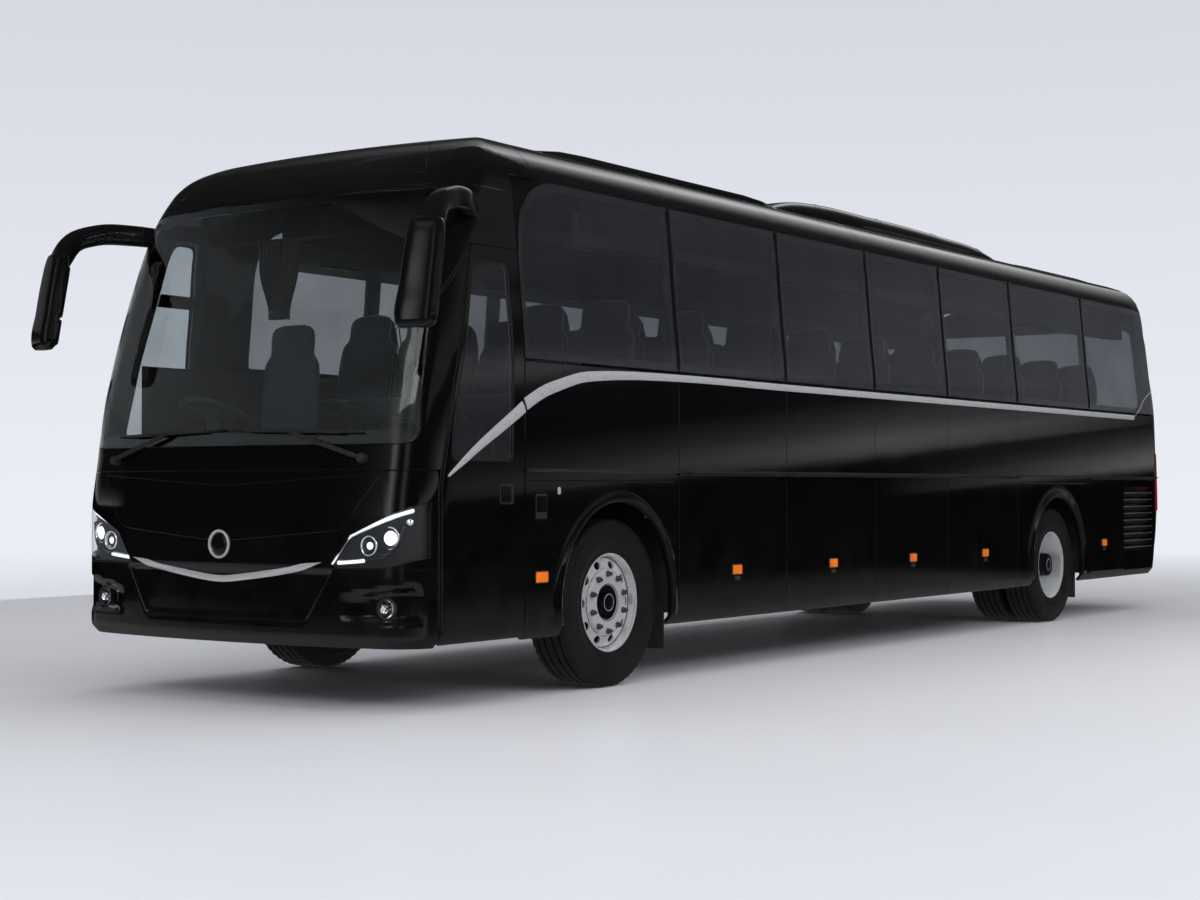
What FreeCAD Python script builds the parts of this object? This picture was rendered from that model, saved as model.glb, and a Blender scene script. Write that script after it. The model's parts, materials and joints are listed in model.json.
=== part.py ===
# Coach bus: a 2 + 2 touring coach, 11.6 m over its mirrors, as a parametric document.
# Millimetres. +Z up, the front faces -Y, the bus's own left side is +X.
# The origin is on the ground, under the centre of the whole vehicle.

import FreeCAD, Part
import math
import os

import Sketcher
from FreeCAD import Placement, Rotation, Vector

doc = FreeCAD.newDocument("CoachBus")


# ---------------------------------------------------------------- driving dimensions

sizeTable = [
    # name, value, what it is
    ("half_width", 1275, "half the body's width"),
    ("wheelbase", 6820, "front axle to rear axle"),
    ("front_overhang", 1950, "front axle to the front face"),
    ("rear_overhang", 2800, "rear axle to the rear face"),
    ("mirror_reach", 110, "mirrors ahead of the front face"),
    ("wall", 40, "thickness of the body's panels"),
    ("shut_gap", 8, "gap round doors and flaps"),
    ("seam_gap", 0.3, "gap between fixed panels"),
    # heights of the body
    ("skirt_bottom", 330, "lowest edge of the body"),
    ("tuck_height", 60, "height of the skirt's inward bend"),
    ("tuck_in", 40, "how far the skirt bends in"),
    ("waist_height", 1250, "top of the lower side, under the moulding"),
    ("belt_height", 1850, "where the side starts to lean in"),
    ("glass_top", 2885, "top of the side glass"),
    ("lean_in", 85, "how far the side leans in at the glass top"),
    ("roof_edge_height", 3130, "height of the roof's edge"),
    ("roof_edge_half", 880, "half the width between the roof's edges"),
    ("roof_crown", 3155, "height of the roof's middle"),
    # plan of the body
    ("front_radius", 5800, "plan radius of the front face"),
    ("front_corner", 240, "plan radius of the front corners"),
    ("rear_radius", 8000, "plan radius of the rear face"),
    ("rear_corner", 180, "plan radius of the rear corners"),
    # seams of the side, from an axle
    ("door_rear", 920, "front axle to the door's rear edge, forwards"),
    ("seam_one", 660, "front axle to the first flap"),
    ("seam_two", 2000, "front axle to the second flap"),
    ("seam_three", 3310, "front axle to the third flap"),
    ("seam_four", 4560, "front axle to the fourth flap"),
    ("seam_five", 880, "rear axle to the end of the fourth flap, forwards"),
    ("seam_six", 770, "rear axle to the service flap"),
    ("seam_seven", 1600, "rear axle to the radiator grille"),
    ("seam_eight", 2500, "rear axle to the end of the radiator grille"),
    ("rear_seam", 2560, "rear axle to the rear cap"),
    ("dome_seam", 700, "front axle to the front dome's rear edge, forwards"),
    # front end
    ("bumper_top", 740, "height of the bumper's upper edge"),
    ("screen_bottom", 1384, "lower edge of the windscreen"),
    ("screen_top", 2770, "upper edge of the windscreen"),
    ("screen_half", 1218, "half the windscreen's width at its foot"),
    ("screen_half_top", 1125, "half the windscreen's width at its top"),
    ("glass_wall", 6, "thickness of the glass"),
    ("screen_lap", 35, "how far a pane laps over its frame"),
    ("dome_height", 2785, "lower edge of the front dome"),
    ("trim_wall", 8, "how far bright trim stands out"),
    ("door_front", 1640, "front axle to the door's front edge, forwards"),
    ("door_bottom", 345, "lower edge of the door"),
    ("door_top", 2460, "upper edge of the door"),
    ("door_arm", 450, "length of the door's arm"),
    ("door_post_ahead", 1420, "front axle to the door's post, forwards"),
    ("door_post_half", 1150, "door's post from the middle"),
    ("door_post_radius", 20, "radius of the door's post"),
    ("door_pin_radius", 12, "radius of the door's pins"),
    # rear end
    ("lid_half", 990, "half the engine lid's width"),
    ("lid_bottom", 600, "lower edge of the engine lid"),
    ("lid_top", 1497, "upper edge of the engine lid"),
    ("lamp_half", 1010, "inner edge of the tail lamps"),
    ("lamp_bottom", 940, "lower edge of the tail lamps"),
    ("lamp_pitch", 138, "height of one tail lamp and its gap"),
    ("lamp_reach", 190, "how far the tail lamps wrap forwards"),
    # wheels
    ("tyre_radius", 492, "outer radius of a tyre"),
    ("tyre_width", 285, "width of a tyre"),
    ("rim_radius", 290, "radius of the bead seat"),
    ("twin_gap", 30, "gap between twin tyres"),
    ("tyre_inset", 40, "outer tyre's face inside the body's side"),
    ("hub_radius", 45, "radius of an axle's spindle"),
    ("running_gap", 0.05, "radial clearance of a running fit"),
    ("kingpin_half", 900, "half the distance between the kingpins"),
    ("kingpin_radius", 25, "radius of a kingpin"),
    ("arm_length", 200, "length of a steering arm"),
    ("arch_radius", 580, "radius of a wheel arch"),
    ("arch_height", 500, "height of a wheel arch's centre"),
    ("well_half", 620, "half the length of a wheel well"),
    ("well_inner", 585, "wheel well's inner face from the middle"),
    ("well_top", 1110, "height of a wheel well's roof"),
    # hinges
    ("hinge_radius", 5, "radius of a flap's hinge rod"),
    ("hinge_out", 12, "hinge rod's axis outside the panel"),
    ("knuckle_wall", 4, "wall of a flap's knuckle round its rod"),
    # cabin
    ("floor_height", 1250, "top of the passenger floor"),
    ("cab_floor", 900, "top of the driver's floor"),
    ("floor_wall", 40, "thickness of a floor"),
    ("bay_floor", 400, "underside of the luggage bay's floor"),
    ("rail_half", 430, "frame rails from the middle"),
    ("seat_pitch", 860, "distance between seat rows"),
    ("seat_rows", 10, "seat rows on each side"),
    ("aisle_half", 210, "half the aisle's width"),
]

sheet = doc.addObject("Spreadsheet::Sheet", "Sizes")
sheetRows = []


def addCell(alias, value, note=""):
    sheetRows.append(alias)
    row = len(sheetRows)
    sheet.set("A%d" % row, alias)
    sheet.set("B%d" % row, str(value))
    sheet.setAlias("B%d" % row, alias)
    sheet.set("C%d" % row, note)


for alias, value, note in sizeTable:
    addCell(alias, value, note)

# Sections of the body from below upwards: height, how far the front and the rear stand
# back from the longest section, and how far the side stands in.
levelTable = [
    # height, front, rear, side
    (330, 30, 150, 40),
    (390, 0, 125, 0),
    (1000, 0, 0, 0),
    (1310, 40, 15, 0),
    (1640, 93, 40, 0),
    (1850, 150, 60, 0),
    (2250, 256, 95, 33),
    (2690, 416, 140, 69),
    (2885, 545, 165, 85),
    (2990, 660, 195, 85),
    (3070, 810, 240, 85),
    (3130, 1010, 320, 85),
    (3180, 1300, 480, 85),
]
for index, row in enumerate(levelTable):
    for column, value in zip(("height", "front", "rear", "side"), row):
        addCell("level_%s_%d" % (column, index + 1), value, "body section")

doc.recompute()


class Measure:
    """A length together with the sheet expression that gives it."""

    def __init__(self, value, text):
        self.value = value
        self.text = text

    def __float__(self):
        return float(self.value)

    def __add__(self, other):
        other = measure(other)
        return Measure(self.value + other.value, "(%s + %s)" % (self.text, other.text))

    def __radd__(self, other):
        return measure(other) + self

    def __sub__(self, other):
        other = measure(other)
        return Measure(self.value - other.value, "(%s - %s)" % (self.text, other.text))

    def __rsub__(self, other):
        return measure(other) - self

    def __mul__(self, factor):
        return Measure(self.value * factor, "(%s * %s)" % (self.text, factor))

    __rmul__ = __mul__

    def __truediv__(self, factor):
        return Measure(self.value / factor, "(%s / %s)" % (self.text, factor))

    def __neg__(self):
        return Measure(-self.value, "(-%s)" % self.text)


def measure(item):
    if isinstance(item, Measure):
        return item
    return Measure(float(item), "(%r)" % float(item))


class SheetSizes:
    """Gives a cell of the sheet as a Measure, by its alias."""

    def __getattr__(self, alias):
        return Measure(float(sheet.get(alias)), "Sizes." + alias)


size = SheetSizes()

# Places along the bus.
frontAxle = (size.front_overhang + size.mirror_reach - size.wheelbase - size.rear_overhang) / 2
rearAxle = frontAxle + size.wheelbase
frontEnd = frontAxle - size.front_overhang
rearEnd = rearAxle + size.rear_overhang
sideSeams = [frontAxle + size.seam_one, frontAxle + size.seam_two, frontAxle + size.seam_three,
             frontAxle + size.seam_four, rearAxle - size.seam_five, rearAxle + size.seam_six,
             rearAxle + size.seam_seven, rearAxle + size.seam_eight]
bodyRear = rearAxle + size.rear_seam


# ---------------------------------------------------------------- ways of making solids

subParts = []


def bind(item, prop, value):
    """Sets a property and, where it comes from the sheet, ties it there."""
    value = measure(value)
    holder, names = item, prop.split(".")
    if len(names) == 1:
        setattr(holder, names[0], value.value)
    item.setExpression(prop, value.text)


def place(item, x, y, z):
    for axis, value in zip("xyz", (x, y, z)):
        item.setExpression("Placement.Base." + axis, measure(value).text)


def box(name, x, y, z):
    """A box between pairs of places: x, y and z are (low, high)."""
    item = doc.addObject("Part::Box", name)
    for prop, (low, high) in zip(("Length", "Width", "Height"), (x, y, z)):
        bind(item, prop, measure(high) - low)
    place(item, x[0], y[0], z[0])
    return item


turns = {
    "X": Rotation(Vector(0, 1, 0), 90),
    "Y": Rotation(Vector(1, 0, 0), -90),
    "Z": Rotation(),
}


def rod(name, axis, radius, start, length):
    """A cylinder along X, Y or Z from its start, an (x, y, z) place."""
    item = doc.addObject("Part::Cylinder", name)
    item.Placement = Placement(Vector(), turns[axis])
    bind(item, "Radius", radius)
    bind(item, "Height", length)
    place(item, *start)
    return item


# A sketch's own x and y lie along these axes, and it grows along the third.
sketchTurns = {
    "XY": (Rotation(), Vector(0, 0, 1)),
    "XZ": (Rotation(Vector(1, 0, 0), 90), Vector(0, 1, 0)),
    "YZ": (Rotation(Vector(1, 1, 1), 120), Vector(1, 0, 0)),
}


def outline(name, plane, points):
    """A closed sketch of straight lines, with each corner tied to the sheet."""
    sketch = doc.addObject("Sketcher::SketchObject", name)
    sketch.Placement = Placement(Vector(), sketchTurns[plane][0])
    corners = [(measure(a), measure(b)) for a, b in points]
    count = len(corners)
    places = [Vector(a.value, b.value, 0) for a, b in corners]
    for index in range(count):
        sketch.addGeometry(Part.LineSegment(places[index], places[(index + 1) % count]), False)
    for index in range(count):
        sketch.addConstraint(Sketcher.Constraint("Coincident", index, 2, (index + 1) % count, 1))
    for index, corner in enumerate(corners):
        for kind, value in zip(("DistanceX", "DistanceY"), corner):
            number = sketch.addConstraint(
                Sketcher.Constraint(kind, -1, 1, index, 1, value.value))
            sketch.setExpression("Constraints[%d]" % number, value.text)
    return sketch


def prism(name, plane, points, low, high):
    """A straight-sided outline carried from low to high across its plane."""
    sketch = outline(name + "Outline", plane, points)
    across = {"XY": "z", "XZ": "y", "YZ": "x"}[plane]
    sketch.setExpression("Placement.Base." + across, measure(low).text)
    item = doc.addObject("Part::Extrusion", name)
    item.Base = sketch
    item.DirMode = "Custom"
    item.Dir = sketchTurns[plane][1]
    item.Solid = True
    bind(item, "LengthFwd", measure(high) - low)
    return item


def turned(name, points, centre):
    """An outline of (x, radius) turned about an axle along X at (y, z)."""
    places = [(a, measure(centre[1]) + b) for a, b in points]
    sketch = outline(name + "Outline", "XZ", places)
    sketch.setExpression("Placement.Base.y", measure(centre[0]).text)
    item = doc.addObject("Part::Revolution", name)
    item.Source = sketch
    item.Axis = Vector(1, 0, 0)
    item.Angle = 360
    item.Solid = True
    item.setExpression("Base.y", measure(centre[0]).text)
    item.setExpression("Base.z", measure(centre[1]).text)
    return item


def cut(name, base, tool):
    item = doc.addObject("Part::Cut", name)
    item.Base, item.Tool = base, tool
    return item


def common(name, base, tool):
    item = doc.addObject("Part::Common", name)
    item.Base, item.Tool = base, tool
    return item


def fused(name, items):
    item = doc.addObject("Part::MultiFuse", name)
    item.Shapes = items
    return item


def group(name, items):
    """Solids that don't touch, kept as one object."""
    item = doc.addObject("Part::Compound", name)
    item.Links = items
    return item


def mirrored(name, item):
    """The same piece on the bus's right side."""
    copy = doc.addObject("Part::Mirroring", name)
    copy.Source = item
    copy.Normal = Vector(1, 0, 0)
    return copy


def bothSides(name, items):
    return group(name, items + [mirrored("%sRight%d" % (name, index), item)
                                for index, item in enumerate(items)])


def subPart(item, label):
    """Names a finished sub-part. Its label is also its file's name."""
    item.Label = label
    subParts.append(item)
    return item


def shaped(name, shape):
    item = doc.addObject("Part::Feature", name)
    item.Shape = shape
    item.Placement = Placement()
    return item


# ---------------------------------------------------------------- the body's outer form

def planOutline(level, inset):
    """The body's outline in plan at one level, inset all round, as a closed wire."""
    half = float(size.half_width) - level["side"] - inset
    z = level["height"]

    def endArcs(yEnd, radius, corner, towards):
        """The end's arc and its corners, with towards = +1 where the body lies at +Y."""
        xc = half - corner
        yc = yEnd + towards * (radius - math.sqrt((radius - corner) ** 2 - xc ** 2))
        arcCentre = Vector(0, yEnd + towards * radius, z)
        cornerCentre = Vector(xc, yc, z)
        out = (cornerCentre - arcCentre).normalize()
        meet = arcCentre + out * radius
        side = Vector(half, yc, z)
        middle = cornerCentre + (out + Vector(1, 0, 0)).normalize() * corner
        return side, middle, meet, Vector(0, yEnd, z)

    def flip(point):
        return Vector(-point.x, point.y, point.z)

    front = endArcs(float(frontEnd) + level["front"] + inset,
                    float(size.front_radius) - inset, float(size.front_corner) - inset, 1)
    rear = endArcs(float(rearEnd) - level["rear"] - inset,
                   float(size.rear_radius) - inset, float(size.rear_corner) - inset, -1)
    side, middle, meet, nose = front
    rearSide, rearMiddle, rearMeet, tail = rear
    edges = [
        Part.Arc(flip(meet), nose, meet).toShape(),
        Part.Arc(meet, middle, side).toShape(),
        Part.LineSegment(side, rearSide).toShape(),
        Part.Arc(rearSide, rearMiddle, rearMeet).toShape(),
        Part.Arc(rearMeet, tail, flip(rearMeet)).toShape(),
        Part.Arc(flip(rearMeet), flip(rearMiddle), flip(rearSide)).toShape(),
        Part.LineSegment(flip(rearSide), flip(side)).toShape(),
        Part.Arc(flip(side), flip(middle), flip(meet)).toShape(),
    ]
    return Part.Wire(edges)


def crossOutline(inset):
    """The body's cross-section, with arcs for the roof's shoulders and crown."""
    wide = float(size.half_width) - inset
    bottom = float(size.skirt_bottom) - 1
    lean = float(size.lean_in)
    glassTop = float(size.glass_top)
    edge = Vector(float(size.roof_edge_half) - 0.5 * inset, 0, float(size.roof_edge_height) - inset)
    crown = Vector(0, 0, float(size.roof_crown) - inset)
    shoulder = Vector(wide - lean, 0, glassTop)
    chord = edge - shoulder
    bulge = Vector(chord.z, 0, -chord.x).normalize() * 45
    bend = (edge + shoulder) * 0.5 + bulge

    def flip(point):
        return Vector(-point.x, point.y, point.z)

    low = Vector(wide, 0, bottom)
    belt = Vector(wide, 0, float(size.belt_height))
    edges = [
        Part.LineSegment(flip(low), low).toShape(),
        Part.LineSegment(low, belt).toShape(),
        Part.LineSegment(belt, shoulder).toShape(),
        Part.Arc(shoulder, bend, edge).toShape(),
        Part.Arc(edge, crown, flip(edge)).toShape(),
        Part.Arc(flip(edge), flip(bend), flip(shoulder)).toShape(),
        Part.LineSegment(flip(shoulder), flip(belt)).toShape(),
        Part.LineSegment(flip(belt), flip(low)).toShape(),
    ]
    return Part.Wire(edges)


def bodyForm(inset):
    """The body as one closed form, inset all round."""
    levels = []
    for index in range(len(levelTable)):
        levels.append({column: float(sheet.get("level_%s_%d" % (column, index + 1)))
                       for column in ("height", "front", "rear", "side")})
    loft = Part.makeLoft([planOutline(level, inset) for level in levels], True, True)
    face = Part.Face(crossOutline(inset))
    face.translate(Vector(0, float(frontEnd) - 10, 0))
    cross = face.extrude(Vector(0, float(rearEnd - frontEnd) + 20, 0))
    return loft.common(cross)


outerForm = shaped("OuterForm", bodyForm(0))
glassForm = shaped("GlassForm", bodyForm(float(size.glass_wall)))
innerForm = shaped("InnerForm", bodyForm(float(size.wall)))
skin = cut("Skin", outerForm, innerForm)
wide = size.half_width + 200


def region(name, y, z, x=None):
    """A block that marks off part of the body."""
    return box(name, x or (-wide, wide), y, z)


def paneIn(name, zone):
    """The part of the body's outer layer, as thick as glass, that lies in a zone."""
    return cut(name, common(name + "Block", outerForm, zone), glassForm)


def leaning(z, inset=0):
    """The side's x at a height above the belt."""
    share = (z - size.belt_height.value) / (size.glass_top.value - size.belt_height.value)
    return size.half_width - inset - size.lean_in * share


topOfAll = size.roof_crown + 300
aheadOfAll = frontEnd - 100
behindAll = rearEnd + 100
cabEnd = frontAxle - size.door_rear + size.shut_gap
maskEnd = frontAxle - size.door_front - size.shut_gap
domeEnd = frontAxle - size.dome_seam

# ---------------------------------------------------------------- door outline

# Ahead of the front axle, height: the door's leaning front edge, from below.
doorFrontEdge = [(1640, 345), (1640, 1150), (1585, 1410), (1520, 1720), (1411, 2150), (1327, 2460)]


def doorOutline(grow):
    """The door in side view, grown by the gap round it."""
    points = [(frontAxle - size.door_rear + grow, size.door_bottom - grow),
              (frontAxle - size.door_rear + grow, size.door_top + grow)]
    for ahead, height in reversed(doorFrontEdge[1:]):
        tall = size.door_top + grow if height == 2460 else measure(height)
        points.append((frontAxle - ahead - grow, tall))
    points.append((frontAxle - size.door_front - grow, size.door_bottom - grow))
    return points


doorHole = prism("DoorHole", "YZ", doorOutline(size.shut_gap), size.half_width - 200, wide)

# ---------------------------------------------------------------- front lamps

# Half of the front view: across, height.
headlampCorners = [(740, 748), (870, 915), (1060, 1000), (1300, 1085), (1300, 800), (1100, 752)]


def lampRegion(name, grow):
    points = [(a - grow * (1 if a < 1000 else 0), b + grow * (1 if b > 800 else -1))
              for a, b in headlampCorners]
    return prism(name, "XZ", points, aheadOfAll, frontAxle - 1720 + grow)


headlamp = common("Headlamp", skin, lampRegion("HeadlampRegion", 0))
headlampHole = lampRegion("HeadlampHole", size.seam_gap.value)
foglamp = common("Foglamp", skin, rod("FoglampRegion", "Y", 58, (1091, aheadOfAll, 540), 350))
foglampHole = rod("FoglampHole", "Y", 58 + size.seam_gap, (1091, aheadOfAll, 540), 350)
subPart(bothSides("FrontLamps", [headlamp, foglamp]), "front_lamps")

# ---------------------------------------------------------------- front panels

frontHoles = fused("FrontHoles", [
    headlampHole, mirrored("HeadlampHoleRight", headlampHole),
    foglampHole, mirrored("FoglampHoleRight", foglampHole)])
maskZone = region("MaskZone", (aheadOfAll, maskEnd),
                  (size.bumper_top + size.seam_gap, size.waist_height))
subPart(cut("Mask", common("MaskSkin", skin, maskZone), frontHoles), "front_mask")
bumperZone = region("BumperZone", (aheadOfAll, maskEnd),
                    (size.skirt_bottom - 5, size.bumper_top))
subPart(cut("Bumper", common("BumperSkin", skin, bumperZone), frontHoles), "bumper")

# The windscreen lies in a rebate of its frame.


def screenOutline(grow):
    return [(-size.screen_half - grow, size.screen_bottom - grow),
            (size.screen_half + grow, size.screen_bottom - grow),
            (size.screen_half_top + grow, size.screen_top + grow),
            (-size.screen_half_top - grow, size.screen_top + grow)]


screenEnd = frontAxle - 1200
screen = paneIn("Screen", prism("ScreenZone", "XZ", screenOutline(0), aheadOfAll, screenEnd))
subPart(screen, "windscreen")
screenRebate = paneIn("ScreenRebate", prism("RebateZone", "XZ", screenOutline(size.seam_gap),
                                            aheadOfAll, screenEnd))
screenHole = prism("ScreenHole", "XZ", screenOutline(-size.screen_lap), aheadOfAll, screenEnd)
driverWindow = [(frontAxle - 1480, 1480), (frontAxle - 1000, 1480),
                (frontAxle - 1000, 2400), (frontAxle - 1230, 2400)]
driverPane = [(frontAxle - 1520, 1440), (frontAxle - 960, 1440),
              (frontAxle - 960, 2440), (frontAxle - 1250, 2440)]
driverHole = prism("DriverHole", "YZ", driverWindow, -wide, 200 - size.half_width)
driverPaneZone = prism("DriverPaneZone", "YZ", driverPane, -wide, 200 - size.half_width)
driverGlass = paneIn("DriverGlass", driverPaneZone)
frameZone = region("FrameZone", (aheadOfAll, cabEnd),
                   (size.waist_height + size.seam_gap, size.dome_height))
screenFrame = cut("ScreenFrame", common("FrameAll", skin, frameZone),
                  fused("FrameHoles", [screenRebate, screenHole, doorHole, driverHole, driverGlass]))
subPart(screenFrame, "windscreen_frame")

domeZone = fused("DomeZone", [
    region("DomeFront", (aheadOfAll, cabEnd), (size.dome_height + size.seam_gap, topOfAll)),
    region("DomeBack", (cabEnd - 1, domeEnd), (size.glass_top + size.seam_gap, topOfAll))])
subPart(common("Dome", skin, domeZone), "front_dome")

# ---------------------------------------------------------------- roof

roofStart = domeEnd + size.seam_gap
roofEnd = bodyRear - size.seam_gap
roofSkin = common("RoofSkin", skin, region("RoofZone", (roofStart, roofEnd),
                                           (size.glass_top + size.seam_gap, topOfAll)))

podStart = frontAxle + 2500
podEnd = frontAxle + 6630
podTop = size.roof_crown + 117
podHalf = 820
podSide = prism("PodSide", "YZ", [
    (podStart, size.roof_edge_height - 40), (podEnd, size.roof_edge_height - 40),
    (podEnd, size.roof_edge_height - 5), (podEnd - 110, podTop - 70), (podEnd - 480, podTop - 30),
    (podEnd - 1650, podTop), (podStart + 1000, podTop), (podStart + 420, podTop - 45),
    (podStart + 180, podTop - 95)], -podHalf, podHalf)
podSection = prism("PodSection", "XZ", [
    (-podHalf, size.roof_edge_height - 50), (podHalf, size.roof_edge_height - 50),
    (podHalf, podTop - 60), (podHalf - 70, podTop + 10), (70 - podHalf, podTop + 10),
    (-podHalf, podTop - 60)], podStart - 10, podEnd + 10)
podBlock = common("PodBlock", podSide, podSection)
subPart(cut("Pod", podBlock, outerForm), "air_unit")

# The fairing rails run along both edges of the roof, ahead of the air unit and behind it.
railSpans = [
    # start and end behind the front axle, rise at the ends
    (-300, 2480, 35),
    (6650, 8900, 5),
]
fairings = []
for index, (start, end, rise) in enumerate(railSpans):
    block = prism("Fairing%d" % index, "YZ", [
        (frontAxle + start, size.roof_edge_height - 60), (frontAxle + end, size.roof_edge_height - 60),
        (frontAxle + end, size.roof_crown + rise), (frontAxle + start + 500, size.roof_crown + rise),
        (frontAxle + start, size.roof_edge_height - 20)], 790, 820)
    fairings.append(cut("FairingRail%d" % index, block, outerForm))
subPart(group("Roof", [roofSkin, bothSides("Fairings", fairings)]), "roof")

# ---------------------------------------------------------------- sides above the floor

belowBelt = [(size.half_width - size.wall, size.waist_height + size.seam_gap),
             (size.half_width, size.waist_height + size.seam_gap),
             (size.half_width, size.belt_height), (size.half_width - size.wall, size.belt_height)]
waist = prism("Waist", "XZ", belowBelt, cabEnd + size.seam_gap, bodyRear - size.seam_gap)
subPart(bothSides("WaistPanels", [waist]), "waist_panels")

paneBottom = 1870
paneLean = size.half_width - size.lean_in
frameOutline = [(size.half_width - size.wall, size.belt_height),
                (size.half_width - size.glass_wall, size.belt_height),
                (paneLean - size.glass_wall, size.glass_top),
                (paneLean - size.wall, size.glass_top)]
frameWall = prism("FrameWall", "XZ", frameOutline, cabEnd + size.seam_gap, bodyRear - size.seam_gap)
paneEdges = [cabEnd + size.seam_gap] + sideSeams[:6] + [bodyRear]
windowHoles = []
panes = []
paneOutline = [(leaning(paneBottom, size.glass_wall), measure(paneBottom)),
               (leaning(paneBottom), measure(paneBottom)),
               (paneLean, size.glass_top), (paneLean - size.glass_wall, size.glass_top)]
for index in range(len(paneEdges) - 1):
    start, end = paneEdges[index], paneEdges[index + 1] - size.seam_gap
    panes.append(prism("Pane%d" % index, "XZ", paneOutline, start, end))
    windowHoles.append(box("WindowHole%d" % index, (size.half_width - 250, wide),
                           (start + size.screen_lap, end - size.screen_lap),
                           (paneBottom + size.screen_lap, size.glass_top - size.screen_lap)))
sideFrame = cut("SideFrame", frameWall, fused("WindowHoles", windowHoles))
subPart(bothSides("WindowFrames", [sideFrame]), "window_frames")

# ---------------------------------------------------------------- rear end

lowSeam = sideSeams[7]
rearLowZone = fused("RearLowZone", [
    region("RearWaistZone", (bodyRear, behindAll),
           (size.waist_height - 5, size.lid_top)),
    region("RearSkirtZone", (lowSeam + size.shut_gap / 2, behindAll), (size.skirt_bottom - 5, size.waist_height))])
lidOpening = region("LidOpening", (rearEnd - 300, behindAll),
                    (size.lid_bottom, size.lid_top + 5), (-size.lid_half, size.lid_half))
lampOpening = region("LampOpening", (rearEnd - size.lamp_reach, behindAll),
                     (size.lamp_bottom, size.lamp_bottom + 4 * size.lamp_pitch - size.seam_gap),
                     (size.lamp_half, wide))
rearLow = cut("RearLow", common("RearLowSkin", skin, rearLowZone),
              fused("RearLowHoles", [lidOpening, lampOpening,
                                     mirrored("LampOpeningRight", lampOpening)]))
subPart(rearLow, "rear_corners")

tailLamps = []
for index in range(4):
    low = size.lamp_bottom + index * size.lamp_pitch + size.seam_gap
    zone = region("TailLampZone%d" % index,
                  (rearEnd - size.lamp_reach + size.seam_gap, behindAll),
                  (low, low + size.lamp_pitch - 3 * size.seam_gap),
                  (size.lamp_half + size.seam_gap, wide))
    tailLamps.append(common("TailLamp%d" % index, skin, zone))
subPart(bothSides("TailLamps", tailLamps), "tail_lamps")

rearScreenOutline = [(-1080, 1930), (1080, 1930), (1010, 2720), (-1010, 2720)]
rearHoleOutline = [(-1040, 1970), (1040, 1970), (975, 2680), (-975, 2680)]
rearPane = paneIn("RearPane", prism("RearPaneZone", "XZ", rearScreenOutline, bodyRear, behindAll))
rearHole = prism("RearHole", "XZ", rearHoleOutline, bodyRear, behindAll)
rearCap = cut("RearCap", common("RearCapSkin", skin, region(
    "RearCapZone", (bodyRear, behindAll), (size.lid_top + size.seam_gap, topOfAll))),
    fused("RearCapHoles", [rearHole, rearPane]))
subPart(rearCap, "rear_cap")
subPart(group("Windows", [bothSides("SidePanes", panes), driverGlass, rearPane]), "windows")

# ---------------------------------------------------------------- hinges of the side flaps

flapTop = size.waist_height - size.shut_gap
hingeX = size.half_width + size.hinge_out
knuckleRadius = size.hinge_radius + size.knuckle_wall
flapRows = [
    # label, first seam, last seam
    ("luggage_flap_%s_1", 0, 1),
    ("luggage_flap_%s_2", 1, 2),
    ("luggage_flap_%s_3", 2, 3),
    ("luggage_flap_%s_4", 3, 4),
    ("service_flap_%s", 5, 6),
    ("grille_door_%s", 6, 7),
]


def sideOutline(low, high):
    """The lower side's section between two heights, bent in at the skirt."""
    inside = size.half_width - size.wall
    return [(size.half_width - size.tuck_in, low), (size.half_width, low + size.tuck_height),
            (size.half_width, high), (inside, high), (inside, low + size.tuck_height),
            (inside - size.tuck_in, low)]


def flapBody(name, start, end):
    return prism(name, "XZ", sideOutline(size.skirt_bottom, flapTop),
                 start + size.shut_gap / 2, end - size.shut_gap / 2)


def hingeKnuckles(name, start, end):
    """Two knuckles near a flap's ends, round the hinge rod."""
    pieces = []
    for index, along in enumerate((start + 120, end - 180)):
        pieces.append(rod("%sEye%d" % (name, index), "Y", knuckleRadius,
                          (hingeX, along, flapTop), 60))
        pieces.append(box("%sLeaf%d" % (name, index), (size.half_width - 5, hingeX),
                          (along, along + 60), (flapTop - knuckleRadius, flapTop)))
    return pieces


def withHinge(name, panel, start, end):
    bore = rod(name + "Bore", "Y", size.hinge_radius + size.running_gap,
               (hingeX, start, flapTop), end - start)
    return cut(name, fused(name + "Solid", [panel] + hingeKnuckles(name, start, end)), bore)


def grillePanel(name, start, end):
    """A flap with a louvred opening: a frame and slanted slats across it."""
    count = 11
    low, high = size.skirt_bottom + 240, flapTop - 75
    left, right = start + 45, end - 45
    frame = cut(name + "Frame", flapBody(name + "Body", start, end),
                box(name + "Hole", (size.half_width - 100, wide), (left, right), (low, high)))
    inside = size.half_width - size.wall
    slats = []
    for index in range(count):
        z = low + (high - low) * ((index + 0.5) / count)
        slats.append(prism("%sSlat%d" % (name, index), "XZ", [
            (inside + 4, z + 14), (inside + 10, z + 18), (size.half_width - 2, z - 12),
            (size.half_width - 8, z - 16)], left - 2, right + 2))
    return fused(name + "Panel", [frame] + slats)


for label, first, last in flapRows:
    start, end = sideSeams[first], sideSeams[last]
    name = label.replace("_%s", "").title().replace("_", "")
    make = grillePanel if label.startswith("grille") else flapBody
    leftFlap = withHinge(name, make(name + "Board", start, end), start, end)
    subPart(leftFlap, label % "left")
    subPart(mirrored(name + "Right", leftFlap), label % "right")

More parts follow.
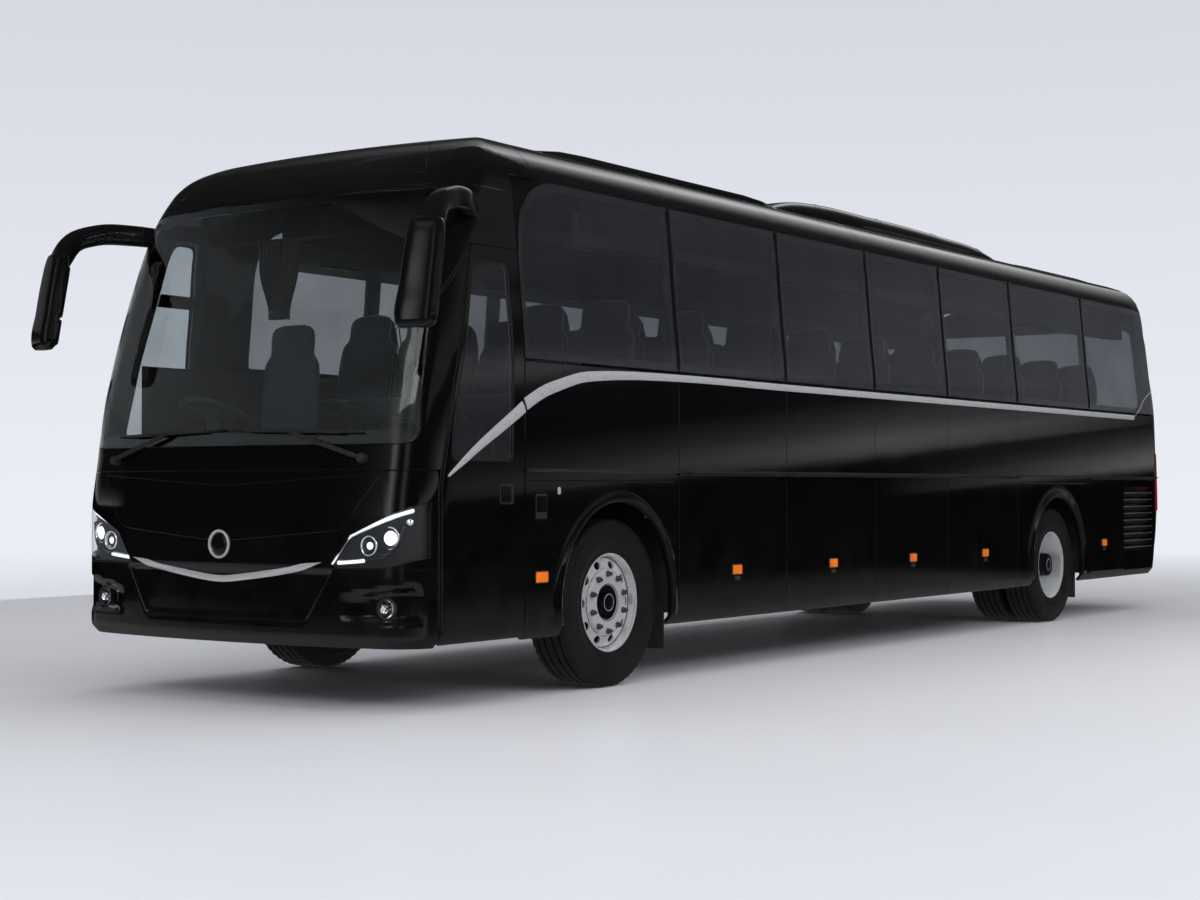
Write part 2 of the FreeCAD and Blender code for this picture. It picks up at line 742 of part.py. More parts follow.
# The moulding over the flaps carries the hinge rod on hangers at the seams.
moulding = box("Moulding", (size.half_width, hingeX + 6), (maskEnd, bodyRear - size.seam_gap),
               (flapTop + knuckleRadius + 3, flapTop + knuckleRadius + 17))
mouldingDoor = box("MouldingDoor", (size.half_width - 5, hingeX + 20),
                   (maskEnd - 5, cabEnd), (size.waist_height - 5, size.waist_height + 40))
mouldingLeft = cut("MouldingLeft", moulding, mouldingDoor)
hingeRods = []
for index, (first, last) in enumerate(((0, 4), (5, 7))):
    start, end = sideSeams[first] - 10, sideSeams[last] + 10
    hingeRods.append(rod("HingeRod%d" % index, "Y", size.hinge_radius,
                         (hingeX, start, flapTop), end - start))
for index in (0, 1, 2, 3, 4, 5, 6, 7):
    along = sideSeams[index]
    hingeRods.append(box("Hanger%d" % index, (hingeX - 6, hingeX + 6), (along - 8, along + 8),
                         (flapTop - 4, flapTop + knuckleRadius + 4)))
railLeft = fused("HingeRail", [mouldingLeft] + hingeRods)

# ---------------------------------------------------------------- lower side panels

archCentre = size.arch_height


def archHole(name, axle):
    return rod(name, "X", size.arch_radius, (size.half_width - 200, axle, archCentre), 400)


lowTop = size.waist_height
frontArchLeft = cut("FrontArchLeft", prism("FrontArchPanel", "XZ",
                    sideOutline(size.skirt_bottom, lowTop), cabEnd,
                    sideSeams[0] - size.shut_gap / 2), archHole("FrontArchHole", frontAxle))
frontArchWide = cut("FrontArchWide", prism("CabSidePanel", "XZ",
                    sideOutline(size.skirt_bottom, lowTop), maskEnd + size.seam_gap,
                    sideSeams[0] - size.shut_gap / 2), archHole("CabArchHole", frontAxle))
rearArch = cut("RearArch", prism("RearArchPanel", "XZ",
               sideOutline(size.skirt_bottom, lowTop), sideSeams[4] + size.shut_gap / 2,
               sideSeams[5] - size.shut_gap / 2), archHole("RearArchHole", rearAxle))
subPart(group("ArchPanels", [frontArchLeft, mirrored("FrontArchRight", frontArchWide),
                             rearArch, mirrored("RearArchRight", rearArch)]), "arch_panels")

flares = []
for index, (axle, reach) in enumerate(((frontAxle, 70), (rearAxle, 110))):
    ring = cut("FlareRing%d" % index,
               rod("FlareOuter%d" % index, "X", size.arch_radius + reach,
                   (size.half_width, axle, archCentre), 18),
               rod("FlareInner%d" % index, "X", size.arch_radius,
                   (size.half_width - 5, axle, archCentre), 40))
    flares.append(common("Flare%d" % index, ring, region(
        "FlareZone%d" % index, (axle - 900, axle + 900),
        (size.skirt_bottom + size.tuck_height, topOfAll))))
subPart(bothSides("ArchFlares", flares), "arch_flares")

# ---------------------------------------------------------------- bright trim

beltThick = 45
beltStrip = prism("BeltStrip", "YZ", [
    (cabEnd + size.seam_gap, size.belt_height - 270), (cabEnd + size.seam_gap, size.belt_height - 193),
    (frontAxle - 190, size.belt_height - 80), (frontAxle + 500, size.belt_height - beltThick),
    (rearAxle + 1940, size.belt_height - beltThick), (rearAxle + 1940, size.belt_height),
    (frontAxle + 500, size.belt_height), (frontAxle - 190, size.belt_height - 20),
    (frontAxle - 560, size.belt_height - 95)],
    size.half_width, size.half_width + size.trim_wall)

trimForm = shaped("TrimForm", bodyForm(-float(size.trim_wall)))
trimSkin = cut("TrimSkin", trimForm, outerForm)
bumperMark = prism("BumperMark", "XZ", [
    (-670, 785), (-670, 750), (0, 660), (670, 750), (670, 785), (0, 698)], aheadOfAll, frontEnd + 200)
blankDisc = rod("BlankDisc", "Y", 80, (0, aheadOfAll, 860), 300)
subPart(group("BrightTrim", [bothSides("BeltStrips", [beltStrip]),
                             common("BumperTrim", trimSkin, bumperMark),
                             common("Disc", trimSkin, blankDisc)]), "bright_trim")

# ---------------------------------------------------------------- wipers

wiperHeight = 1470
wiperBack = size.level_front_4 + (size.level_front_5 - size.level_front_4) * 0.45 - 1
glassCentre = frontEnd + wiperBack + size.front_radius
blade = common("Blade", cut("BladeRing",
               rod("BladeOuter", "Z", size.front_radius + 28, (0, glassCentre, wiperHeight - 14), 28),
               rod("BladeInner", "Z", size.front_radius, (0, glassCentre, wiperHeight - 20), 40)),
               box("BladeZone", (70, 930), (aheadOfAll, frontEnd + 400),
                   (wiperHeight - 50, wiperHeight + 50)))
armLeft = prism("WiperArm", "XZ", [(905, 1290), (945, 1290), (945, 1330), (420, 1484), (400, 1456),
                                   (880, 1318)], frontEnd - 20, frontEnd + 60)
armCurved = common("WiperArmCurved", armLeft, cut("ArmRing",
                   rod("ArmOuter", "Z", size.front_radius + 45, (0, glassCentre, 1200), 400),
                   rod("ArmInner", "Z", size.front_radius + 28, (0, glassCentre, 1200), 400)))
pivot = cut("WiperPivot", rod("PivotRod", "Y", 22, (925, frontEnd + 30, 1310), 150), outerForm)
wiper = fused("Wiper", [blade, armCurved, pivot])
subPart(bothSides("Wipers", [wiper]), "wipers")

# ---------------------------------------------------------------- mirrors


cornerShare = 0.35  # of a half-width


def sectionAt(centre, wideAxis, deepAxis, halfWide, halfDeep):
    """A rectangle with its corners cut off, as a closed wire."""
    near = 1 - cornerShare
    wire = []
    for a, b in ((1, near), (near, 1), (-near, 1), (-1, near),
                 (-1, -near), (-near, -1), (near, -1), (1, -near)):
        wire.append(centre + wideAxis * (a * halfWide) + deepAxis * (b * halfDeep))
    return Part.makePolygon(wire + wire[:1])


mirrorFront = frontEnd - size.mirror_reach
housingTurn = math.radians(18)
housingWide = Vector(math.cos(housingTurn), math.sin(housingTurn), 0)
housingDeep = Vector(-math.sin(housingTurn), math.cos(housingTurn), 0)
# The housing's lowest full section reaches the front of the whole vehicle.
footWide, footDeep = 98, 50
footReach = ((1 - cornerShare) * footWide * math.sin(housingTurn)
             + footDeep * math.cos(housingTurn))
# The arm's sections from its foot to the housing's bottom: across, place along the bus,
# height, half-width, half-depth.
armSections = [
    (leaning(2650) - 45, frontAxle - 1200, 2652, 28, 58),
    (1275, frontAxle - 1420, 2668, 36, 62),
    (1340, frontAxle - 1640, 2655, 44, 62),
    (1378, frontAxle - 1790, 2590, 58, 60),
]
housingSections = [
    (1392, mirrorFront + 185, 2480, 76, 56),
    (1400, mirrorFront + 150, 2380, 92, 54),
    (1406, mirrorFront + footReach, 1990, footWide, footDeep),
    (1406, mirrorFront + footReach, 1955, 84, 38),
]
centres = [Vector(*[float(measure(v)) for v in row[:3]]) for row in armSections]
below = Vector(*[float(measure(v)) for v in housingSections[0][:3]])
wires = []
for index, row in enumerate(armSections):
    after = centres[index + 1] if index + 1 < len(centres) else below
    way = (after - centres[max(index - 1, 0)]).normalize()
    acrossAxis = way.cross(Vector(0, 0, 1)).normalize() * -1
    wires.append(sectionAt(centres[index], acrossAxis, way.cross(acrossAxis), row[3], row[4]))
for x, y, z, halfWide, halfDeep in housingSections:
    middle = Vector(float(measure(x)), float(measure(y)), float(measure(z)))
    wires.append(sectionAt(middle, housingWide, housingDeep, halfWide, halfDeep))
mirrorBody = cut("MirrorBody", shaped("MirrorForm", Part.makeLoft(wires, True, True)), outerForm)
subPart(bothSides("Mirrors", [mirrorBody]), "mirrors")

# ---------------------------------------------------------------- floors and inner walls

inner = size.half_width - size.wall
floorLow = size.floor_height - size.floor_wall
cabBack = frontAxle - size.well_half - 10
stairInner = size.rail_half + 70
floorHalf = inner - 14
gangwayEdge, gangwayRise = 5, 4
passengerFloor = fused("PassengerFloor", [
    box("FloorPlate", (-floorHalf, floorHalf), (cabBack, bodyRear - 20),
        (floorLow, size.floor_height)),
    box("Gangway", (gangwayEdge - size.aisle_half, size.aisle_half - gangwayEdge),
        (cabBack, bodyRear - 20), (size.floor_height, size.floor_height + gangwayRise))])
cabFloorPlate = prism("CabFloor", "XY", [
    (-inner, cabBack), (-inner, frontEnd + 345), (85 - inner, frontEnd + 230),
    (235 - inner, frontEnd + 150), (stairInner - 20 - size.seam_gap, frontEnd + 150),
    (stairInner - 20 - size.seam_gap, cabBack)],
    size.cab_floor - size.floor_wall, size.cab_floor)
riser = box("Riser", (-inner, stairInner - 20 - size.seam_gap),
            (cabBack - 30, cabBack - size.seam_gap),
            (size.cab_floor + size.seam_gap, size.floor_height))
stepRows = [
    # inner and outer edge across, top of the step
    (stairInner, measure(790), 650),
    (measure(790), measure(1190), 400),
]
stairFront = frontAxle - 1600
seam = size.seam_gap
stairSide = box("StairSide", (stairInner - 20, stairInner - seam),
                (stairFront + seam, cabBack - seam), (380, size.cab_floor))
steps = []
for index, (near, far, top) in enumerate(stepRows):
    steps.append(box("Step%d" % index, (near, far - seam),
                     (stairFront + seam, frontAxle - 900 - seam), (top - 20, top)))
steps.append(box("StepFace", (770, 790 - seam), (stairFront + seam, frontAxle - 900 - seam),
                 (380, 630 - seam)))
stairWall = box("StairWall", (stairInner - 20, 1190), (stairFront - 30, stairFront),
                (380, size.cab_floor))
tuckTop = size.skirt_bottom + size.tuck_height
stairBack = box("StairBack", (stairInner, inner), (frontAxle - 900, cabBack - seam),
                (tuckTop + 2, size.floor_height))
postX, postY = size.door_post_half, frontAxle - size.door_post_ahead
brackets = []
for index, height in enumerate((500, 860)):
    block = box("PostBlock%d" % index, (postX - 45, postX + 45), (stairFront, postY + 40),
                (height, height + 40))
    brackets.append(block)
postBore = rod("PostBore", "Z", size.door_post_radius + size.running_gap,
               (postX, postY, 480), 600)
aisleStep = box("AisleStep", (-300, 300), (cabBack - 280, cabBack - 30 - size.seam_gap),
                (size.cab_floor + size.seam_gap, 1075))
stairFrame = cut("StairFrame", fused("StairFrameAll", [stairWall] + brackets), postBore)
lowStep = cut("LowStep", steps.pop(1), postBore)
subPart(group("CabinFloor", [passengerFloor, cabFloorPlate, riser, aisleStep, stairFrame, lowStep,
                             stairSide, stairBack] + steps), "cabin_floor")

wells = []
for index, axle in enumerate((frontAxle, rearAxle)):
    low, high = axle - size.well_half, axle + size.well_half
    axleWay = box("AxleWay%d" % index, (size.well_inner - 5, size.well_inner + 15),
                  (axle - 130, axle + 130), (size.bay_floor - 5, size.tyre_radius + 130))
    wells.append(fused("Well%d" % index, [
        cut("WellSide%d" % index,
            box("WellWall%d" % index, (size.well_inner, size.well_inner + 10),
                (low - 10, high + 10), (size.bay_floor, floorLow)), axleWay),
        box("WellTop%d" % index, (size.well_inner, inner), (low - 10, high + 10),
            (size.well_top, size.well_top + 10)),
        box("WellFront%d" % index, (size.well_inner, inner), (low - 10, low),
            (size.bay_floor, floorLow)),
        box("WellBack%d" % index, (size.well_inner, inner), (high, high + 10),
            (size.bay_floor, floorLow))]))
subPart(bothSides("WheelWells", wells), "wheel_wells")

bayFront = frontAxle + size.well_half + 10
bayBack = rearAxle - size.well_half - 10
bayHalf = size.half_width - size.wall - size.tuck_in - 5
bay = fused("LuggageBay", [
    box("BayFloor", (-bayHalf, bayHalf), (bayFront, bayBack), (size.bay_floor, size.bay_floor + 20)),
    box("BayFront", (-bayHalf, bayHalf), (bayFront, bayFront + 20), (size.bay_floor, floorLow)),
    box("BayBack", (-bayHalf, bayHalf), (bayBack - 20, bayBack), (size.bay_floor, floorLow))])
subPart(bay, "luggage_bay")

flaps = []
for index, axle in enumerate((frontAxle, rearAxle)):
    back = axle + size.well_half
    flaps.append(box("Mudflap%d" % index, (size.half_width - 330, bayHalf),
                     (back - 8, back), (180, 620)))
subPart(bothSides("Mudflaps", flaps), "mudflaps")

railLow, railHigh = measure(620), measure(760)
frameRails = [
    box("FrontRail", (size.rail_half - 40, size.rail_half + 40), (frontEnd + 260, bayFront),
        (railLow, railHigh)),
    box("RearRail", (size.rail_half - 40, size.rail_half + 40), (bayBack, rearEnd - 320),
        (railLow, railHigh))]

engine = box("Engine", (40 - size.rail_half, size.rail_half - 40), (rearAxle + 1080, rearAxle + 2380),
             (450, 1190))
subPart(engine, "engine_block")

# ---------------------------------------------------------------- axles

axleHeight = size.tyre_radius
kingX = size.kingpin_half
beam = prism("Beam", "XZ", [
    (-kingX + 20, axleHeight - 45), (-kingX + 20, axleHeight + 45), (-kingX + 160, axleHeight + 45),
    (-kingX + 260, axleHeight - 15), (kingX - 260, axleHeight - 15), (kingX - 160, axleHeight + 45),
    (kingX - 20, axleHeight + 45), (kingX - 20, axleHeight - 45), (kingX - 140, axleHeight - 45),
    (kingX - 250, axleHeight - 95), (-kingX + 250, axleHeight - 95), (-kingX + 140, axleHeight - 45)],
    frontAxle - 45, frontAxle + 45)
bossLeft = rod("BossLeft", "Z", 45, (kingX, frontAxle, axleHeight - 50), 100)
boreLeft = rod("KingBore", "Z", size.kingpin_radius + size.running_gap,
               (kingX, frontAxle, axleHeight - 100), 200)
frontBeam = cut("FrontBeam", fused("BeamAll", [beam, bossLeft, mirrored("BossRight", bossLeft)]),
                fused("KingBores", [boreLeft, mirrored("KingBoreRight", boreLeft)]))
subPart(frontBeam, "front_axle")

tube = rod("AxleTube", "X", 70, (-600, rearAxle, axleHeight), 1200)
spindle = rod("RearSpindle", "X", size.hub_radius, (-1165, rearAxle, axleHeight), 2330)
casing = rod("AxleCasing", "X", 185, (-130, rearAxle, axleHeight), 260)
subPart(fused("RearAxle", [tube, spindle, casing]), "rear_axle")

springFront = rod("SpringFront", "Z", 60, (size.rail_half, frontAxle, axleHeight - 15),
                  railLow - axleHeight + 15)
springRear = cut("SpringRearCut", rod("SpringRear", "Z", 60, (size.rail_half, rearAxle, axleHeight),
                                      railLow - axleHeight), tube)
subPart(bothSides("Chassis", frameRails + [springFront, springRear]), "chassis_rails")

# ---------------------------------------------------------------- knuckles and tie rod

pinTop, pinLow = axleHeight + 105, axleHeight - 105
armHeight = pinLow
knuckle = fused("KnuckleLeft", [
    rod("Kingpin", "Z", size.kingpin_radius, (kingX, frontAxle, pinLow), pinTop - pinLow),
    box("EarTop", (kingX - 40, kingX + 85), (frontAxle - 45, frontAxle + 45),
        (axleHeight + 56, pinTop)),
    box("EarLow", (kingX - 40, kingX + 85), (frontAxle - 45, frontAxle + 45),
        (pinLow, axleHeight - 56)),
    box("EarWeb", (kingX + 52, kingX + 85), (frontAxle - 45, frontAxle + 45), (pinLow, pinTop)),
    rod("Spindle", "X", size.hub_radius, (kingX + 60, frontAxle, axleHeight), 205),
    box("SteeringArm", (kingX - 20, kingX + 20), (frontAxle + 20, frontAxle + size.arm_length + 25),
        (armHeight, armHeight + 25)),
    rod("ArmPin", "Z", 12, (kingX, frontAxle + size.arm_length, armHeight - 40), 45)])
subPart(knuckle, "knuckle_left")
subPart(mirrored("KnuckleRight", knuckle), "knuckle_right")

rodY = frontAxle + size.arm_length
eyeLow = armHeight - 35
tieRod = cut("TieRod", fused("TieRodAll", [
    rod("TieBar", "X", 14, (-kingX, rodY, armHeight - 20), 2 * kingX),
    rod("EyeLeft", "Z", 26, (kingX, rodY, eyeLow), 30),
    rod("EyeRight", "Z", 26, (-kingX, rodY, eyeLow), 30)]),
    fused("TieBores", [rod("TieBoreLeft", "Z", 12 + size.running_gap, (kingX, rodY, eyeLow - 5), 40),
                       rod("TieBoreRight", "Z", 12.5, (-kingX, rodY, eyeLow - 5), 40)]))
subPart(tieRod, "tie_rod")

# ---------------------------------------------------------------- wheels

outerCentre = size.half_width - size.tyre_inset - size.tyre_width / 2
innerCentre = outerCentre - size.tyre_width - size.twin_gap


def tyreOutline(centre):
    """Half the tyre's section: x, radius."""
    half = size.tyre_width / 2
    return [(centre - half + 22, size.rim_radius), (centre + half - 22, size.rim_radius),
            (centre + half, size.rim_radius + 105), (centre + half - 20, size.tyre_radius),
            (centre - half + 20, size.tyre_radius), (centre - half, size.rim_radius + 105)]


def tyre(name, centre, axle):
    return turned(name, tyreOutline(centre), (axle, axleHeight))


handHoles = 10
holeCircle = 205
holeRadius = 27


def rimHoles(name, x, length, axle):
    holes = []
    for index in range(handHoles):
        turn = 2 * math.pi * index / handHoles
        holes.append(rod("%s%d" % (name, index), "X", holeRadius,
                         (x, axle + holeCircle * math.cos(turn),
                          axleHeight + holeCircle * math.sin(turn)), length))
    return fused(name, holes)


hubBore = size.hub_radius + size.running_gap
rimWall = 14
frontOut = outerCentre + size.tyre_width / 2 - 22
frontIn = outerCentre - size.tyre_width / 2 + 22
discOut = frontOut - 45
frontRim = cut("FrontRim", turned("FrontRimSolid", [
    (frontIn, size.rim_radius), (frontOut, size.rim_radius), (frontOut, size.rim_radius - rimWall),
    (discOut - 10, size.rim_radius - rimWall - 10), (discOut, measure(150)), (discOut, measure(85)),
    (discOut + 35, measure(80)), (discOut + 35, hubBore), (kingX + 95, hubBore),
    (kingX + 95, measure(90)), (discOut - 16, measure(95)), (discOut - 28, size.rim_radius - 28),
    (frontIn, size.rim_radius - rimWall)], (frontAxle, axleHeight)),
    rimHoles("FrontHandHoles", discOut - 60, 90, frontAxle))
frontTyre = tyre("FrontTyre", outerCentre, frontAxle)
subPart(frontTyre, "tyre_front_left")
subPart(mirrored("FrontTyreRight", frontTyre), "tyre_front_right")
subPart(frontRim, "rim_front_left")
subPart(mirrored("FrontRimRight", frontRim), "rim_front_right")

twinIn = innerCentre - size.tyre_width / 2 + 22
discMid = (innerCentre + outerCentre) / 2 + 20
rearRim = cut("RearRim", turned("RearRimSolid", [
    (twinIn, size.rim_radius), (frontOut, size.rim_radius), (frontOut, size.rim_radius - rimWall),
    (discMid + 26, size.rim_radius - rimWall - 8), (discMid + 8, measure(150)),
    (discMid + 8, measure(110)), (frontOut - 20, measure(95)), (frontOut - 20, hubBore),
    (twinIn + 60, hubBore), (twinIn + 60, measure(90)), (discMid - 12, measure(95)),
    (discMid, size.rim_radius - 30), (twinIn, size.rim_radius - rimWall)],
    (rearAxle, axleHeight)), rimHoles("RearHandHoles", discMid - 40, 90, rearAxle))
rearTyres = group("RearTyres", [tyre("RearTyreOuter", outerCentre, rearAxle),
                                tyre("RearTyreInner", innerCentre, rearAxle)])
subPart(rearTyres, "tyres_rear_left")
subPart(mirrored("RearTyresRight", rearTyres), "tyres_rear_right")
subPart(rearRim, "rims_rear_left")
subPart(mirrored("RearRimRight", rearRim), "rims_rear_right")

# ---------------------------------------------------------------- passenger door

doorSide = prism("DoorSide", "YZ", doorOutline(0), size.half_width - 300, wide)
doorSection = [(inner, size.door_bottom - 5), (size.half_width, size.door_bottom - 5),
               (size.half_width, size.belt_height), (leaning(2485), measure(2485)),
               (leaning(2485, size.wall), measure(2485)), (inner, size.belt_height)]
doorSlab = common("DoorSlab", prism("DoorBoard", "XZ", doorSection, frontAxle - 1700,
                                    frontAxle - size.door_rear), doorSide)
doorGlassOutline = [(frontAxle - 1010, 1300), (frontAxle - 1010, 2380), (frontAxle - 1290, 2380),
                    (frontAxle - 1350, 2150), (frontAxle - 1455, 1720), (frontAxle - 1515, 1410),
                    (frontAxle - 1540, 1300)]
doorPane = common("DoorPane", prism("DoorPaneLayer", "XZ", [
    (size.half_width - size.glass_wall, size.belt_height - 700),
    (size.half_width, size.belt_height - 700), (size.half_width, size.belt_height),
    (leaning(2485), measure(2485)), (leaning(2485, size.glass_wall), measure(2485)),
    (size.half_width - size.glass_wall, size.belt_height)], frontAxle - 1700, frontAxle - 900),
    prism("DoorPaneZone", "YZ", doorGlassOutline, size.half_width - 300, wide))
subPart(doorPane, "door_glass")
doorHoleOutline = [(frontAxle - 1045, 1335), (frontAxle - 1045, 2345), (frontAxle - 1262, 2345),
                   (frontAxle - 1313, 2150), (frontAxle - 1418, 1720), (frontAxle - 1480, 1410),
                   (frontAxle - 1490, 1335)]
attachY = postY + size.door_arm
armHeights = (720, 1120)
doorPins = []
for index, height in enumerate(armHeights):
    doorPins.append(rod("DoorPin%d" % index, "Z", size.door_pin_radius, (postX, attachY, height - 14), 58))
    for side, low in (("Low", height - 15), ("High", height + 35)):
        doorPins.append(box("DoorEar%s%d" % (side, index), (postX - 25, inner + 5),
                            (attachY - 22, attachY + 22), (low, low + 10)))
doorPanel = fused("DoorPanel", [cut("DoorShell", doorSlab, fused("DoorGlassHoles", [
    doorPane, prism("DoorGlassHole", "YZ", doorHoleOutline, size.half_width - 300, wide)]))] + doorPins)
subPart(doorPanel, "door_panel")

armParts = [rod("DoorPost", "Z", size.door_post_radius, (postX, postY, 480), 700)]
for index, height in enumerate(armHeights):
    armParts.append(box("ArmBar%d" % index, (postX - 14, postX + 14), (postY, attachY),
                        (height, height + 30)))
    armParts.append(rod("ArmEye%d" % index, "Z", 24, (postX, attachY, height), 30))
    armParts.append(rod("PostRing%d" % index, "Z", 30, (postX, postY, height), 30))
armBore = rod("ArmBores", "Z", size.door_pin_radius + size.running_gap, (postX, attachY, 600), 700)
subPart(cut("DoorArm", fused("DoorArmAll", armParts), armBore), "door_arm")

# ---------------------------------------------------------------- engine lid

lidTopEdge = size.lid_top - size.shut_gap
lidZone = region("LidZone", (rearEnd - 300, behindAll),
                 (size.lid_bottom + size.shut_gap, lidTopEdge),
                 (size.shut_gap - size.lid_half, size.lid_half - size.shut_gap))
lidSkinY = rearEnd - (size.level_rear_4 + size.level_rear_5) / 2
lidHingeY = lidSkinY + size.hinge_out
lidParts = [common("LidSkin", skin, lidZone)]
for index, across in enumerate((-600, 540)):
    lidParts.append(rod("LidEye%d" % index, "X", knuckleRadius, (across, lidHingeY, lidTopEdge), 60))
    lidParts.append(box("LidLeaf%d" % index, (across, across + 60), (rearEnd - 60, lidHingeY),
                        (lidTopEdge - knuckleRadius, lidTopEdge)))
lidBore = rod("LidBore", "X", size.hinge_radius + size.running_gap, (-800, lidHingeY, lidTopEdge), 1600)
subPart(cut("EngineLid", fused("LidAll", lidParts), lidBore), "engine_lid")
lidRail = [rod("LidRod", "X", size.hinge_radius, (-700, lidHingeY, lidTopEdge), 1400)]
for index, across in enumerate((-700, -20, 660)):
    lidRail.append(box("LidHanger%d" % index, (across, across + 40), (rearEnd - 60, lidHingeY + 6),
                       (size.lid_top + size.seam_gap, size.lid_top + 20)))
    lidRail.append(box("LidDrop%d" % index, (across, across + 40), (lidHingeY - 6, lidHingeY + 6),
                       (lidTopEdge - 4, size.lid_top + 10)))
lidHinge = cut("LidHinge", fused("LidHingeAll", lidRail), outerForm)
subPart(group("HingeRails", [bothSides("SideRails", [railLeft]), lidHinge]), "hinge_rails")

# ---------------------------------------------------------------- cabin fittings

cushions, backs = [], []
seatWidth = leaning(2400, size.wall) - size.aisle_half - 6
for index in range(int(size.seat_rows.value)):
    front = frontAxle - 250 + size.seat_pitch * index
    low = size.floor_height
    cushions.append(prism("Cushion%d" % index, "YZ", [
        (front + 130, low), (front + 330, low), (front + 330, low + 330), (front + 450, low + 350),
        (front + 450, low + 470), (front, low + 490), (front, low + 350), (front + 130, low + 330)],
        size.aisle_half, size.aisle_half + seatWidth))
    backs.append(prism("Back%d" % index, "YZ", [
        (front + 450, low + 350), (front + 450, low + 470), (front + 600, low + 1130),
        (front + 690, low + 1110), (front + 550, low + 350)],
        size.aisle_half, size.aisle_half + seatWidth))
subPart(bothSides("SeatCushions", cushions), "seat_cushions")
subPart(bothSides("SeatBacks", backs), "seat_backs")

rackBack = [(leaning(2560, size.wall), measure(2560)), (leaning(2760, size.wall), measure(2760))]
rack = prism("Rack", "XZ", [rackBack[0], rackBack[1], (measure(830), measure(2690)),
                            (measure(830), measure(2610))], frontAxle - 300, rearAxle + 1900)
subPart(bothSides("Racks", [rack]), "luggage_racks")

driverSeat = prism("DriverSeat", "YZ", [
    (frontAxle - 1020, 900), (frontAxle - 780, 900), (frontAxle - 780, 1270), (frontAxle - 720, 1290),
    (frontAxle - 670, 2000), (frontAxle - 740, 2020), (frontAxle - 800, 1385), (frontAxle - 1090, 1400),
    (frontAxle - 1100, 1290), (frontAxle - 1020, 1270)], -880, -400)
subPart(driverSeat, "driver_seat")

dashboard = prism("Dashboard", "YZ", [
    (frontEnd + 240, 900), (frontAxle - 1480, 900), (frontAxle - 1440, 1290), (frontAxle - 1470, 1390),
    (frontAxle - 1620, 1400), (frontEnd + 240, 1340)], -1000, 300)

wheelCentre = Vector(-640, float(frontAxle) - 1340, 1580)
wheelTilt = Rotation(Vector(1, 0, 0), -25)
rimRadius, rimHalf = 215, 15
rimCorners = [Vector(rimRadius + rimHalf * math.cos(math.radians(turn)), 0,
                     rimHalf * math.sin(math.radians(turn))) for turn in range(0, 361, 60)]
rimFace = Part.Face(Part.makePolygon(rimCorners))
ring = shaped("SteeringRing", rimFace.revolve(Vector(), Vector(0, 0, 1), 360))
ring.Placement = Placement(wheelCentre, wheelTilt)
column = doc.addObject("Part::Cylinder", "SteeringColumn")
column.Radius, column.Height = 28, 330
column.Placement = Placement(wheelCentre + wheelTilt.multVec(Vector(0, 0, -330)), wheelTilt)
spokes = doc.addObject("Part::Box", "SteeringSpokes")
spokes.Length, spokes.Width, spokes.Height = 430, 50, 18
spokes.Placement = Placement(wheelCentre + wheelTilt.multVec(Vector(-215, -25, -9)), wheelTilt)
steeringWheel = fused("SteeringWheel", [ring, column, spokes])
subPart(fused("DashboardWheel", [dashboard, steeringWheel]), "dashboard")

# ---------------------------------------------------------------- checks and files

doc.recompute()
for item in doc.Objects:
    bad = [state for state in item.State if state in ("Invalid", "Error")]
    if bad:
        raise RuntimeError("%s is %s" % (item.Label, bad))
for item in subParts:
    if item.Shape.isNull() or not item.Shape.isValid() or not item.Shape.Solids:
        raise RuntimeError("%s has no sound solid" % item.Label)

os.makedirs("parts", exist_ok=True)
for item in subParts:
    item.Shape.exportStep("parts/%s.step" % item.Label)
    print("%s: %d solids, %.0f cm3" % (item.Label, len(item.Shape.Solids), item.Shape.Volume / 1000))
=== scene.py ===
# Looks of a touring coach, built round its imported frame. Metres, +Z up, the front faces -Y,
# and the coach's own left side is +X.
import json
import math

import bmesh
import bpy
import numpy as np
from mathutils import Matrix, Vector
from mathutils.geometry import delaunay_2d_cdt

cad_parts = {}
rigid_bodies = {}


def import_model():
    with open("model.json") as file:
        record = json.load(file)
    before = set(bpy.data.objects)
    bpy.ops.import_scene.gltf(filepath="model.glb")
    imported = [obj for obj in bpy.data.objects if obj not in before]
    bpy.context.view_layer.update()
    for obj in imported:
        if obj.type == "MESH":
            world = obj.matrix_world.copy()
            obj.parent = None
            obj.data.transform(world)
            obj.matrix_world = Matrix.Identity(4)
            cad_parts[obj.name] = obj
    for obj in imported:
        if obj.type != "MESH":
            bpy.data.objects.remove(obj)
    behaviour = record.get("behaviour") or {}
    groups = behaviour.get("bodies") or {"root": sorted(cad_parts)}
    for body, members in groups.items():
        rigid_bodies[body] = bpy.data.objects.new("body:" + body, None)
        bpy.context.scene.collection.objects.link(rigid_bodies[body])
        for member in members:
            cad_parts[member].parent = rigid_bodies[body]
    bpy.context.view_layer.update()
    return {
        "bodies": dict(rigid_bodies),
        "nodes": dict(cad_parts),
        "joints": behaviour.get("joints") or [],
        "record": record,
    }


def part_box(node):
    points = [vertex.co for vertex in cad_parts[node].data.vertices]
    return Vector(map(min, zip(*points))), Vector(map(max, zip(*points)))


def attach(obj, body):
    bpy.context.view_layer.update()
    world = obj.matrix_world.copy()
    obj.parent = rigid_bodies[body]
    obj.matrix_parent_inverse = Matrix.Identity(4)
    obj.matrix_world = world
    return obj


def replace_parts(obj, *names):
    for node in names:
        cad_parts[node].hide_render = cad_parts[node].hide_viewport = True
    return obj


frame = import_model()
scene = bpy.context.scene
print("frame loaded")


def middleOf(node, axis):
    low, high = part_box(node)
    return (low[axis] + high[axis]) / 2


frontAxle = middleOf("tyre_front_left", 1)
rearAxle = middleOf("tyres_rear_left", 1)
axleHeight = middleOf("tyre_front_left", 2)
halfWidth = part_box("waist_panels")[1].x


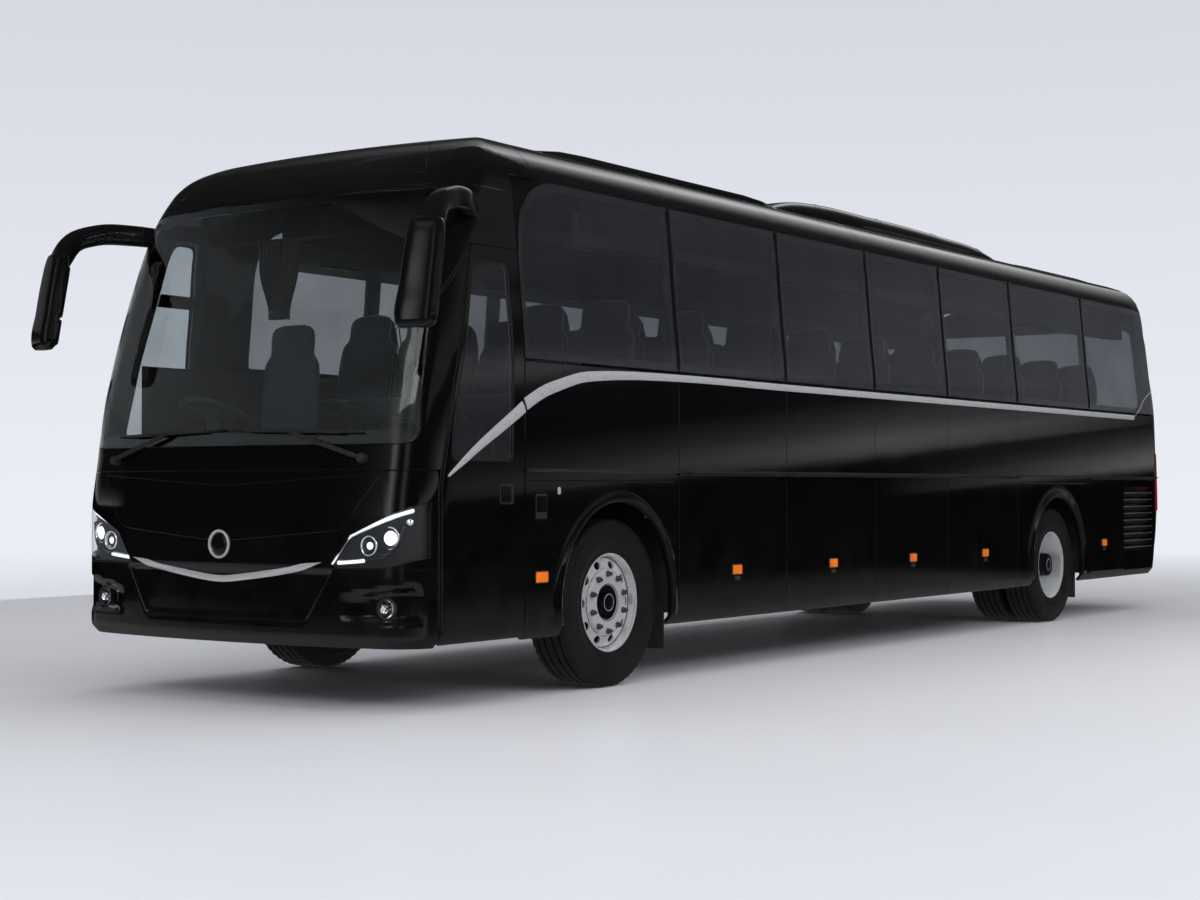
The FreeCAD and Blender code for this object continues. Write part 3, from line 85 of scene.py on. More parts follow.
bodyForm = {
    "frontOverhang": 1.95, "rearOverhang": 2.80,
    "frontRadius": 5.80, "frontCorner": 0.24,
    "rearRadius": 8.00, "rearCorner": 0.18,
    "crownHeight": 3.155, "roofEdge": (0.88, 3.13),
    "shoulderCentre": (0.780, 2.685), "shoulderRadius": 0.456,
    "domeCentre": (-4.48, 2.35), "rearCentre": 5.0,
    # height, then how far the front, the rear and the side stand in
    "levels": [
        (0.330, 0.030, 0.150, 0.040), (0.390, 0.000, 0.125, 0.000), (1.000, 0.000, 0.000, 0.000),
        (1.310, 0.040, 0.015, 0.000), (1.640, 0.093, 0.040, 0.000), (1.850, 0.150, 0.060, 0.000),
        (2.250, 0.256, 0.095, 0.033), (2.690, 0.416, 0.140, 0.069), (2.885, 0.545, 0.165, 0.085),
        (2.990, 0.660, 0.195, 0.085), (3.070, 0.810, 0.240, 0.085), (3.130, 1.010, 0.320, 0.085),
        (3.180, 1.300, 0.480, 0.085)],
}
frontEnd = frontAxle - bodyForm["frontOverhang"]
rearEnd = rearAxle + bodyForm["rearOverhang"]
levels = np.array(bodyForm["levels"])


def levelSlopes(values):
    # Slopes that keep the curve through the levels from swinging past them.
    steps = np.diff(levels[:, 0])
    rises = np.diff(values) / steps
    slopes = np.concatenate([[rises[0]], np.zeros(len(rises) - 1), [rises[-1]]])
    for i in range(1, len(rises)):
        if rises[i - 1] * rises[i] > 0:
            slopes[i] = 2 / (1 / rises[i - 1] + 1 / rises[i])
    return slopes


levelRows = {name: (levels[:, i], levelSlopes(levels[:, i]))
             for i, name in ((1, "front"), (2, "rear"), (3, "side"))}


def setBack(z, name):
    # How far the front, rear or side stands in at a height.
    heights = levels[:, 0]
    values, slopes = levelRows[name]
    z = np.clip(z, heights[0], heights[-1])
    i = np.clip(np.searchsorted(heights, z) - 1, 0, len(heights) - 2)
    step = heights[i + 1] - heights[i]
    t = (z - heights[i]) / step
    return ((1 + 2 * t) * (1 - t) ** 2 * values[i] + t * (1 - t) ** 2 * step * slopes[i]
            + t * t * (3 - 2 * t) * values[i + 1] - t * t * (1 - t) * step * slopes[i + 1])


def smooth(value, low, high):
    t = np.clip((value - low) / (high - low), 0, 1)
    return t * t * (3 - 2 * t)


def endDistance(x, inward, half, radius, corner):
    # Distance outside one rounded end in plan: x from the middle, inward from the end.
    xc = half - corner
    vc = radius - np.sqrt((radius - corner) ** 2 - xc ** 2)
    nx, nv = xc / (radius - corner), (vc - radius) / (radius - corner)
    dx, dv = x - xc, inward - vc
    face = np.hypot(x, radius - inward) - radius
    turn = np.hypot(dx, dv) - corner
    wedge = (nx * dv - nv * dx > 0) & (dv < 0)
    return np.where(dv >= 0, x - half, np.where(wedge, turn, face))


def bodyField(p):
    # Distance outside the body's outer form, negative inside.
    x, y, z = np.abs(p[:, 0]), p[:, 1], p[:, 2]
    half = halfWidth - setBack(z, "side")
    front = endDistance(x, y - frontEnd - setBack(z, "front"), half,
                        bodyForm["frontRadius"], bodyForm["frontCorner"])
    rear = endDistance(x, rearEnd - setBack(z, "rear") - y, half,
                       bodyForm["rearRadius"], bodyForm["rearCorner"])
    plan = np.where(y < 0, front, rear)
    edgeX, edgeZ = bodyForm["roofEdge"]
    drop = bodyForm["crownHeight"] - edgeZ
    crown = z - bodyForm["crownHeight"] + drop * (x / edgeX) ** 2
    cx, cz = bodyForm["shoulderCentre"]
    below = np.maximum(cz - z, 0)
    shoulder = np.hypot(x - cx, np.maximum(z - cz, 0)) - bodyForm["shoulderRadius"] - 3 * below ** 2
    mix = smooth(x, edgeX - 0.07, edgeX + 0.05)
    roof = crown * (1 - mix) + shoulder * mix
    ends = np.maximum(smooth(-y, 4.3, 4.9), smooth(y, 5.1, 5.5))
    k = 0.006 + 0.10 * ends
    h = np.clip(0.5 + 0.5 * (plan - roof) / k, 0, 1)
    return roof * (1 - h) + plan * h + k * h * (1 - h)


def onBody(origin, direction, relief=None, lift=0.0):
    # Where rays from inside meet the body, and its normals there.
    def depth(p):
        value = bodyField(p) - lift
        return value if relief is None else value + relief(p)

    near, far = np.zeros(len(origin)), np.full(len(origin), 3.2)
    for _ in range(26):
        middle = (near + far) / 2
        inside = depth(origin + middle[:, None] * direction) < 0
        near, far = np.where(inside, middle, near), np.where(inside, far, middle)
    p = origin + near[:, None] * direction
    e = 0.0015
    normal = np.stack([depth(p + e * axis) - depth(p - e * axis) for axis in np.eye(3)], 1)
    return p, normal / np.linalg.norm(normal, axis=1)[:, None]


# Each of these turns flat places into rays. In plan, an angle is told as 1.2 m of arc.
arcReach = 1.2


def leftRays(q):
    n = len(q)
    return np.stack([np.zeros(n), q[:, 0], q[:, 1]], 1), np.tile((1.0, 0, 0), (n, 1))


def rightRays(q):
    n = len(q)
    return np.stack([np.zeros(n), q[:, 0], q[:, 1]], 1), np.tile((-1.0, 0, 0), (n, 1))


def frontRays(q):
    a = q[:, 0] / arcReach
    n = len(q)
    return (np.stack([np.zeros(n), np.full(n, bodyForm["domeCentre"][0]), q[:, 1]], 1),
            np.stack([np.sin(a), -np.cos(a), np.zeros(n)], 1))


def rearRays(q):
    a = q[:, 0] / arcReach
    n = len(q)
    return (np.stack([np.zeros(n), np.full(n, bodyForm["rearCentre"]), q[:, 1]], 1),
            np.stack([np.sin(a), np.cos(a), np.zeros(n)], 1))


def domeRays(q, y=None, way=-1):
    b, a = q[:, 0] / arcReach, q[:, 1]
    y = bodyForm["domeCentre"][0] if y is None else y
    return (np.tile((0.0, y, bodyForm["domeCentre"][1]), (len(q), 1)),
            np.stack([np.sin(b), way * np.cos(b) * np.cos(a), np.cos(b) * np.sin(a)], 1))


def rearDomeRays(q):
    return domeRays(q, bodyForm["rearCentre"], 1)


def domeFlat(p, y=None, way=-1):
    # The dome's flat places for points on it.
    y = bodyForm["domeCentre"][0] if y is None else y
    ahead, up = way * (p[:, 1] - y), p[:, 2] - bodyForm["domeCentre"][1]
    flat = np.stack([np.arctan2(p[:, 0], np.hypot(ahead, up)) * arcReach, np.arctan2(up, ahead)], 1)
    return [tuple(q) for q in flat]


def roofRays(q):
    a = q[:, 0] / arcReach
    n = len(q)
    return (np.stack([np.zeros(n), q[:, 1], np.full(n, 2.35)], 1),
            np.stack([np.sin(a), np.zeros(n), np.cos(a)], 1))


def frontAt(x, z):
    # The front's flat place for a distance across.
    half = halfWidth - float(setBack(z, "side"))
    rc, radius = bodyForm["frontCorner"], bodyForm["frontRadius"]
    xc = half - rc
    vc = radius - math.sqrt((radius - rc) ** 2 - xc ** 2)
    meet = xc * radius / (radius - rc)
    side = abs(x)
    if side <= meet:
        inward = radius - math.sqrt(radius ** 2 - side ** 2)
    else:
        inward = vc - math.sqrt(max(rc ** 2 - (side - xc) ** 2, 0))
    y = frontEnd + float(setBack(z, "front")) + inward
    a = math.atan2(side, bodyForm["domeCentre"][0] - y) * arcReach
    return (math.copysign(a, x), z)


def endAt(y, z, side=1, rear=False):
    # The front's or rear's flat place for a distance along the coach, round the corner.
    half = halfWidth - float(setBack(z, "side"))
    name = "rear" if rear else "front"
    rc, radius = bodyForm[name + "Corner"], bodyForm[name + "Radius"]
    inward = (rearEnd - y if rear else y - frontEnd) - float(setBack(z, name))
    xc = half - rc
    vc = radius - math.sqrt((radius - rc) ** 2 - xc ** 2)
    x = half if inward >= vc else xc + math.sqrt(max(rc ** 2 - (vc - inward) ** 2, 0))
    away = y - bodyForm["rearCentre"] if rear else bodyForm["domeCentre"][0] - y
    return (side * math.atan2(x, away) * arcReach, z)


def meshPiece(name, points, faces, finish, body="body", slot=None, normals=None):
    mesh = bpy.data.meshes.new(name)
    mesh.from_pydata([tuple(p) for p in points], [], [tuple(int(i) for i in f) for f in faces])
    mesh.polygons.foreach_set("use_smooth", [True] * len(mesh.polygons))
    piece = bpy.data.objects.new(name, mesh)
    scene.collection.objects.link(piece)
    mesh.materials.append(finish)
    if normals is not None:
        mesh.normals_split_custom_set_from_vertices([tuple(n) for n in normals])
    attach(piece, body)
    slot = slotOf.get(finish.name) if slot is None else slot
    return piece


def solidPiece(name, points, faces, finish, body="body", slot=None, sharp=None, replaces=()):
    # A piece whose faces are turned outwards, with edges above the given angle sharp.
    piece = meshPiece(name, points, faces, finish, body, slot)
    fixNormals(piece)
    if sharp:
        piece.data.set_sharp_from_angle(angle=math.radians(sharp))
    if replaces:
        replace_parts(piece, *replaces)
    return piece


def fixNormals(piece):
    turnOutwards(piece.data)


def turnOutwards(mesh):
    work = bmesh.new()
    work.from_mesh(mesh)
    bmesh.ops.recalc_face_normals(work, faces=work.faces)
    work.to_mesh(mesh)
    work.free()


def gridFaces(rows, count, closed=True, start=0):
    # Faces between rows of points; closed rows join their ends.
    return [(start + i * count + j, start + i * count + (j + 1) % count,
             start + (i + 1) * count + (j + 1) % count, start + (i + 1) * count + j)
            for i in range(rows - 1) for j in range(count if closed else count - 1)]


def endFaces(rows, count):
    return [tuple(range(count)), tuple(range((rows - 1) * count, rows * count))]


def turnFaces(columns, count, closed=False):
    # Faces between columns of points set round an axle.
    return [(i * count + j, (i + 1) % columns * count + j, (i + 1) % columns * count + (j + 1) % count,
             i * count + (j + 1) % count)
            for i in range(columns) for j in range(count if closed else count - 1)]


def squircle(angle, power):
    # A point of a rounded square: a circle at power 2, squarer above it.
    return [math.copysign(abs(c) ** (2 / power), c) for c in (math.cos(angle), math.sin(angle))]


def rect(left, right, low, high):
    return [(left, low), (right, low), (right, high), (left, high)]


def spaced(outline, step):
    # A closed outline with its straight runs divided.
    out = []
    for i, a in enumerate(outline):
        b = outline[(i + 1) % len(outline)]
        parts = max(1, int(math.ceil(math.dist(a, b) / step)))
        for j in range(parts):
            t = j / parts
            out.append((a[0] + (b[0] - a[0]) * t, a[1] + (b[1] - a[1]) * t))
    return out


def rounded(outline, radius, parts=5):
    # A closed outline with each corner turned by an arc.
    out = []
    for i, p in enumerate(outline):
        before, after = outline[i - 1], outline[(i + 1) % len(outline)]
        r = radius[i] if isinstance(radius, (list, tuple)) else radius
        if r <= 0:
            out.append(p)
            continue
        p, back, ahead = Vector(p), Vector(before) - Vector(p), Vector(after) - Vector(p)
        cutBack = min(r, back.length * 0.48)
        cutAhead = min(r, ahead.length * 0.48)
        a, b = p + back.normalized() * cutBack, p + ahead.normalized() * cutAhead
        for j in range(parts + 1):
            t = j / parts
            out.append(tuple(a * (1 - t) ** 2 + p * 2 * t * (1 - t) + b * t * t))
    return out


def shrunk(outline, distance):
    # A closed outline moved inwards.
    area = sum(a[0] * b[1] - b[0] * a[1] for a, b in zip(outline, outline[1:] + outline[:1]))
    sign = 1 if area > 0 else -1
    out = []
    for i, p in enumerate(outline):
        a, b, c = Vector(outline[i - 1]), Vector(p), Vector(outline[(i + 1) % len(outline)])
        e, f = (b - a), (c - b)
        if e.length < 1e-9 or f.length < 1e-9:
            out.append(tuple(b))
            continue
        e, f = e.normalized(), f.normalized()
        n = Vector((-e.y - f.y, e.x + f.x)) * sign
        n = n.normalized() if n.length > 1e-6 else Vector((-e.y, e.x)) * sign
        lean = max(0.35, n.dot(Vector((-e.y, e.x)) * sign))
        out.append(tuple(b + n * distance / lean))
    return out


def within(points, outline):
    inside = np.zeros(len(points), bool)
    x, y = points[:, 0], points[:, 1]
    for i, (ax, ay) in enumerate(outline):
        bx, by = outline[(i + 1) % len(outline)]
        crosses = (ay > y) != (by > y)
        if by != ay:
            inside ^= crosses & (x < (bx - ax) * (y - ay) / (by - ay) + ax)
    return inside


def edgeDistance(points, outline):
    # Distance of each point from a closed outline.
    best = np.full(len(points), 1e9)
    for i, a in enumerate(outline):
        a, b = np.array(a), np.array(outline[(i + 1) % len(outline)])
        run = b - a
        t = np.clip(((points - a) @ run) / max(run @ run, 1e-12), 0, 1)
        best = np.minimum(best, np.linalg.norm(points - a - t[:, None] * run, axis=1))
    return best


def surfaceOf(rays, relief=None, lift=0.0):
    def place(q):
        origin, direction = rays(q)
        return onBody(origin, direction, relief, lift)
    return place


def panel(name, outline, place, finish, body="body", step=0.03, edge=0.003, depth=0.014,
          holes=(), slot=None, replaces=(), back=False, lines=()):
    # A sheet cut to an outline, with its edges rolled inwards. A pane has a back too.
    loops = [spaced(outline, step)] + [spaced(h, step) for h in holes]
    border = [p for loop in loops for p in loop]
    low, high = np.min(loops[0], axis=0), np.max(loops[0], axis=0)
    u, v = np.meshgrid(np.arange(low[0] + step / 2, high[0], step),
                       np.arange(low[1] + step / 2, high[1], step))
    inner = np.stack([u.ravel(), v.ravel()], 1)
    keep = within(inner, loops[0])
    inner = inner[keep]
    for loop in loops[1:]:
        inner = inner[~within(inner, loop)]
    for loop in loops:
        inner = inner[edgeDistance(inner, loop) > 0.55 * step]
    chains = []
    for line in lines:
        chain = np.array(line)[within(np.array(line), loops[0])]
        for loop in loops:
            chain = chain[edgeDistance(chain, loop) > 0.004]
        for a, b in zip(chain, chain[1:]):
            gap = np.linalg.norm(inner - (a + b) / 2, axis=1)
            inner = inner[gap > 0.5 * step + 0.5 * np.linalg.norm(b - a)]
        chains.append(chain)
    links, start = [], 0
    for loop in loops:
        links += [(start + i, start + (i + 1) % len(loop)) for i in range(len(loop))]
        start += len(loop)
    flat = [Vector(p) for p in border]
    for chain in chains:
        links += [(start + i, start + i + 1) for i in range(len(chain) - 1)
                  if np.linalg.norm(chain[i + 1] - chain[i]) < 3 * step]
        start += len(chain)
        flat += [Vector(p) for p in chain]
    flat += [Vector(p) for p in inner]
    verts, _, faces, origins, _, _ = delaunay_2d_cdt(flat, links, [], 0, 1e-7)
    q = np.array([tuple(p) for p in verts])
    centres = np.array([q[list(f)].mean(0) for f in faces])
    good = within(centres, loops[0])
    for loop in loops[1:]:
        good &= ~within(centres, loop)
    faces = [list(f) for f, ok in zip(faces, good) if ok]
    fronts, shut, found = list(faces), [], {}
    for i, olds in enumerate(origins):
        for old in olds:
            found[old] = i
    points, normals = place(q)
    points, normals = [points], [normals]
    total, start = len(q), 0
    for number, loop in enumerate(loops):
        ring = [found[start + i] for i in range(len(loop))]
        start += len(loop)
        flatRing = q[ring]
        run = np.roll(flatRing, -1, 0) - np.roll(flatRing, 1, 0)
        turn = 1 if np.sum(flatRing[:, 0] * np.roll(flatRing[:, 1], -1)
                           - np.roll(flatRing[:, 0], -1) * flatRing[:, 1]) > 0 else -1
        out = np.stack([run[:, 1], -run[:, 0]], 1) * turn * (1 if number == 0 else -1)
        out /= np.maximum(np.linalg.norm(out, axis=1), 1e-9)[:, None]
        p, n = points[0][ring], normals[0][ring]
        away = place(flatRing + 0.003 * out)[0] - p
        away -= np.sum(away * n, 1)[:, None] * n
        away /= np.maximum(np.linalg.norm(away, axis=1), 1e-9)[:, None]
        last = ring
        rows = [(math.radians(a), 0) for a in (30, 60, 90)] + [(math.radians(90), depth)]
        for turned, sunk in rows:
            points.append(p + edge * math.sin(turned) * away
                          - (edge * (1 - math.cos(turned)) + sunk) * n)
            normals.append(math.cos(turned) * n + math.sin(turned) * away)
            fresh = list(range(total, total + len(ring)))
            total += len(ring)
            for i in range(len(ring)):
                j = (i + 1) % len(ring)
                faces.append([last[i], last[j], fresh[j], fresh[i]])
            last = fresh
        if back:
            shut.append((ring, last))
    if back:
        points.append(points[0] - (edge + depth) * normals[0])
        normals.append(-normals[0])
        faces += [[i + total for i in reversed(f)] for f in fronts]
        for ring, last in shut:
            for i in range(len(ring)):
                j = (i + 1) % len(ring)
                faces.append([last[i], last[j], ring[j] + total, ring[i] + total])
    points, normals = np.concatenate(points), np.concatenate(normals)
    for f in faces:
        a, b, c = points[f[0]], points[f[1]], points[f[2]]
        if np.dot(np.cross(b - a, c - a), normals[f[0]] + normals[f[1]] + normals[f[2]]) < 0:
            f.reverse()
    piece = meshPiece(name, points, faces, finish, body, slot, normals)
    if replaces:
        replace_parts(piece, *replaces)
    return piece


def swept(name, stations, finish, body="body", slot=None, parts=20, caps=True, power=2.0):
    # A skin through stations of (centre, one half-axis, the other half-axis).
    points = []
    for centre, a, b in stations:
        for i in range(parts):
            u, v = squircle(2 * math.pi * i / parts, power)
            points.append(Vector(centre) + Vector(a) * u + Vector(b) * v)
    faces = gridFaces(len(stations), parts)
    if caps:
        faces.append(tuple(range(parts))[::-1])
        k = (len(stations) - 1) * parts
        faces.append(tuple(range(k, k + parts)))
    return solidPiece(name, points, faces, finish, body, slot)


def lathe(name, profile, centre, finish, body, slot=None, parts=96, closed=False):
    # A profile of (distance outwards along X, radius) turned about the axle.
    points = []
    for i in range(parts):
        t = 2 * math.pi * i / parts
        for x, r in profile:
            points.append((centre[0] + x, centre[1] + r * math.cos(t), centre[2] + r * math.sin(t)))
    return solidPiece(name, points, turnFaces(parts, len(profile), closed), finish, body, slot)


def blockPiece(name, low, high, finish, body="body", slot=None, edge=0.004):
    # A block with eased edges.
    work = bmesh.new()
    bmesh.ops.create_cube(work, size=1)
    for v in work.verts:
        v.co = Vector([low[i] if v.co[i] < 0 else high[i] for i in range(3)])
    bmesh.ops.bevel(work, geom=list(work.edges), offset=edge, segments=3, profile=0.5,
                    affect="EDGES", clamp_overlap=True)
    mesh = bpy.data.meshes.new(name)
    work.to_mesh(mesh)
    work.free()
    mesh.polygons.foreach_set("use_smooth", [True] * len(mesh.polygons))
    mesh.materials.append(finish)
    piece = bpy.data.objects.new(name, mesh)
    scene.collection.objects.link(piece)
    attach(piece, body)
    slot = slotOf.get(finish.name) if slot is None else slot
    return piece


# Shader groups shared by the materials


def shaderGroup(name, inputs, outputs):
    tree = bpy.data.node_groups.new(name, "ShaderNodeTree")
    for label, kind, value in inputs:
        socket = tree.interface.new_socket(label, in_out="INPUT", socket_type="NodeSocket" + kind)
        socket.default_value = value
    for label, kind in outputs:
        tree.interface.new_socket(label, in_out="OUTPUT", socket_type="NodeSocket" + kind)
    return tree, tree.nodes.new("NodeGroupInput"), tree.nodes.new("NodeGroupOutput")


def setSocket(tree, socket, value):
    # A link where the value is a socket itself; a colour without alpha gets one.
    if isinstance(value, bpy.types.NodeSocket):
        tree.links.new(value, socket)
    elif isinstance(value, tuple) and len(value) == 3 and len(socket.default_value) == 4:
        socket.default_value = (*value, 1.0)
    else:
        socket.default_value = value


def feed(tree, node, **values):
    for label, value in values.items():
        setSocket(tree, node.inputs[label.replace("_", " ")], value)
    return node


def addNode(tree, kind, values=None, **settings):
    node = tree.nodes.new("ShaderNode" + kind)
    for key, value in settings.items():
        setattr(node, key, value)
    for key, value in (values or {}).items():
        setSocket(tree, node.inputs[key], value)
    return node


def objectPlace(tree):
    return addNode(tree, "TexCoord").outputs["Object"]


def mathNode(tree, operation, first, second=0.0, clamp=False):
    return addNode(tree, "Math", {0: first, 1: second}, operation=operation,
                   use_clamp=clamp).outputs[0]


def ramp(tree, value, low, high, toLow=0.0, toHigh=1.0):
    return addNode(tree, "MapRange", {"Value": value, "From Min": low, "From Max": high,
                                      "To Min": toLow, "To Max": toHigh}).outputs["Result"]


def noise(tree, place, scale, detail, **more):
    return addNode(tree, "TexNoise", {"Vector": place, "Scale": scale, "Detail": detail,
                                      **more}).outputs["Fac"]


def bumped(tree, height, strength, distance, **more):
    return addNode(tree, "Bump", {"Height": height, "Strength": strength, "Distance": distance,
                                  **more}).outputs["Normal"]


def makeRoadDust():
    # Grey film that thickens towards the road: a mask from 0 to 1.
    tree, source, sink = shaderGroup("roadDust", [
        ("Amount", "Float", 0.3), ("Top", "Float", 1.3), ("Scale", "Float", 6.0)],
        [("Mask", "Float")])
    place = objectPlace(tree)
    height = addNode(tree, "SeparateXYZ", {0: place}).outputs["Z"]
    fall = addNode(tree, "MapRange", {"Value": height, "From Min": 0.2, "From Max": source.outputs["Top"],
                                      "To Min": 1.0, "To Max": 0.0}).outputs["Result"]
    cloud = noise(tree, place, source.outputs["Scale"], 5.0, Roughness=0.62)
    speck = noise(tree, place, 90.0, 2.0)
    mixed = mathNode(tree, "MULTIPLY", ramp(tree, cloud, 0.35, 0.75), ramp(tree, speck, 0.3, 0.7, 0.6, 1.0))
    mask = mathNode(tree, "MULTIPLY", mathNode(tree, "MULTIPLY", mixed, fall),
                    source.outputs["Amount"], True)
    feed(tree, sink, Mask=mask)
    return tree


def makeSkinRipple():
    # The faint waviness of sprayed or moulded skins, as a normal.
    tree, source, sink = shaderGroup("skinRipple", [
        ("Scale", "Float", 400.0), ("Fine", "Float", 0.02), ("Wave", "Float", 0.02)],
        [("Normal", "Vector")])
    place = objectPlace(tree)
    fine = noise(tree, place, source.outputs["Scale"], 2.0)
    wave = noise(tree, place, 2.2, 1.0)
    first = bumped(tree, wave, source.outputs["Wave"], 0.05)
    second = bumped(tree, fine, source.outputs["Fine"], 0.001, Normal=first)
    feed(tree, sink, Normal=second)
    return tree


def makeGrain():
    # Moulded or rubbed grain: a height, and a mask for colour and roughness.
    tree, source, sink = shaderGroup("grain", [
        ("Scale", "Float", 300.0), ("Patches", "Float", 8.0), ("Strength", "Float", 0.2),
        ("Depth", "Float", 0.0008)], [("Mask", "Float"), ("Normal", "Vector")])
    place = objectPlace(tree)
    cells = addNode(tree, "TexVoronoi", {"Vector": place, "Scale": source.outputs["Scale"]},
                    feature="SMOOTH_F1").outputs["Distance"]
    patch = noise(tree, place, source.outputs["Patches"], 4.0)
    bump = bumped(tree, cells, source.outputs["Strength"], source.outputs["Depth"])
    feed(tree, sink, Mask=ramp(tree, patch, 0.3, 0.7), Normal=bump)
    return tree


def makeBrushed():
    # Polishing marks round an axle or along a strip.
    tree, source, sink = shaderGroup("brushed", [
        ("Stretch", "Vector", (1.0, 1.0, 1.0)), ("Scale", "Float", 120.0),
        ("Strength", "Float", 0.08)], [("Mask", "Float"), ("Normal", "Vector")])
    place = addNode(tree, "VectorMath", {0: objectPlace(tree), 1: source.outputs["Stretch"]},
                    operation="MULTIPLY").outputs["Vector"]
    lines = noise(tree, place, source.outputs["Scale"], 3.0)
    bump = bumped(tree, lines, source.outputs["Strength"], 0.0006)
    feed(tree, sink, Mask=ramp(tree, lines, 0.3, 0.7), Normal=bump)
    return tree


def makeWeave():
    # Crossed threads with a slow change of shade.
    tree, source, sink = shaderGroup("weave", [
        ("Threads", "Float", 500.0), ("Strength", "Float", 0.5)],
        [("Mask", "Float"), ("Shade", "Float"), ("Normal", "Vector")])
    place = objectPlace(tree)
    x, y, z = (addNode(tree, "SeparateXYZ", {0: place}).outputs[i] for i in range(3))
    across = mathNode(tree, "SINE", mathNode(tree, "MULTIPLY", mathNode(tree, "ADD", x, y),
                                             source.outputs["Threads"]))
    along = mathNode(tree, "SINE", mathNode(tree, "MULTIPLY", mathNode(tree, "SUBTRACT", z, y),
                                            source.outputs["Threads"]))
    threads = mathNode(tree, "MULTIPLY", across, along)
    shade = noise(tree, place, 5.0, 4.0)
    bump = bumped(tree, threads, source.outputs["Strength"], 0.001)
    feed(tree, sink, Mask=ramp(tree, threads, -1, 1), Shade=ramp(tree, shade, 0.3, 0.7), Normal=bump)
    return tree


roadDust, skinRipple, grain = makeRoadDust(), makeSkinRipple(), makeGrain()
brushed, weave = makeBrushed(), makeWeave()


def useGroup(tree, group, **values):
    node = tree.nodes.new("ShaderNodeGroup")
    node.node_tree = group
    return feed(tree, node, **values)


def mixColour(tree, mask, first, second):
    node = addNode(tree, "Mix", data_type="RGBA")
    for i, value in ((0, mask), (6, first), (7, second)):
        setSocket(tree, node.inputs[i], value)
    return node.outputs[2]


def newMaterial(name, **values):
    # A material whose plain values sit on the shader's own sockets.
    finish = bpy.data.materials.new(name)
    finish.use_nodes = True
    tree = finish.node_tree
    shader = tree.nodes["Principled BSDF"]
    feed(tree, shader, **values)
    return finish, tree, shader


def glossFinish(name, colour, rough=0.06, coat=1.0, dust=0.25, wave=0.03, fine=0.03,
                dustColour=(0.16, 0.145, 0.13), specular=0.5, dustTop=1.1):
    # Sprayed or moulded gloss with a dust film low down.
    finish, tree, shader = newMaterial(name, Coat_Weight=coat, Coat_Roughness=0.025,
                                       Specular_IOR_Level=specular)
    film = useGroup(tree, roadDust, Amount=dust, Top=dustTop).outputs["Mask"]
    place = objectPlace(tree)
    patch = noise(tree, place, 3.0, 3.0)
    dark = tuple(0.75 * c for c in colour)
    base = mixColour(tree, ramp(tree, patch, 0.3, 0.7), dark, colour)
    feed(tree, shader, Base_Color=mixColour(tree, film, base, dustColour),
         Roughness=mathNode(tree, "ADD", ramp(tree, patch, 0.3, 0.7, rough * 0.8, rough * 1.25),
                            mathNode(tree, "MULTIPLY", film, 0.45)),
         Normal=useGroup(tree, skinRipple, Fine=fine, Wave=wave).outputs["Normal"])
    return finish


def glassFinish(name, colour, rough=0.0, wave=0.004, bend=1.5):
    finish, tree, shader = newMaterial(name, Transmission_Weight=1.0, IOR=bend, Roughness=rough)
    cloud = noise(tree, objectPlace(tree), 2.5, 3.0)
    base = mixColour(tree, ramp(tree, cloud, 0.3, 0.7), tuple(0.85 * c for c in colour), colour)
    feed(tree, shader, Base_Color=base, Normal=useGroup(tree, skinRipple, Fine=0.0,
                                                        Wave=wave).outputs["Normal"])
    return finish


def grainFinish(name, colour, second, rough=(0.5, 0.7), scale=300.0, strength=0.25, depth=0.0008,
                dust=0.3, metal=0.0, coat=0.0, patches=8.0, dustColour=(0.2, 0.185, 0.165), dustTop=1.3):
    # Grained plastic, rubber, cast or painted metal.
    finish, tree, shader = newMaterial(name, Metallic=metal, Coat_Weight=coat)
    skin = useGroup(tree, grain, Scale=scale, Strength=strength, Depth=depth, Patches=patches)
    film = useGroup(tree, roadDust, Amount=dust, Top=dustTop).outputs["Mask"]
    base = mixColour(tree, skin.outputs["Mask"], colour, second)
    feed(tree, shader, Base_Color=mixColour(tree, film, base, dustColour),
         Roughness=ramp(tree, skin.outputs["Mask"], 0, 1, *rough), Normal=skin.outputs["Normal"])
    return finish


def metalFinish(name, colour, second, rough=(0.12, 0.25), stretch=(1.0, 1.0, 1.0), scale=120.0,
                strength=0.012, metal=1.0, dust=0.1):
    finish, tree, shader = newMaterial(name, Metallic=metal)
    marks = useGroup(tree, brushed, Stretch=stretch, Scale=scale, Strength=strength)
    film = useGroup(tree, roadDust, Amount=dust, Top=1.0).outputs["Mask"]
    base = mixColour(tree, marks.outputs["Mask"], colour, second)
    feed(tree, shader, Base_Color=mixColour(tree, film, base, (0.2, 0.19, 0.17)),
         Roughness=ramp(tree, marks.outputs["Mask"], 0, 1, *rough), Normal=marks.outputs["Normal"])
    return finish


def fabricFinish(name, colour, second, threads=500.0, sheen=0.3, strength=0.5):
    finish, tree, shader = newMaterial(name, Roughness=0.9, Sheen_Weight=sheen, Sheen_Roughness=0.5)
    cloth = useGroup(tree, weave, Threads=threads, Strength=strength)
    base = mixColour(tree, cloth.outputs["Shade"], colour, tuple(0.8 * c for c in colour))
    feed(tree, shader, Base_Color=mixColour(tree, cloth.outputs["Mask"], base, second),
         Normal=cloth.outputs["Normal"])
    return finish


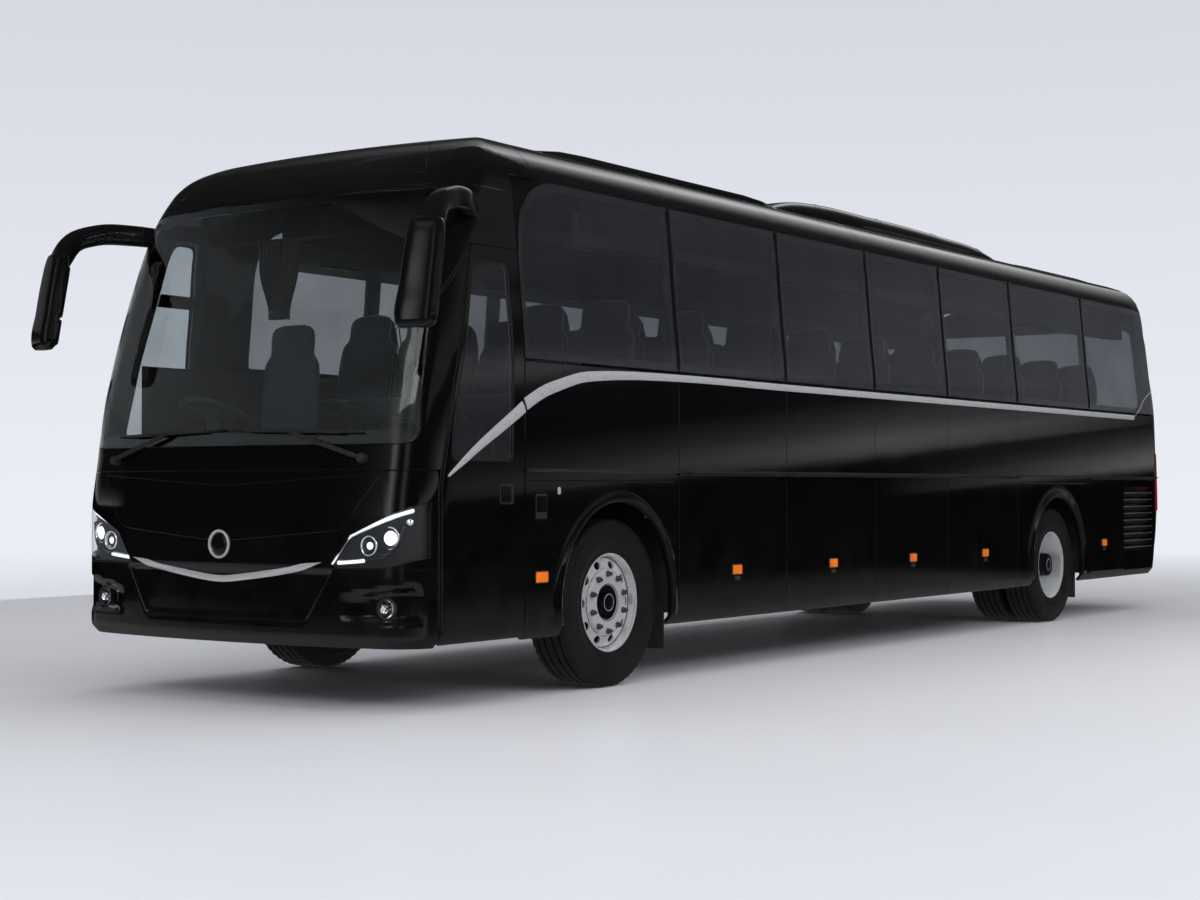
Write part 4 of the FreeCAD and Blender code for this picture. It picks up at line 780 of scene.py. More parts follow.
def lampFinish(name, colour, glow=0.0, glowColour=(1.0, 1.0, 1.0), scale=260.0, rough=0.08,
               transmission=0.0):
    # Coloured lens with small optics under its face.
    finish, tree, shader = newMaterial(name, Coat_Weight=1.0, Coat_Roughness=0.03,
                                       Emission_Strength=glow, Transmission_Weight=transmission,
                                       Emission_Color=glowColour)
    optics = useGroup(tree, grain, Scale=scale, Strength=0.5, Depth=0.002, Patches=14.0)
    feed(tree, shader, Base_Color=mixColour(tree, optics.outputs["Mask"], colour,
                                            tuple(0.6 * c for c in colour)),
         Roughness=ramp(tree, optics.outputs["Mask"], 0, 1, rough, rough * 1.8),
         Normal=optics.outputs["Normal"])
    return finish


blackPaint = glossFinish("blackPaint", (0.0022, 0.0022, 0.0026), dust=0.05)
blackBorder = glossFinish("blackBorder", (0.0015, 0.0015, 0.0018), coat=0.0, dust=0.05, wave=0.006, fine=0.0)
pianoPlastic = glossFinish("pianoPlastic", (0.003, 0.003, 0.0035), rough=0.12, coat=0.7, dust=0.04)
sideGlass = glassFinish("sideGlass", (0.36, 0.37, 0.39))
screenGlass = glassFinish("screenGlass", (0.62, 0.66, 0.64), wave=0.0)
doorGlass = glassFinish("doorGlass", (0.36, 0.37, 0.39))
driverGlass = glassFinish("driverGlass", (0.72, 0.76, 0.80))
satinStrip = metalFinish("satinStrip", (0.66, 0.67, 0.69), (0.60, 0.61, 0.63), (0.26, 0.34), metal=0.55,
                         stretch=(1.0, 0.02, 1.0), scale=300.0)
brightMetal = metalFinish("brightMetal", (0.80, 0.81, 0.83), (0.72, 0.73, 0.75), (0.12, 0.18), scale=60.0,
                          metal=0.62, dust=0.0, strength=0.0)
alloy = metalFinish("alloy", (0.88, 0.89, 0.91), (0.85, 0.86, 0.88), (0.17, 0.19), scale=40.0, dust=0.0,
                    metal=0.66, strength=0.0)
# a darker copy of the alloy for the rear wheels' deep-set discs: painted shade in the dish
shadedDiscAlloy = metalFinish("shadedDiscAlloy", (0.42, 0.425, 0.435), (0.38, 0.385, 0.395), (0.22, 0.26), scale=40.0,
                        dust=0.0, metal=0.75, strength=0.0)
nutSteel = metalFinish("nutSteel", (0.10, 0.10, 0.105), (0.07, 0.07, 0.075), (0.25, 0.35), scale=60.0,
                       metal=0.5)
# light grey for thin lines on edges: a painted highlight along the waist seam and the grille slats' lips
paintedHighlightGrey = grainFinish("paintedHighlightGrey", (0.085, 0.085, 0.088), (0.10, 0.10, 0.103), (0.35, 0.45), scale=300.0,
                       strength=0.05, dust=0.0)
darkAlloy = metalFinish("darkAlloy", (0.06, 0.06, 0.065), (0.03, 0.03, 0.035), (0.35, 0.5), scale=60.0)
tyreRubber = grainFinish("tyreRubber", (0.0050, 0.0050, 0.0052), (0.0075, 0.0074, 0.0074), (0.38, 0.5),
                         scale=500.0, strength=0.2, dust=0.04, dustTop=1.1)
sealRubber = grainFinish("sealRubber", (0.008, 0.008, 0.008), (0.014, 0.014, 0.014), (0.45, 0.6),
                         scale=700.0, strength=0.15, dust=0.1)
paneSeal = grainFinish("paneSeal", (0.003, 0.003, 0.003), (0.005, 0.005, 0.005), (0.5, 0.7), scale=700.0,
                       strength=0.1, dust=0.0)
darkPlastic = grainFinish("darkPlastic", (0.012, 0.012, 0.013), (0.02, 0.02, 0.021), (0.4, 0.55),
                          scale=420.0, strength=0.25, dust=0.25)
cabPlastic = grainFinish("cabPlastic", (0.045, 0.045, 0.048), (0.06, 0.06, 0.062), (0.5, 0.65),
                         scale=380.0, dust=0.0)
trimPanel = grainFinish("trimPanel", (0.035, 0.035, 0.035), (0.045, 0.045, 0.044), (0.55, 0.7),
                        scale=260.0, dust=0.0)
floorVinyl = grainFinish("floorVinyl", (0.055, 0.055, 0.058), (0.075, 0.074, 0.074), (0.45, 0.6),
                         scale=180.0, strength=0.35, dust=0.0)
paintedSteel = grainFinish("paintedSteel", (0.030, 0.030, 0.031), (0.05, 0.048, 0.045), (0.45, 0.7),
                           scale=120.0, strength=0.2, dust=0.6, metal=0.2)
castIron = grainFinish("castIron", (0.06, 0.057, 0.054), (0.09, 0.08, 0.07), (0.5, 0.75),
                       scale=160.0, strength=0.5, dust=0.5, metal=0.5)
seatFabric = fabricFinish("seatFabric", (0.055, 0.06, 0.075), (0.09, 0.095, 0.11))
curtainCloth = fabricFinish("curtainCloth", (0.022, 0.022, 0.023), (0.035, 0.034, 0.034), threads=900.0,
                            sheen=0.4)
redLens = lampFinish("redLens", (0.36, 0.008, 0.010), glow=0.05, glowColour=(1.0, 0.05, 0.04))
amberLens = lampFinish("amberLens", (0.78, 0.16, 0.01), glow=0.22, glowColour=(1.0, 0.22, 0.02))
clearLens = glassFinish("clearLens", (0.96, 0.97, 0.98), bend=1.12)
lampHousing = grainFinish("lampHousing", (0.0035, 0.0035, 0.004), (0.006, 0.006, 0.0065), (0.5, 0.6),
                          scale=420.0, strength=0.1, dust=0.0)
lampBowl = metalFinish("lampBowl", (0.78, 0.79, 0.81), (0.68, 0.69, 0.71), (0.06, 0.12), scale=90.0, dust=0.0)
lightGuide = lampFinish("lightGuide", (0.9, 0.92, 0.95), glow=1.1, glowColour=(0.92, 0.96, 1.0), scale=180.0)
lampCore = lampFinish("lampCore", (0.9, 0.95, 1.0), glow=1.5, glowColour=(0.93, 0.97, 1.0), scale=60.0)
mirrorGlass = metalFinish("mirrorGlass", (0.82, 0.84, 0.86), (0.80, 0.82, 0.84), (0.01, 0.03), scale=4.0,
                          strength=0.0, dust=0.0)
# The material slot named for each finish, unless a piece names another; pieces look it up but nothing assigns
# it
slotOf = {}
for slot, names in {
        "paint": "blackPaint",
        "gloss_plastic": "blackBorder darkPlastic pianoPlastic lampHousing",
        "bright": "brightMetal lampBowl mirrorGlass satinStrip",
        "plastic": "cabPlastic ceilingFelt seatPiping trimPanel",
        "lens": "amberLens clearLens lampCore lightGuide",
        "glass": "doorGlass driverGlass screenGlass sideGlass",
        "rubber": "paneSeal sealRubber",
        "fabric": "curtainCloth seatFabric",
        "steel": "paintedSteel",
        "tail_lens": "redLens",
        "tyre": "tyreRubber",
        "alloy": "alloy"}.items():
    for name in names.split():
        slotOf[name] = slot
print("materials ready")

# The frame's own nodes that stay in view
for finish, names in (
        (darkPlastic, "wheel_wells hinge_rails mudflaps"), (floorVinyl, "cabin_floor"),
        (paintedSteel, "luggage_bay chassis_rails door_arm"),
        (castIron, "engine_block front_axle rear_axle tie_rod knuckle_left knuckle_right")):
    for name in names.split():
        materials = frame["nodes"][name].data.materials
        materials.clear()
        materials.append(finish)

# Stage, lights and camera
stage = {"cameraAt": (7.667, -13.249, 1.162), "cameraTurn": 0.60336, "cameraUp": 0.01925,
         "lens": 58.79, "backdrop": (0.83, 0.85, 0.91), "backdropHigh": (0.60, 0.62, 0.69),
         "floor": (0.72, 0.73, 0.765), "overhead": (0.03, 0.03, 0.033)}


def makeFloor():
    mesh = bpy.data.meshes.new("stageFloor")
    work = bmesh.new()
    bmesh.ops.create_grid(work, x_segments=2, y_segments=2, size=45)
    work.to_mesh(mesh)
    work.free()
    floor = bpy.data.objects.new("stageFloor", mesh)
    scene.collection.objects.link(floor)
    finish, tree, shader = newMaterial("stageFloor", Roughness=0.32, Specular_IOR_Level=0.35)
    place = objectPlace(tree)
    cloud = noise(tree, place, 0.6, 3.0)
    away = addNode(tree, "VectorMath", {0: place}, operation="LENGTH").outputs["Value"]
    near = mixColour(tree, ramp(tree, cloud, 0.3, 0.7), stage["floor"],
                     tuple(0.97 * c for c in stage["floor"]))
    # paler further out: it meets the backdrop, and it is painted light where the lamps' light falls off
    tree.links.new(mixColour(tree, ramp(tree, away, 10.0, 15.0, 0.0, 1.0), near, (0.86, 0.87, 0.90)),
                   shader.inputs["Base Color"])
    fade = ramp(tree, away, 8.0, 22.0, 0.0, 1.0)
    clear = addNode(tree, "BsdfTransparent")
    mixer = addNode(tree, "MixShader", {0: fade, 1: shader.outputs[0], 2: clear.outputs[0]})
    tree.links.new(mixer.outputs[0], tree.nodes["Material Output"].inputs["Surface"])
    mesh.materials.append(finish)


def tentLevel(x, y, z):
    # How bright the dark tent round the coach is: bands for the sides, a soft column by the front corner.
    if y > 44.9:
        return float(np.interp(x, (-9, -6, -2, 3, 7, 9),
                               (0.80, 0.52, 0.26, 0.10, 0.05, 0.03))) * float(np.interp(z, (0, 14, 22, 60),
                                       (0.2, 0.5, 1, 0.6)))
    if y > -9.01:
        high = 0.78 * float(smooth(z, 13, 21) * smooth(y, 8, 24)) if x < 0 else 0.0
        return high + float(np.interp(z, (0, 1.66, 1.78, 2.2, 2.6, 3.35, 3.6, 5.2, 6.2, 9, 14),
                                      (0, 0, 0.34, 0.11, 0.01, 0.01, 0.11, 0.10, 0.02, 0.015, 0.03)))
    turn = math.degrees(math.atan2(-x, -5.8 - y))
    column = math.exp(-((turn - 4) / 9.0) ** 2) + 0.35 * math.exp(-((turn + 30) / 6.0) ** 2)
    return 0.004 + 0.80 * column * float(np.interp(z, (0, 1.5, 9, 14),
                                                   (0.25, 1, 0.8, 0.05))) + 0.026 * float(smooth(z, 5, 14))


def glowCard(name, points, faces, levels):
    # a stage piece that only reflections see, from its front side
    mesh = bpy.data.meshes.new(name)
    mesh.from_pydata(points, [], faces)
    mesh.attributes.new("level", "FLOAT", "POINT").data.foreach_set("value", levels)
    card = bpy.data.objects.new(name, mesh)
    scene.collection.objects.link(card)
    finish = bpy.data.materials.new(name)
    finish.use_nodes = True
    tree = finish.node_tree
    tree.nodes.clear()
    level = addNode(tree, "Attribute", attribute_name="level").outputs["Fac"]
    glow = addNode(tree, "Emission", {"Color": (1, 1, 1.03, 1), "Strength": level})
    side = addNode(tree, "NewGeometry").outputs["Backfacing"]
    mixer = addNode(tree, "MixShader", {0: side, 1: glow.outputs[0],
                                        2: addNode(tree, "BsdfTransparent").outputs[0]})
    addNode(tree, "OutputMaterial", {"Surface": mixer.outputs[0]})
    mesh.materials.append(finish)
    card.visible_camera = card.visible_diffuse = card.visible_shadow = card.visible_transmission = False
    return card


def makeFloorCard():
    # the floor as the paint sees it: pale beside the coach, dark further out
    xs, ys = np.linspace(-9, 9, 61), np.linspace(-21, 45, 133)
    points = [(x, y, 0.003) for y in ys for x in xs]
    levels = [float(max(np.interp(max(abs(x) - 1.3, abs(y) - 5.8, 0), (0, 3, 7), (0.10, 0.09, 0.0)),
                        np.interp(-5.8 - y, (-0.5, 0, 0.6, 3, 7), (0, 0.22, 0.20, 0.10, 0)))) for y in ys
                        for x in xs]
    glowCard("floorCard", points, gridFaces(len(ys), len(xs), False), levels)


def makeTent():
    # a wall round the stage that only reflections see
    arc = [(-9 * math.cos(a), -9 - 12 * math.sin(a)) for a in np.linspace(0, math.pi, 73)]
    plan = arc + [(9, y) for y in (-8.99, 0, 15, 30, 44)] + [(x, 45)
                                                             for x in np.linspace(9, -9, 25)] + [(-9, y)
                                                                     for y in (44, 30, 15, 0, -8.99)]
    shares = np.concatenate([np.linspace(0, 0.30, 61), np.linspace(0.32, 1, 18)])
    points, levels = [], []
    for x, y in plan:
        top = 14 + 46 * max(0, y / 45)
        for share in shares:
            z = share * top - 0.02
            points.append((x, y, z))
            levels.append(tentLevel(x, y, z))
    card = glowCard("tent", points, turnFaces(len(plan), len(shares)), levels)
    if card.data.polygons[0].normal.y < 0:
        card.data.flip_normals()


def makeWorld():
    world = bpy.data.worlds.new("studio")
    scene.world = world
    world.use_nodes = True
    tree = world.node_tree
    back = tree.nodes["Background"]
    seen = addNode(tree, "LightPath")
    up = addNode(tree, "SeparateXYZ", {0: addNode(tree, "TexCoord").outputs["Generated"]}).outputs["Z"]
    shown = mixColour(tree, ramp(tree, up, 0.0, 0.35), stage["backdrop"], stage["backdropHigh"])
    shown = mixColour(tree, ramp(tree, up, 0.38, 0.75), shown, stage["overhead"])
    plain = mathNode(tree, "MAXIMUM", seen.outputs["Is Camera Ray"],
                     mathNode(tree, "MAXIMUM", seen.outputs["Is Glossy Ray"],
                              seen.outputs["Is Transmission Ray"]))
    tree.links.new(mixColour(tree, plain, (0.80, 0.81, 0.84), shown), back.inputs["Color"])
    back.inputs["Strength"].default_value = 1.0


def makeLamp(name, at, target, size, power):
    lamp = bpy.data.lights.new(name, "AREA")
    lamp.shape = "RECTANGLE"
    lamp.size, lamp.size_y = size
    lamp.energy = power
    item = bpy.data.objects.new(name, lamp)
    scene.collection.objects.link(item)
    item.location = at
    item.rotation_euler = (Vector(target) - Vector(at)).to_track_quat("-Z", "Y").to_euler()
    item.visible_glossy = False
    return item


makeFloor()
makeWorld()
makeTent()
makeFloorCard()
makeLamp("ceilingLamp", (0.5, 0, 9.5), (0, 0, 0), (8, 18), 620)
makeLamp("frontLamp", (2.5, -13, 6.0), (0, -4, 1.5), (6, 3), 260)
makeLamp("leftLamp", (11.0, -2, 6.5), (0, 0, 1.0), (12, 3), 420)

camera = bpy.data.objects.new("camera", bpy.data.cameras.new("camera"))
scene.collection.objects.link(camera)
camera.location = stage["cameraAt"]
camera.rotation_euler = (math.pi / 2 + stage["cameraUp"], 0, stage["cameraTurn"])
camera.data.lens = stage["lens"]
camera.data.sensor_width = 36
scene.camera = camera
scene.view_settings.view_transform = "Standard"
print("stage ready")


def sideWord(side):
    return "left" if side > 0 else "right"


def circle(centre, radius, parts=40, start=0.0, sweep=2 * math.pi):
    count = parts if sweep >= 2 * math.pi else parts + 1
    return [(centre[0] + radius * math.cos(start + sweep * i / parts),
             centre[1] + radius * math.sin(start + sweep * i / parts)) for i in range(count)]


def frontOutline(points, step=0.03):
    # A front view outline of (across, height) laid on the front's flat plane.
    return [frontAt(x, z) for x, z in spaced(points, step)]


def ribbon(name, path, width, height, finish, lift, slot=None, rays=frontRays, taper=0.0):
    # A bar that follows a line on the body's skin; lift is its middle above the skin.
    flat = np.array(path)
    p, n = onBody(*rays(flat), None, lift)
    run = np.gradient(p, axis=0)
    run /= np.linalg.norm(run, axis=1)[:, None]
    across = np.cross(n, run)
    stations = []
    count = len(p)
    for i in range(count):
        share = min(1.0, 0.25 + 3 * min(i, count - 1 - i) / max(1, count - 1) / max(taper,
                1e-6)) if taper else 1.0
        stations.append((p[i], across[i] * width / 2 * share, n[i] * height / 2 * share))
    return swept(name, stations, finish, "body", slot, 12, power=2.6)


# Side panels, all along both sides
sides = {"seams": (0.66, 2.0, 3.31, 4.56, 5.94, 7.59, 8.42, 9.32), "doorRear": -0.912,
         "bodyRear": 9.38, "gap": 0.007, "skirt": 0.334, "flapTop": 1.240, "waist": (1.256, 1.852),
         "panes": (1.872, 2.883), "archRadius": 0.580, "archHeight": 0.500, "step": 0.05, "roll": 0.006}


def along(s):
    return frontAxle + s


def sideBox(start, end, low, high, radius=0.006):
    half = sides["gap"] / 2
    return rounded(rect(along(start) + half, along(end) - half, low, high), radius, 3)


def archedBox(start, end, low, high, axle):
    # A side panel with the wheel arch cut from its foot.
    half, r, h = sides["gap"] / 2, sides["archRadius"], sides["archHeight"]
    reach = math.sqrt(r * r - (h - low) ** 2)
    turn = math.atan2(low - h, reach)
    arc = circle((axle, h), r, 36, math.pi - turn, -(math.pi - 2 * turn))
    return [(along(start) + half, low)] + arc + [(along(end) - half, low),
            (along(end) - half, high), (along(start) + half, high)]


def makeSides():
    seams = sides["seams"]
    low, high = sides["waist"]
    paneLow, paneHigh = sides["panes"]
    skirt = sides["skirt"]
    for side, rays in ((1, leftRays), (-1, rightRays)):
        word, place = sideWord(side), surfaceOf(rays)
        stops = [sides["doorRear"]] + list(seams[:6]) + [sides["bodyRear"]]
        for i in range(len(stops) - 1):
            panel(f"waistPanel_{word}_{i + 1}", sideBox(stops[i], stops[i + 1], low, high), place,
                  blackPaint, step=sides["step"], edge=sides["roll"], replaces=["waist_panels"])
            shape = sideBox(stops[i], stops[i + 1], paneLow, paneHigh, 0.012)
            if i == 0:
                a, b = along(stops[0]) + 0.0035, along(stops[1]) - 0.0035
                shape = rounded(rect(a, b, paneLow, paneHigh),
                                [0.012, 0.012, 0.012, 0.45], 10)
                panel(f"paneCorner_{word}", [(a, paneHigh)] + [
                      p for p in rounded(rect(a, b, paneLow, paneHigh),
                                         [0.012, 0.012, 0.012, 0.42], 12)[-13:]],
                      surfaceOf(rays, lift=-0.004), blackBorder, step=0.04, edge=0.001, depth=0.003)
            panel(f"sidePane_{word}_{i + 1}", shape, place, sideGlass, step=0.09, edge=0.002,
                  depth=0.003, replaces=["windows"], back=True)
        frame = []
        for i in range(len(stops) - 1):
            a = 0.060 if i else 0.045 if side > 0 else 0.420
            frame.append(rounded(rect(along(stops[i]) + a, along(stops[i + 1]) - 0.060, paneLow + 0.045,
                                      paneHigh - 0.050),
                                 [0.03, 0.03, 0.04, 0.04 if i else 0.40], 8))
        a, b = along(stops[0]) + 0.006, along(stops[-1]) - 0.006
        shape = rounded(rect(a, b, paneLow + 0.003, paneHigh - 0.003), 0.01, 3)
        panel(f"windowFrame_{word}", shape, surfaceOf(rays, lift=-0.0072), blackBorder, step=0.09, edge=0.002,
              depth=0.030,
              holes=frame, replaces=["window_frames"], back=True)
        for n, name, body in [(n, f"luggageFlap_{word}_{n + 1}", f"luggage_flap_{word}_{n + 1}")
                              for n in range(4)] + [
                (5, f"serviceFlap_{word}", f"service_flap_{word}")]:
            panel(name, sideBox(seams[n], seams[n + 1], skirt, sides["flapTop"]), place, blackPaint, body,
                  step=sides["step"], edge=sides["roll"], replaces=[body], depth=0.03)
        hole = rect(along(seams[6]) + 0.05, along(seams[7]) - 0.05, 0.572, 1.165)
        panel(f"grilleFrame_{word}", sideBox(seams[6], seams[7], skirt, sides["flapTop"]), place,
              blackPaint, f"grille_door_{word}", step=0.04, holes=[rounded(hole, 0.02, 4)],
              replaces=[f"grille_door_{word}"], depth=0.03)
        start = sides["doorRear"] if side > 0 else -1.648
        for name, first, last, axle in (("front", start, seams[0], frontAxle),
                                        ("rear", seams[4], seams[5], rearAxle)):
            panel(f"{name}ArchPanel_{word}", archedBox(first, last, skirt, 1.250, axle), place, blackPaint,
                  step=0.04,
                  replaces=["arch_panels"], depth=0.02)
        for i, s in enumerate(stops[1:-1]):
            path = [(along(s), z) for z in np.linspace(paneLow + 0.01, paneHigh - 0.01, 12)]
            ribbon(f"paneSeal_{word}_{i}", path, 0.016, 0.005, paneSeal, 0.0, rays=rays)
            for k, off in enumerate((-0.012, 0.012)):
                ribbon(f"paneSealLip_{word}_{i}_{k}", [(y + off, z) for y, z in path], 0.004, 0.006,
                       pianoPlastic, 0.0, rays=rays)
        for i, s in enumerate(seams[:5]):
            path = [(along(s), z) for z in np.linspace(skirt + 0.04, 1.21, 10)]
            ribbon(f"flapSeal_{word}_{i}", path, 0.0045, 0.004, paneSeal, -0.0005, rays=rays)
    print("side panels ready")


makeSides()

# Door, its glass and the glass's seal
door = {"rear": -0.920, "bottom": 0.349, "top": 2.456,
        "front": [(-1.636, 0.349), (-1.636, 1.150), (-1.581, 1.410), (-1.516, 1.720), (-1.407, 2.150),
                  (-1.323, 2.456)],
        "glass": [(-1.010, 1.300), (-1.010, 2.380), (-1.318, 2.380), (-1.397, 2.085), (-1.492, 1.700),
                  (-1.540, 1.470), (-1.552, 1.300)]}


def cornerFlat(points, side=1):
    # Side view places (behind the front axle, height) laid on the front's flat plane.
    return [endAt(along(s), z, side) for s, z in spaced(points, 0.04)]


def makeDoor():
    outline = [(door["rear"], door["bottom"]), (door["rear"], door["top"])] + door["front"][::-1]
    outline = rounded(outline, [0.012, 0.03, 0.03, 0, 0, 0, 0, 0.012], 4)
    glass = rounded(door["glass"], [0.05, 0.05, 0.05, 0, 0, 0.0, 0.06], 6)
    panel("doorSkin", cornerFlat(outline), surfaceOf(frontRays), blackPaint, "door", step=0.035,
          holes=[cornerFlat(glass)], replaces=["door_panel"], depth=0.03)
    panel("doorGlass", cornerFlat(shrunk(glass, 0.012)), surfaceOf(frontRays, lift=-0.002), doorGlass,
          "door", step=0.05, edge=0.002, depth=0.003, replaces=["door_glass"], back=True)
    panel("doorGlassSeal", cornerFlat(shrunk(glass, 0.001)), surfaceOf(frontRays, lift=-0.001), sealRubber,
          "door", step=0.05, edge=0.003, depth=0.008, holes=[cornerFlat(shrunk(glass, 0.014))])
    print("door ready")


makeDoor()

# Front: windscreen, its surround, dome, hood, mask and bumper
front = {"screenBottom": 1.384, "screenTop": 2.770, "screenHalf": (1.218, 1.125), "maskEnd": -1.648,
         "sill": 1.256, "surroundTop": 2.782, "domeFoot": 2.788, "doorTop": 2.464,
         "maskTop": 1.248, "maskFoot": 0.744, "bumperTop": 0.738, "bumperFoot": 0.336,
         "hood": [(-1.042, 1.236), (0, 1.175), (1.042, 1.236), (0.835, 0.940), (0, 0.872), (-0.835, 0.940)],
         "headlamp": [(0.740, 0.748), (0.870, 0.915), (1.060, 1.000), (1.258, 1.085), (1.258, 0.800),
                      (1.100, 0.752)],
         "split": [(0.735, 0.744), (0.670, 0.752), (0, 0.662)],
         "fog": (1.091, 0.540, 0.058), "roll": 0.006}


def creaseRelief(p):
    # How far the front's skin is pressed in: the bumper's middle and its lamp pockets.
    x, z = np.abs(p[:, 0]), p[:, 2]
    lowFront = (p[:, 1] < along(-1.66)) & (z < 1.30)
    # the bumper's middle stands back inside a slanting crease
    edge = x - (0.594 + (z - 0.466) / 0.250 * 0.156)
    middle = smooth(-edge, -0.012, 0.022) * smooth(z, 0.452, 0.478) * smooth(-z, -0.745, -0.715)
    pocketTop = 0.600 + (x - 0.84) * 0.14
    pocket = (smooth(x, 0.80, 0.98) * smooth(z, 0.462, 0.492) * smooth(pocketTop - z, -0.02, 0.03)
              * smooth(-x, -1.235, -1.195))
    return np.where(lowFront, 0.018 * middle + 0.042 * pocket, 0.0)


def creaseLines():
    lines = []
    for side in (1, -1):
        for off in (-0.022, -0.006, 0.012):
            lines.append([frontAt(side * (0.594 - off + (z - 0.466) / 0.250 * 0.156), z)
                          for z in np.linspace(0.480, 0.705, 18)])
    for z in (0.452, 0.465, 0.478):
        lines.append([frontAt(x, z) for x in np.linspace(-0.60, 0.60, 61)])
    return lines


def lampEdge(grow):
    points = front["headlamp"]
    return shrunk(points, -grow)


def splitLine():
    # The V seam between mask and bumper, from the left to the right.
    right = front["split"]
    return right + [(-x, z) for x, z in right[-2::-1]]


def makeFront():
    place = surfaceOf(frontRays, creaseRelief)
    wideHalf, topHalf = front["screenHalf"]
    low, high = front["screenBottom"], front["screenTop"]
    sill, top, doorTop, rear = front["sill"], front["surroundTop"], front["doorTop"], door["rear"]
    maskTop, maskFoot, maskEnd = front["maskTop"], front["maskFoot"], along(front["maskEnd"])
    bumperTop, bumperFoot = front["bumperTop"], front["bumperFoot"]
    screen = rounded([(-wideHalf, low), (wideHalf, low), (topHalf, high), (-topHalf, high)],
                     [0.10, 0.10, 0.16, 0.16], 8)
    glass = frontOutline(shrunk(screen, 0.006), 0.05)
    panel("windscreenGlass", glass, surfaceOf(frontRays), screenGlass, step=0.05, edge=0.002, depth=0.004,
          replaces=["windscreen"], back=True)
    border = [(-wideHalf + 0.05, low + 0.075), (wideHalf - 0.05, low + 0.075), (topHalf - 0.045, high - 0.05),
              (-topHalf + 0.045, high - 0.05)]
    panel("windscreenBorder", frontOutline(shrunk(screen, 0.008), 0.05), surfaceOf(frontRays, lift=-0.0075),
          blackBorder, step=0.05, edge=0.001, depth=0.004,
          holes=[frontOutline(rounded(border, [0.07, 0.07, 0.13, 0.13], 8), 0.05)])
    # the surround, with the door's edge on the left and the driver's window on the right
    doorEdge = [(s - 0.010, z) for s, z in door["front"] if z > 1.2]
    foot = -1.636 + (sill - 1.150) / 0.260 * 0.055 - 0.010
    leftEdge = [(foot, sill)] + doorEdge[:-1] + [(-1.331, doorTop), (rear, doorTop), (rear, top)]
    outline = []
    for a, b in zip(leftEdge, leftEdge[1:]):
        parts = max(1, int(math.dist(a, b) / 0.04))
        outline += [endAt(along(a[0] + (b[0] - a[0]) * i / parts), a[1] + (b[1] - a[1]) * i / parts)
                    for i in range(parts)]
    turn = endAt(along(rear), top)
    outline += [(turn[0] * (1 - 2 * i / 60), top) for i in range(61)]
    outline += [endAt(along(rear), top - (top - sill) * i / 40, -1) for i in range(1, 41)]
    start, end = endAt(along(rear), sill, -1), endAt(along(foot), sill)
    outline += [(start[0] + (end[0] - start[0]) * i / 60, sill) for i in range(1, 60)]
    window = rounded([(-1.500, 1.460), (-0.985, 1.460), (-0.985, 2.640), (-1.185, 2.640)],
                     [0.05, 0.05, 0.07, 0.07], 6)
    panel("screenSurround", outline, surfaceOf(frontRays), blackPaint, step=0.035,
          holes=[frontOutline(screen, 0.04), cornerFlat(window, -1)], replaces=["windscreen_frame"],
          depth=0.03)
    panel("driverGlass", cornerFlat(shrunk(window, 0.008), -1), surfaceOf(frontRays, lift=-0.002),
          driverGlass,
          step=0.06, edge=0.002, depth=0.003, back=True)
    panel("driverGlassSeal", cornerFlat(shrunk(window, 0.001), -1), surfaceOf(frontRays, lift=-0.001),
          sealRubber,
          step=0.05, edge=0.002, depth=0.008, holes=[cornerFlat(shrunk(window, 0.010), -1)])
    bar = rounded([(-1.252, 2.255), (-0.980, 2.255), (-0.980, 2.330), (-1.232, 2.330)], 0.005, 2)
    panel("driverWindowBar", cornerFlat(bar, -1), surfaceOf(frontRays, lift=0.001), blackBorder, step=0.05,
          edge=0.002, depth=0.014, back=True)
    # mask, hood panel and bumper
    ends = [endAt(maskEnd, maskTop), endAt(maskEnd, maskFoot)]
    hood = rounded(front["hood"], [0.03, 0.0, 0.03, 0.06, 0.0, 0.06], 6)
    outline = [(-ends[0][0] + 2 * ends[0][0] * i / 70, maskTop) for i in range(71)]
    outline += [endAt(maskEnd, maskTop - 0.504 * i / 14) for i in range(1, 15)]
    across = ends[1][0] - frontAt(0.742, maskFoot)[0]
    outline += [(ends[1][0] - across * i / 16, maskFoot) for i in range(1, 16)]
    vee = frontOutline(splitLine() + [(-0.735, 3.0), (0.735, 3.0)])
    vee = [q for q in vee if q[1] < 0.7445]
    outline += [(u, z + 0.003) for u, z in vee]
    outline += [(-ends[1][0] + across * i / 16, maskFoot) for i in range(15, 0, -1)]
    outline += [endAt(maskEnd, maskFoot + 0.504 * i / 14, -1) for i in range(14)]
    lampHole = frontOutline(lampEdge(0.003))
    panel("frontMask", outline, place, blackPaint, step=0.022, depth=0.03,
          holes=[frontOutline(hood), lampHole, [(-u, z) for u, z in reversed(lampHole)]],
          replaces=["front_mask"])
    panel("hoodPanel", frontOutline(shrunk(hood, 0.005)),
          place, blackPaint, step=0.022, edge=front["roll"], depth=0.02)
    x, z, r = front["fog"]
    fogs = [frontOutline(circle((side * x, z), r + 0.004, 32)) for side in (1, -1)]
    outline = [endAt(maskEnd, bumperFoot + 0.402 * i / 12) for i in range(13)]
    outline += [(ends[1][0] - across * i / 16, bumperTop) for i in range(1, 16)]
    outline += [(u, z - 0.003) for u, z in vee]
    outline += [(-ends[1][0] + across * i / 16, bumperTop) for i in range(15, 0, -1)]
    outline += [endAt(maskEnd, bumperTop - 0.402 * i / 12, -1) for i in range(13)]
    start, end = outline[-1][0], outline[0][0]
    outline += [(start + (end - start) * i / 70, bumperFoot) for i in range(1, 70)]
    panel("bumperSkin", outline, place, blackPaint, step=0.020, depth=0.03, holes=fogs,
          replaces=["bumper"], lines=creaseLines())
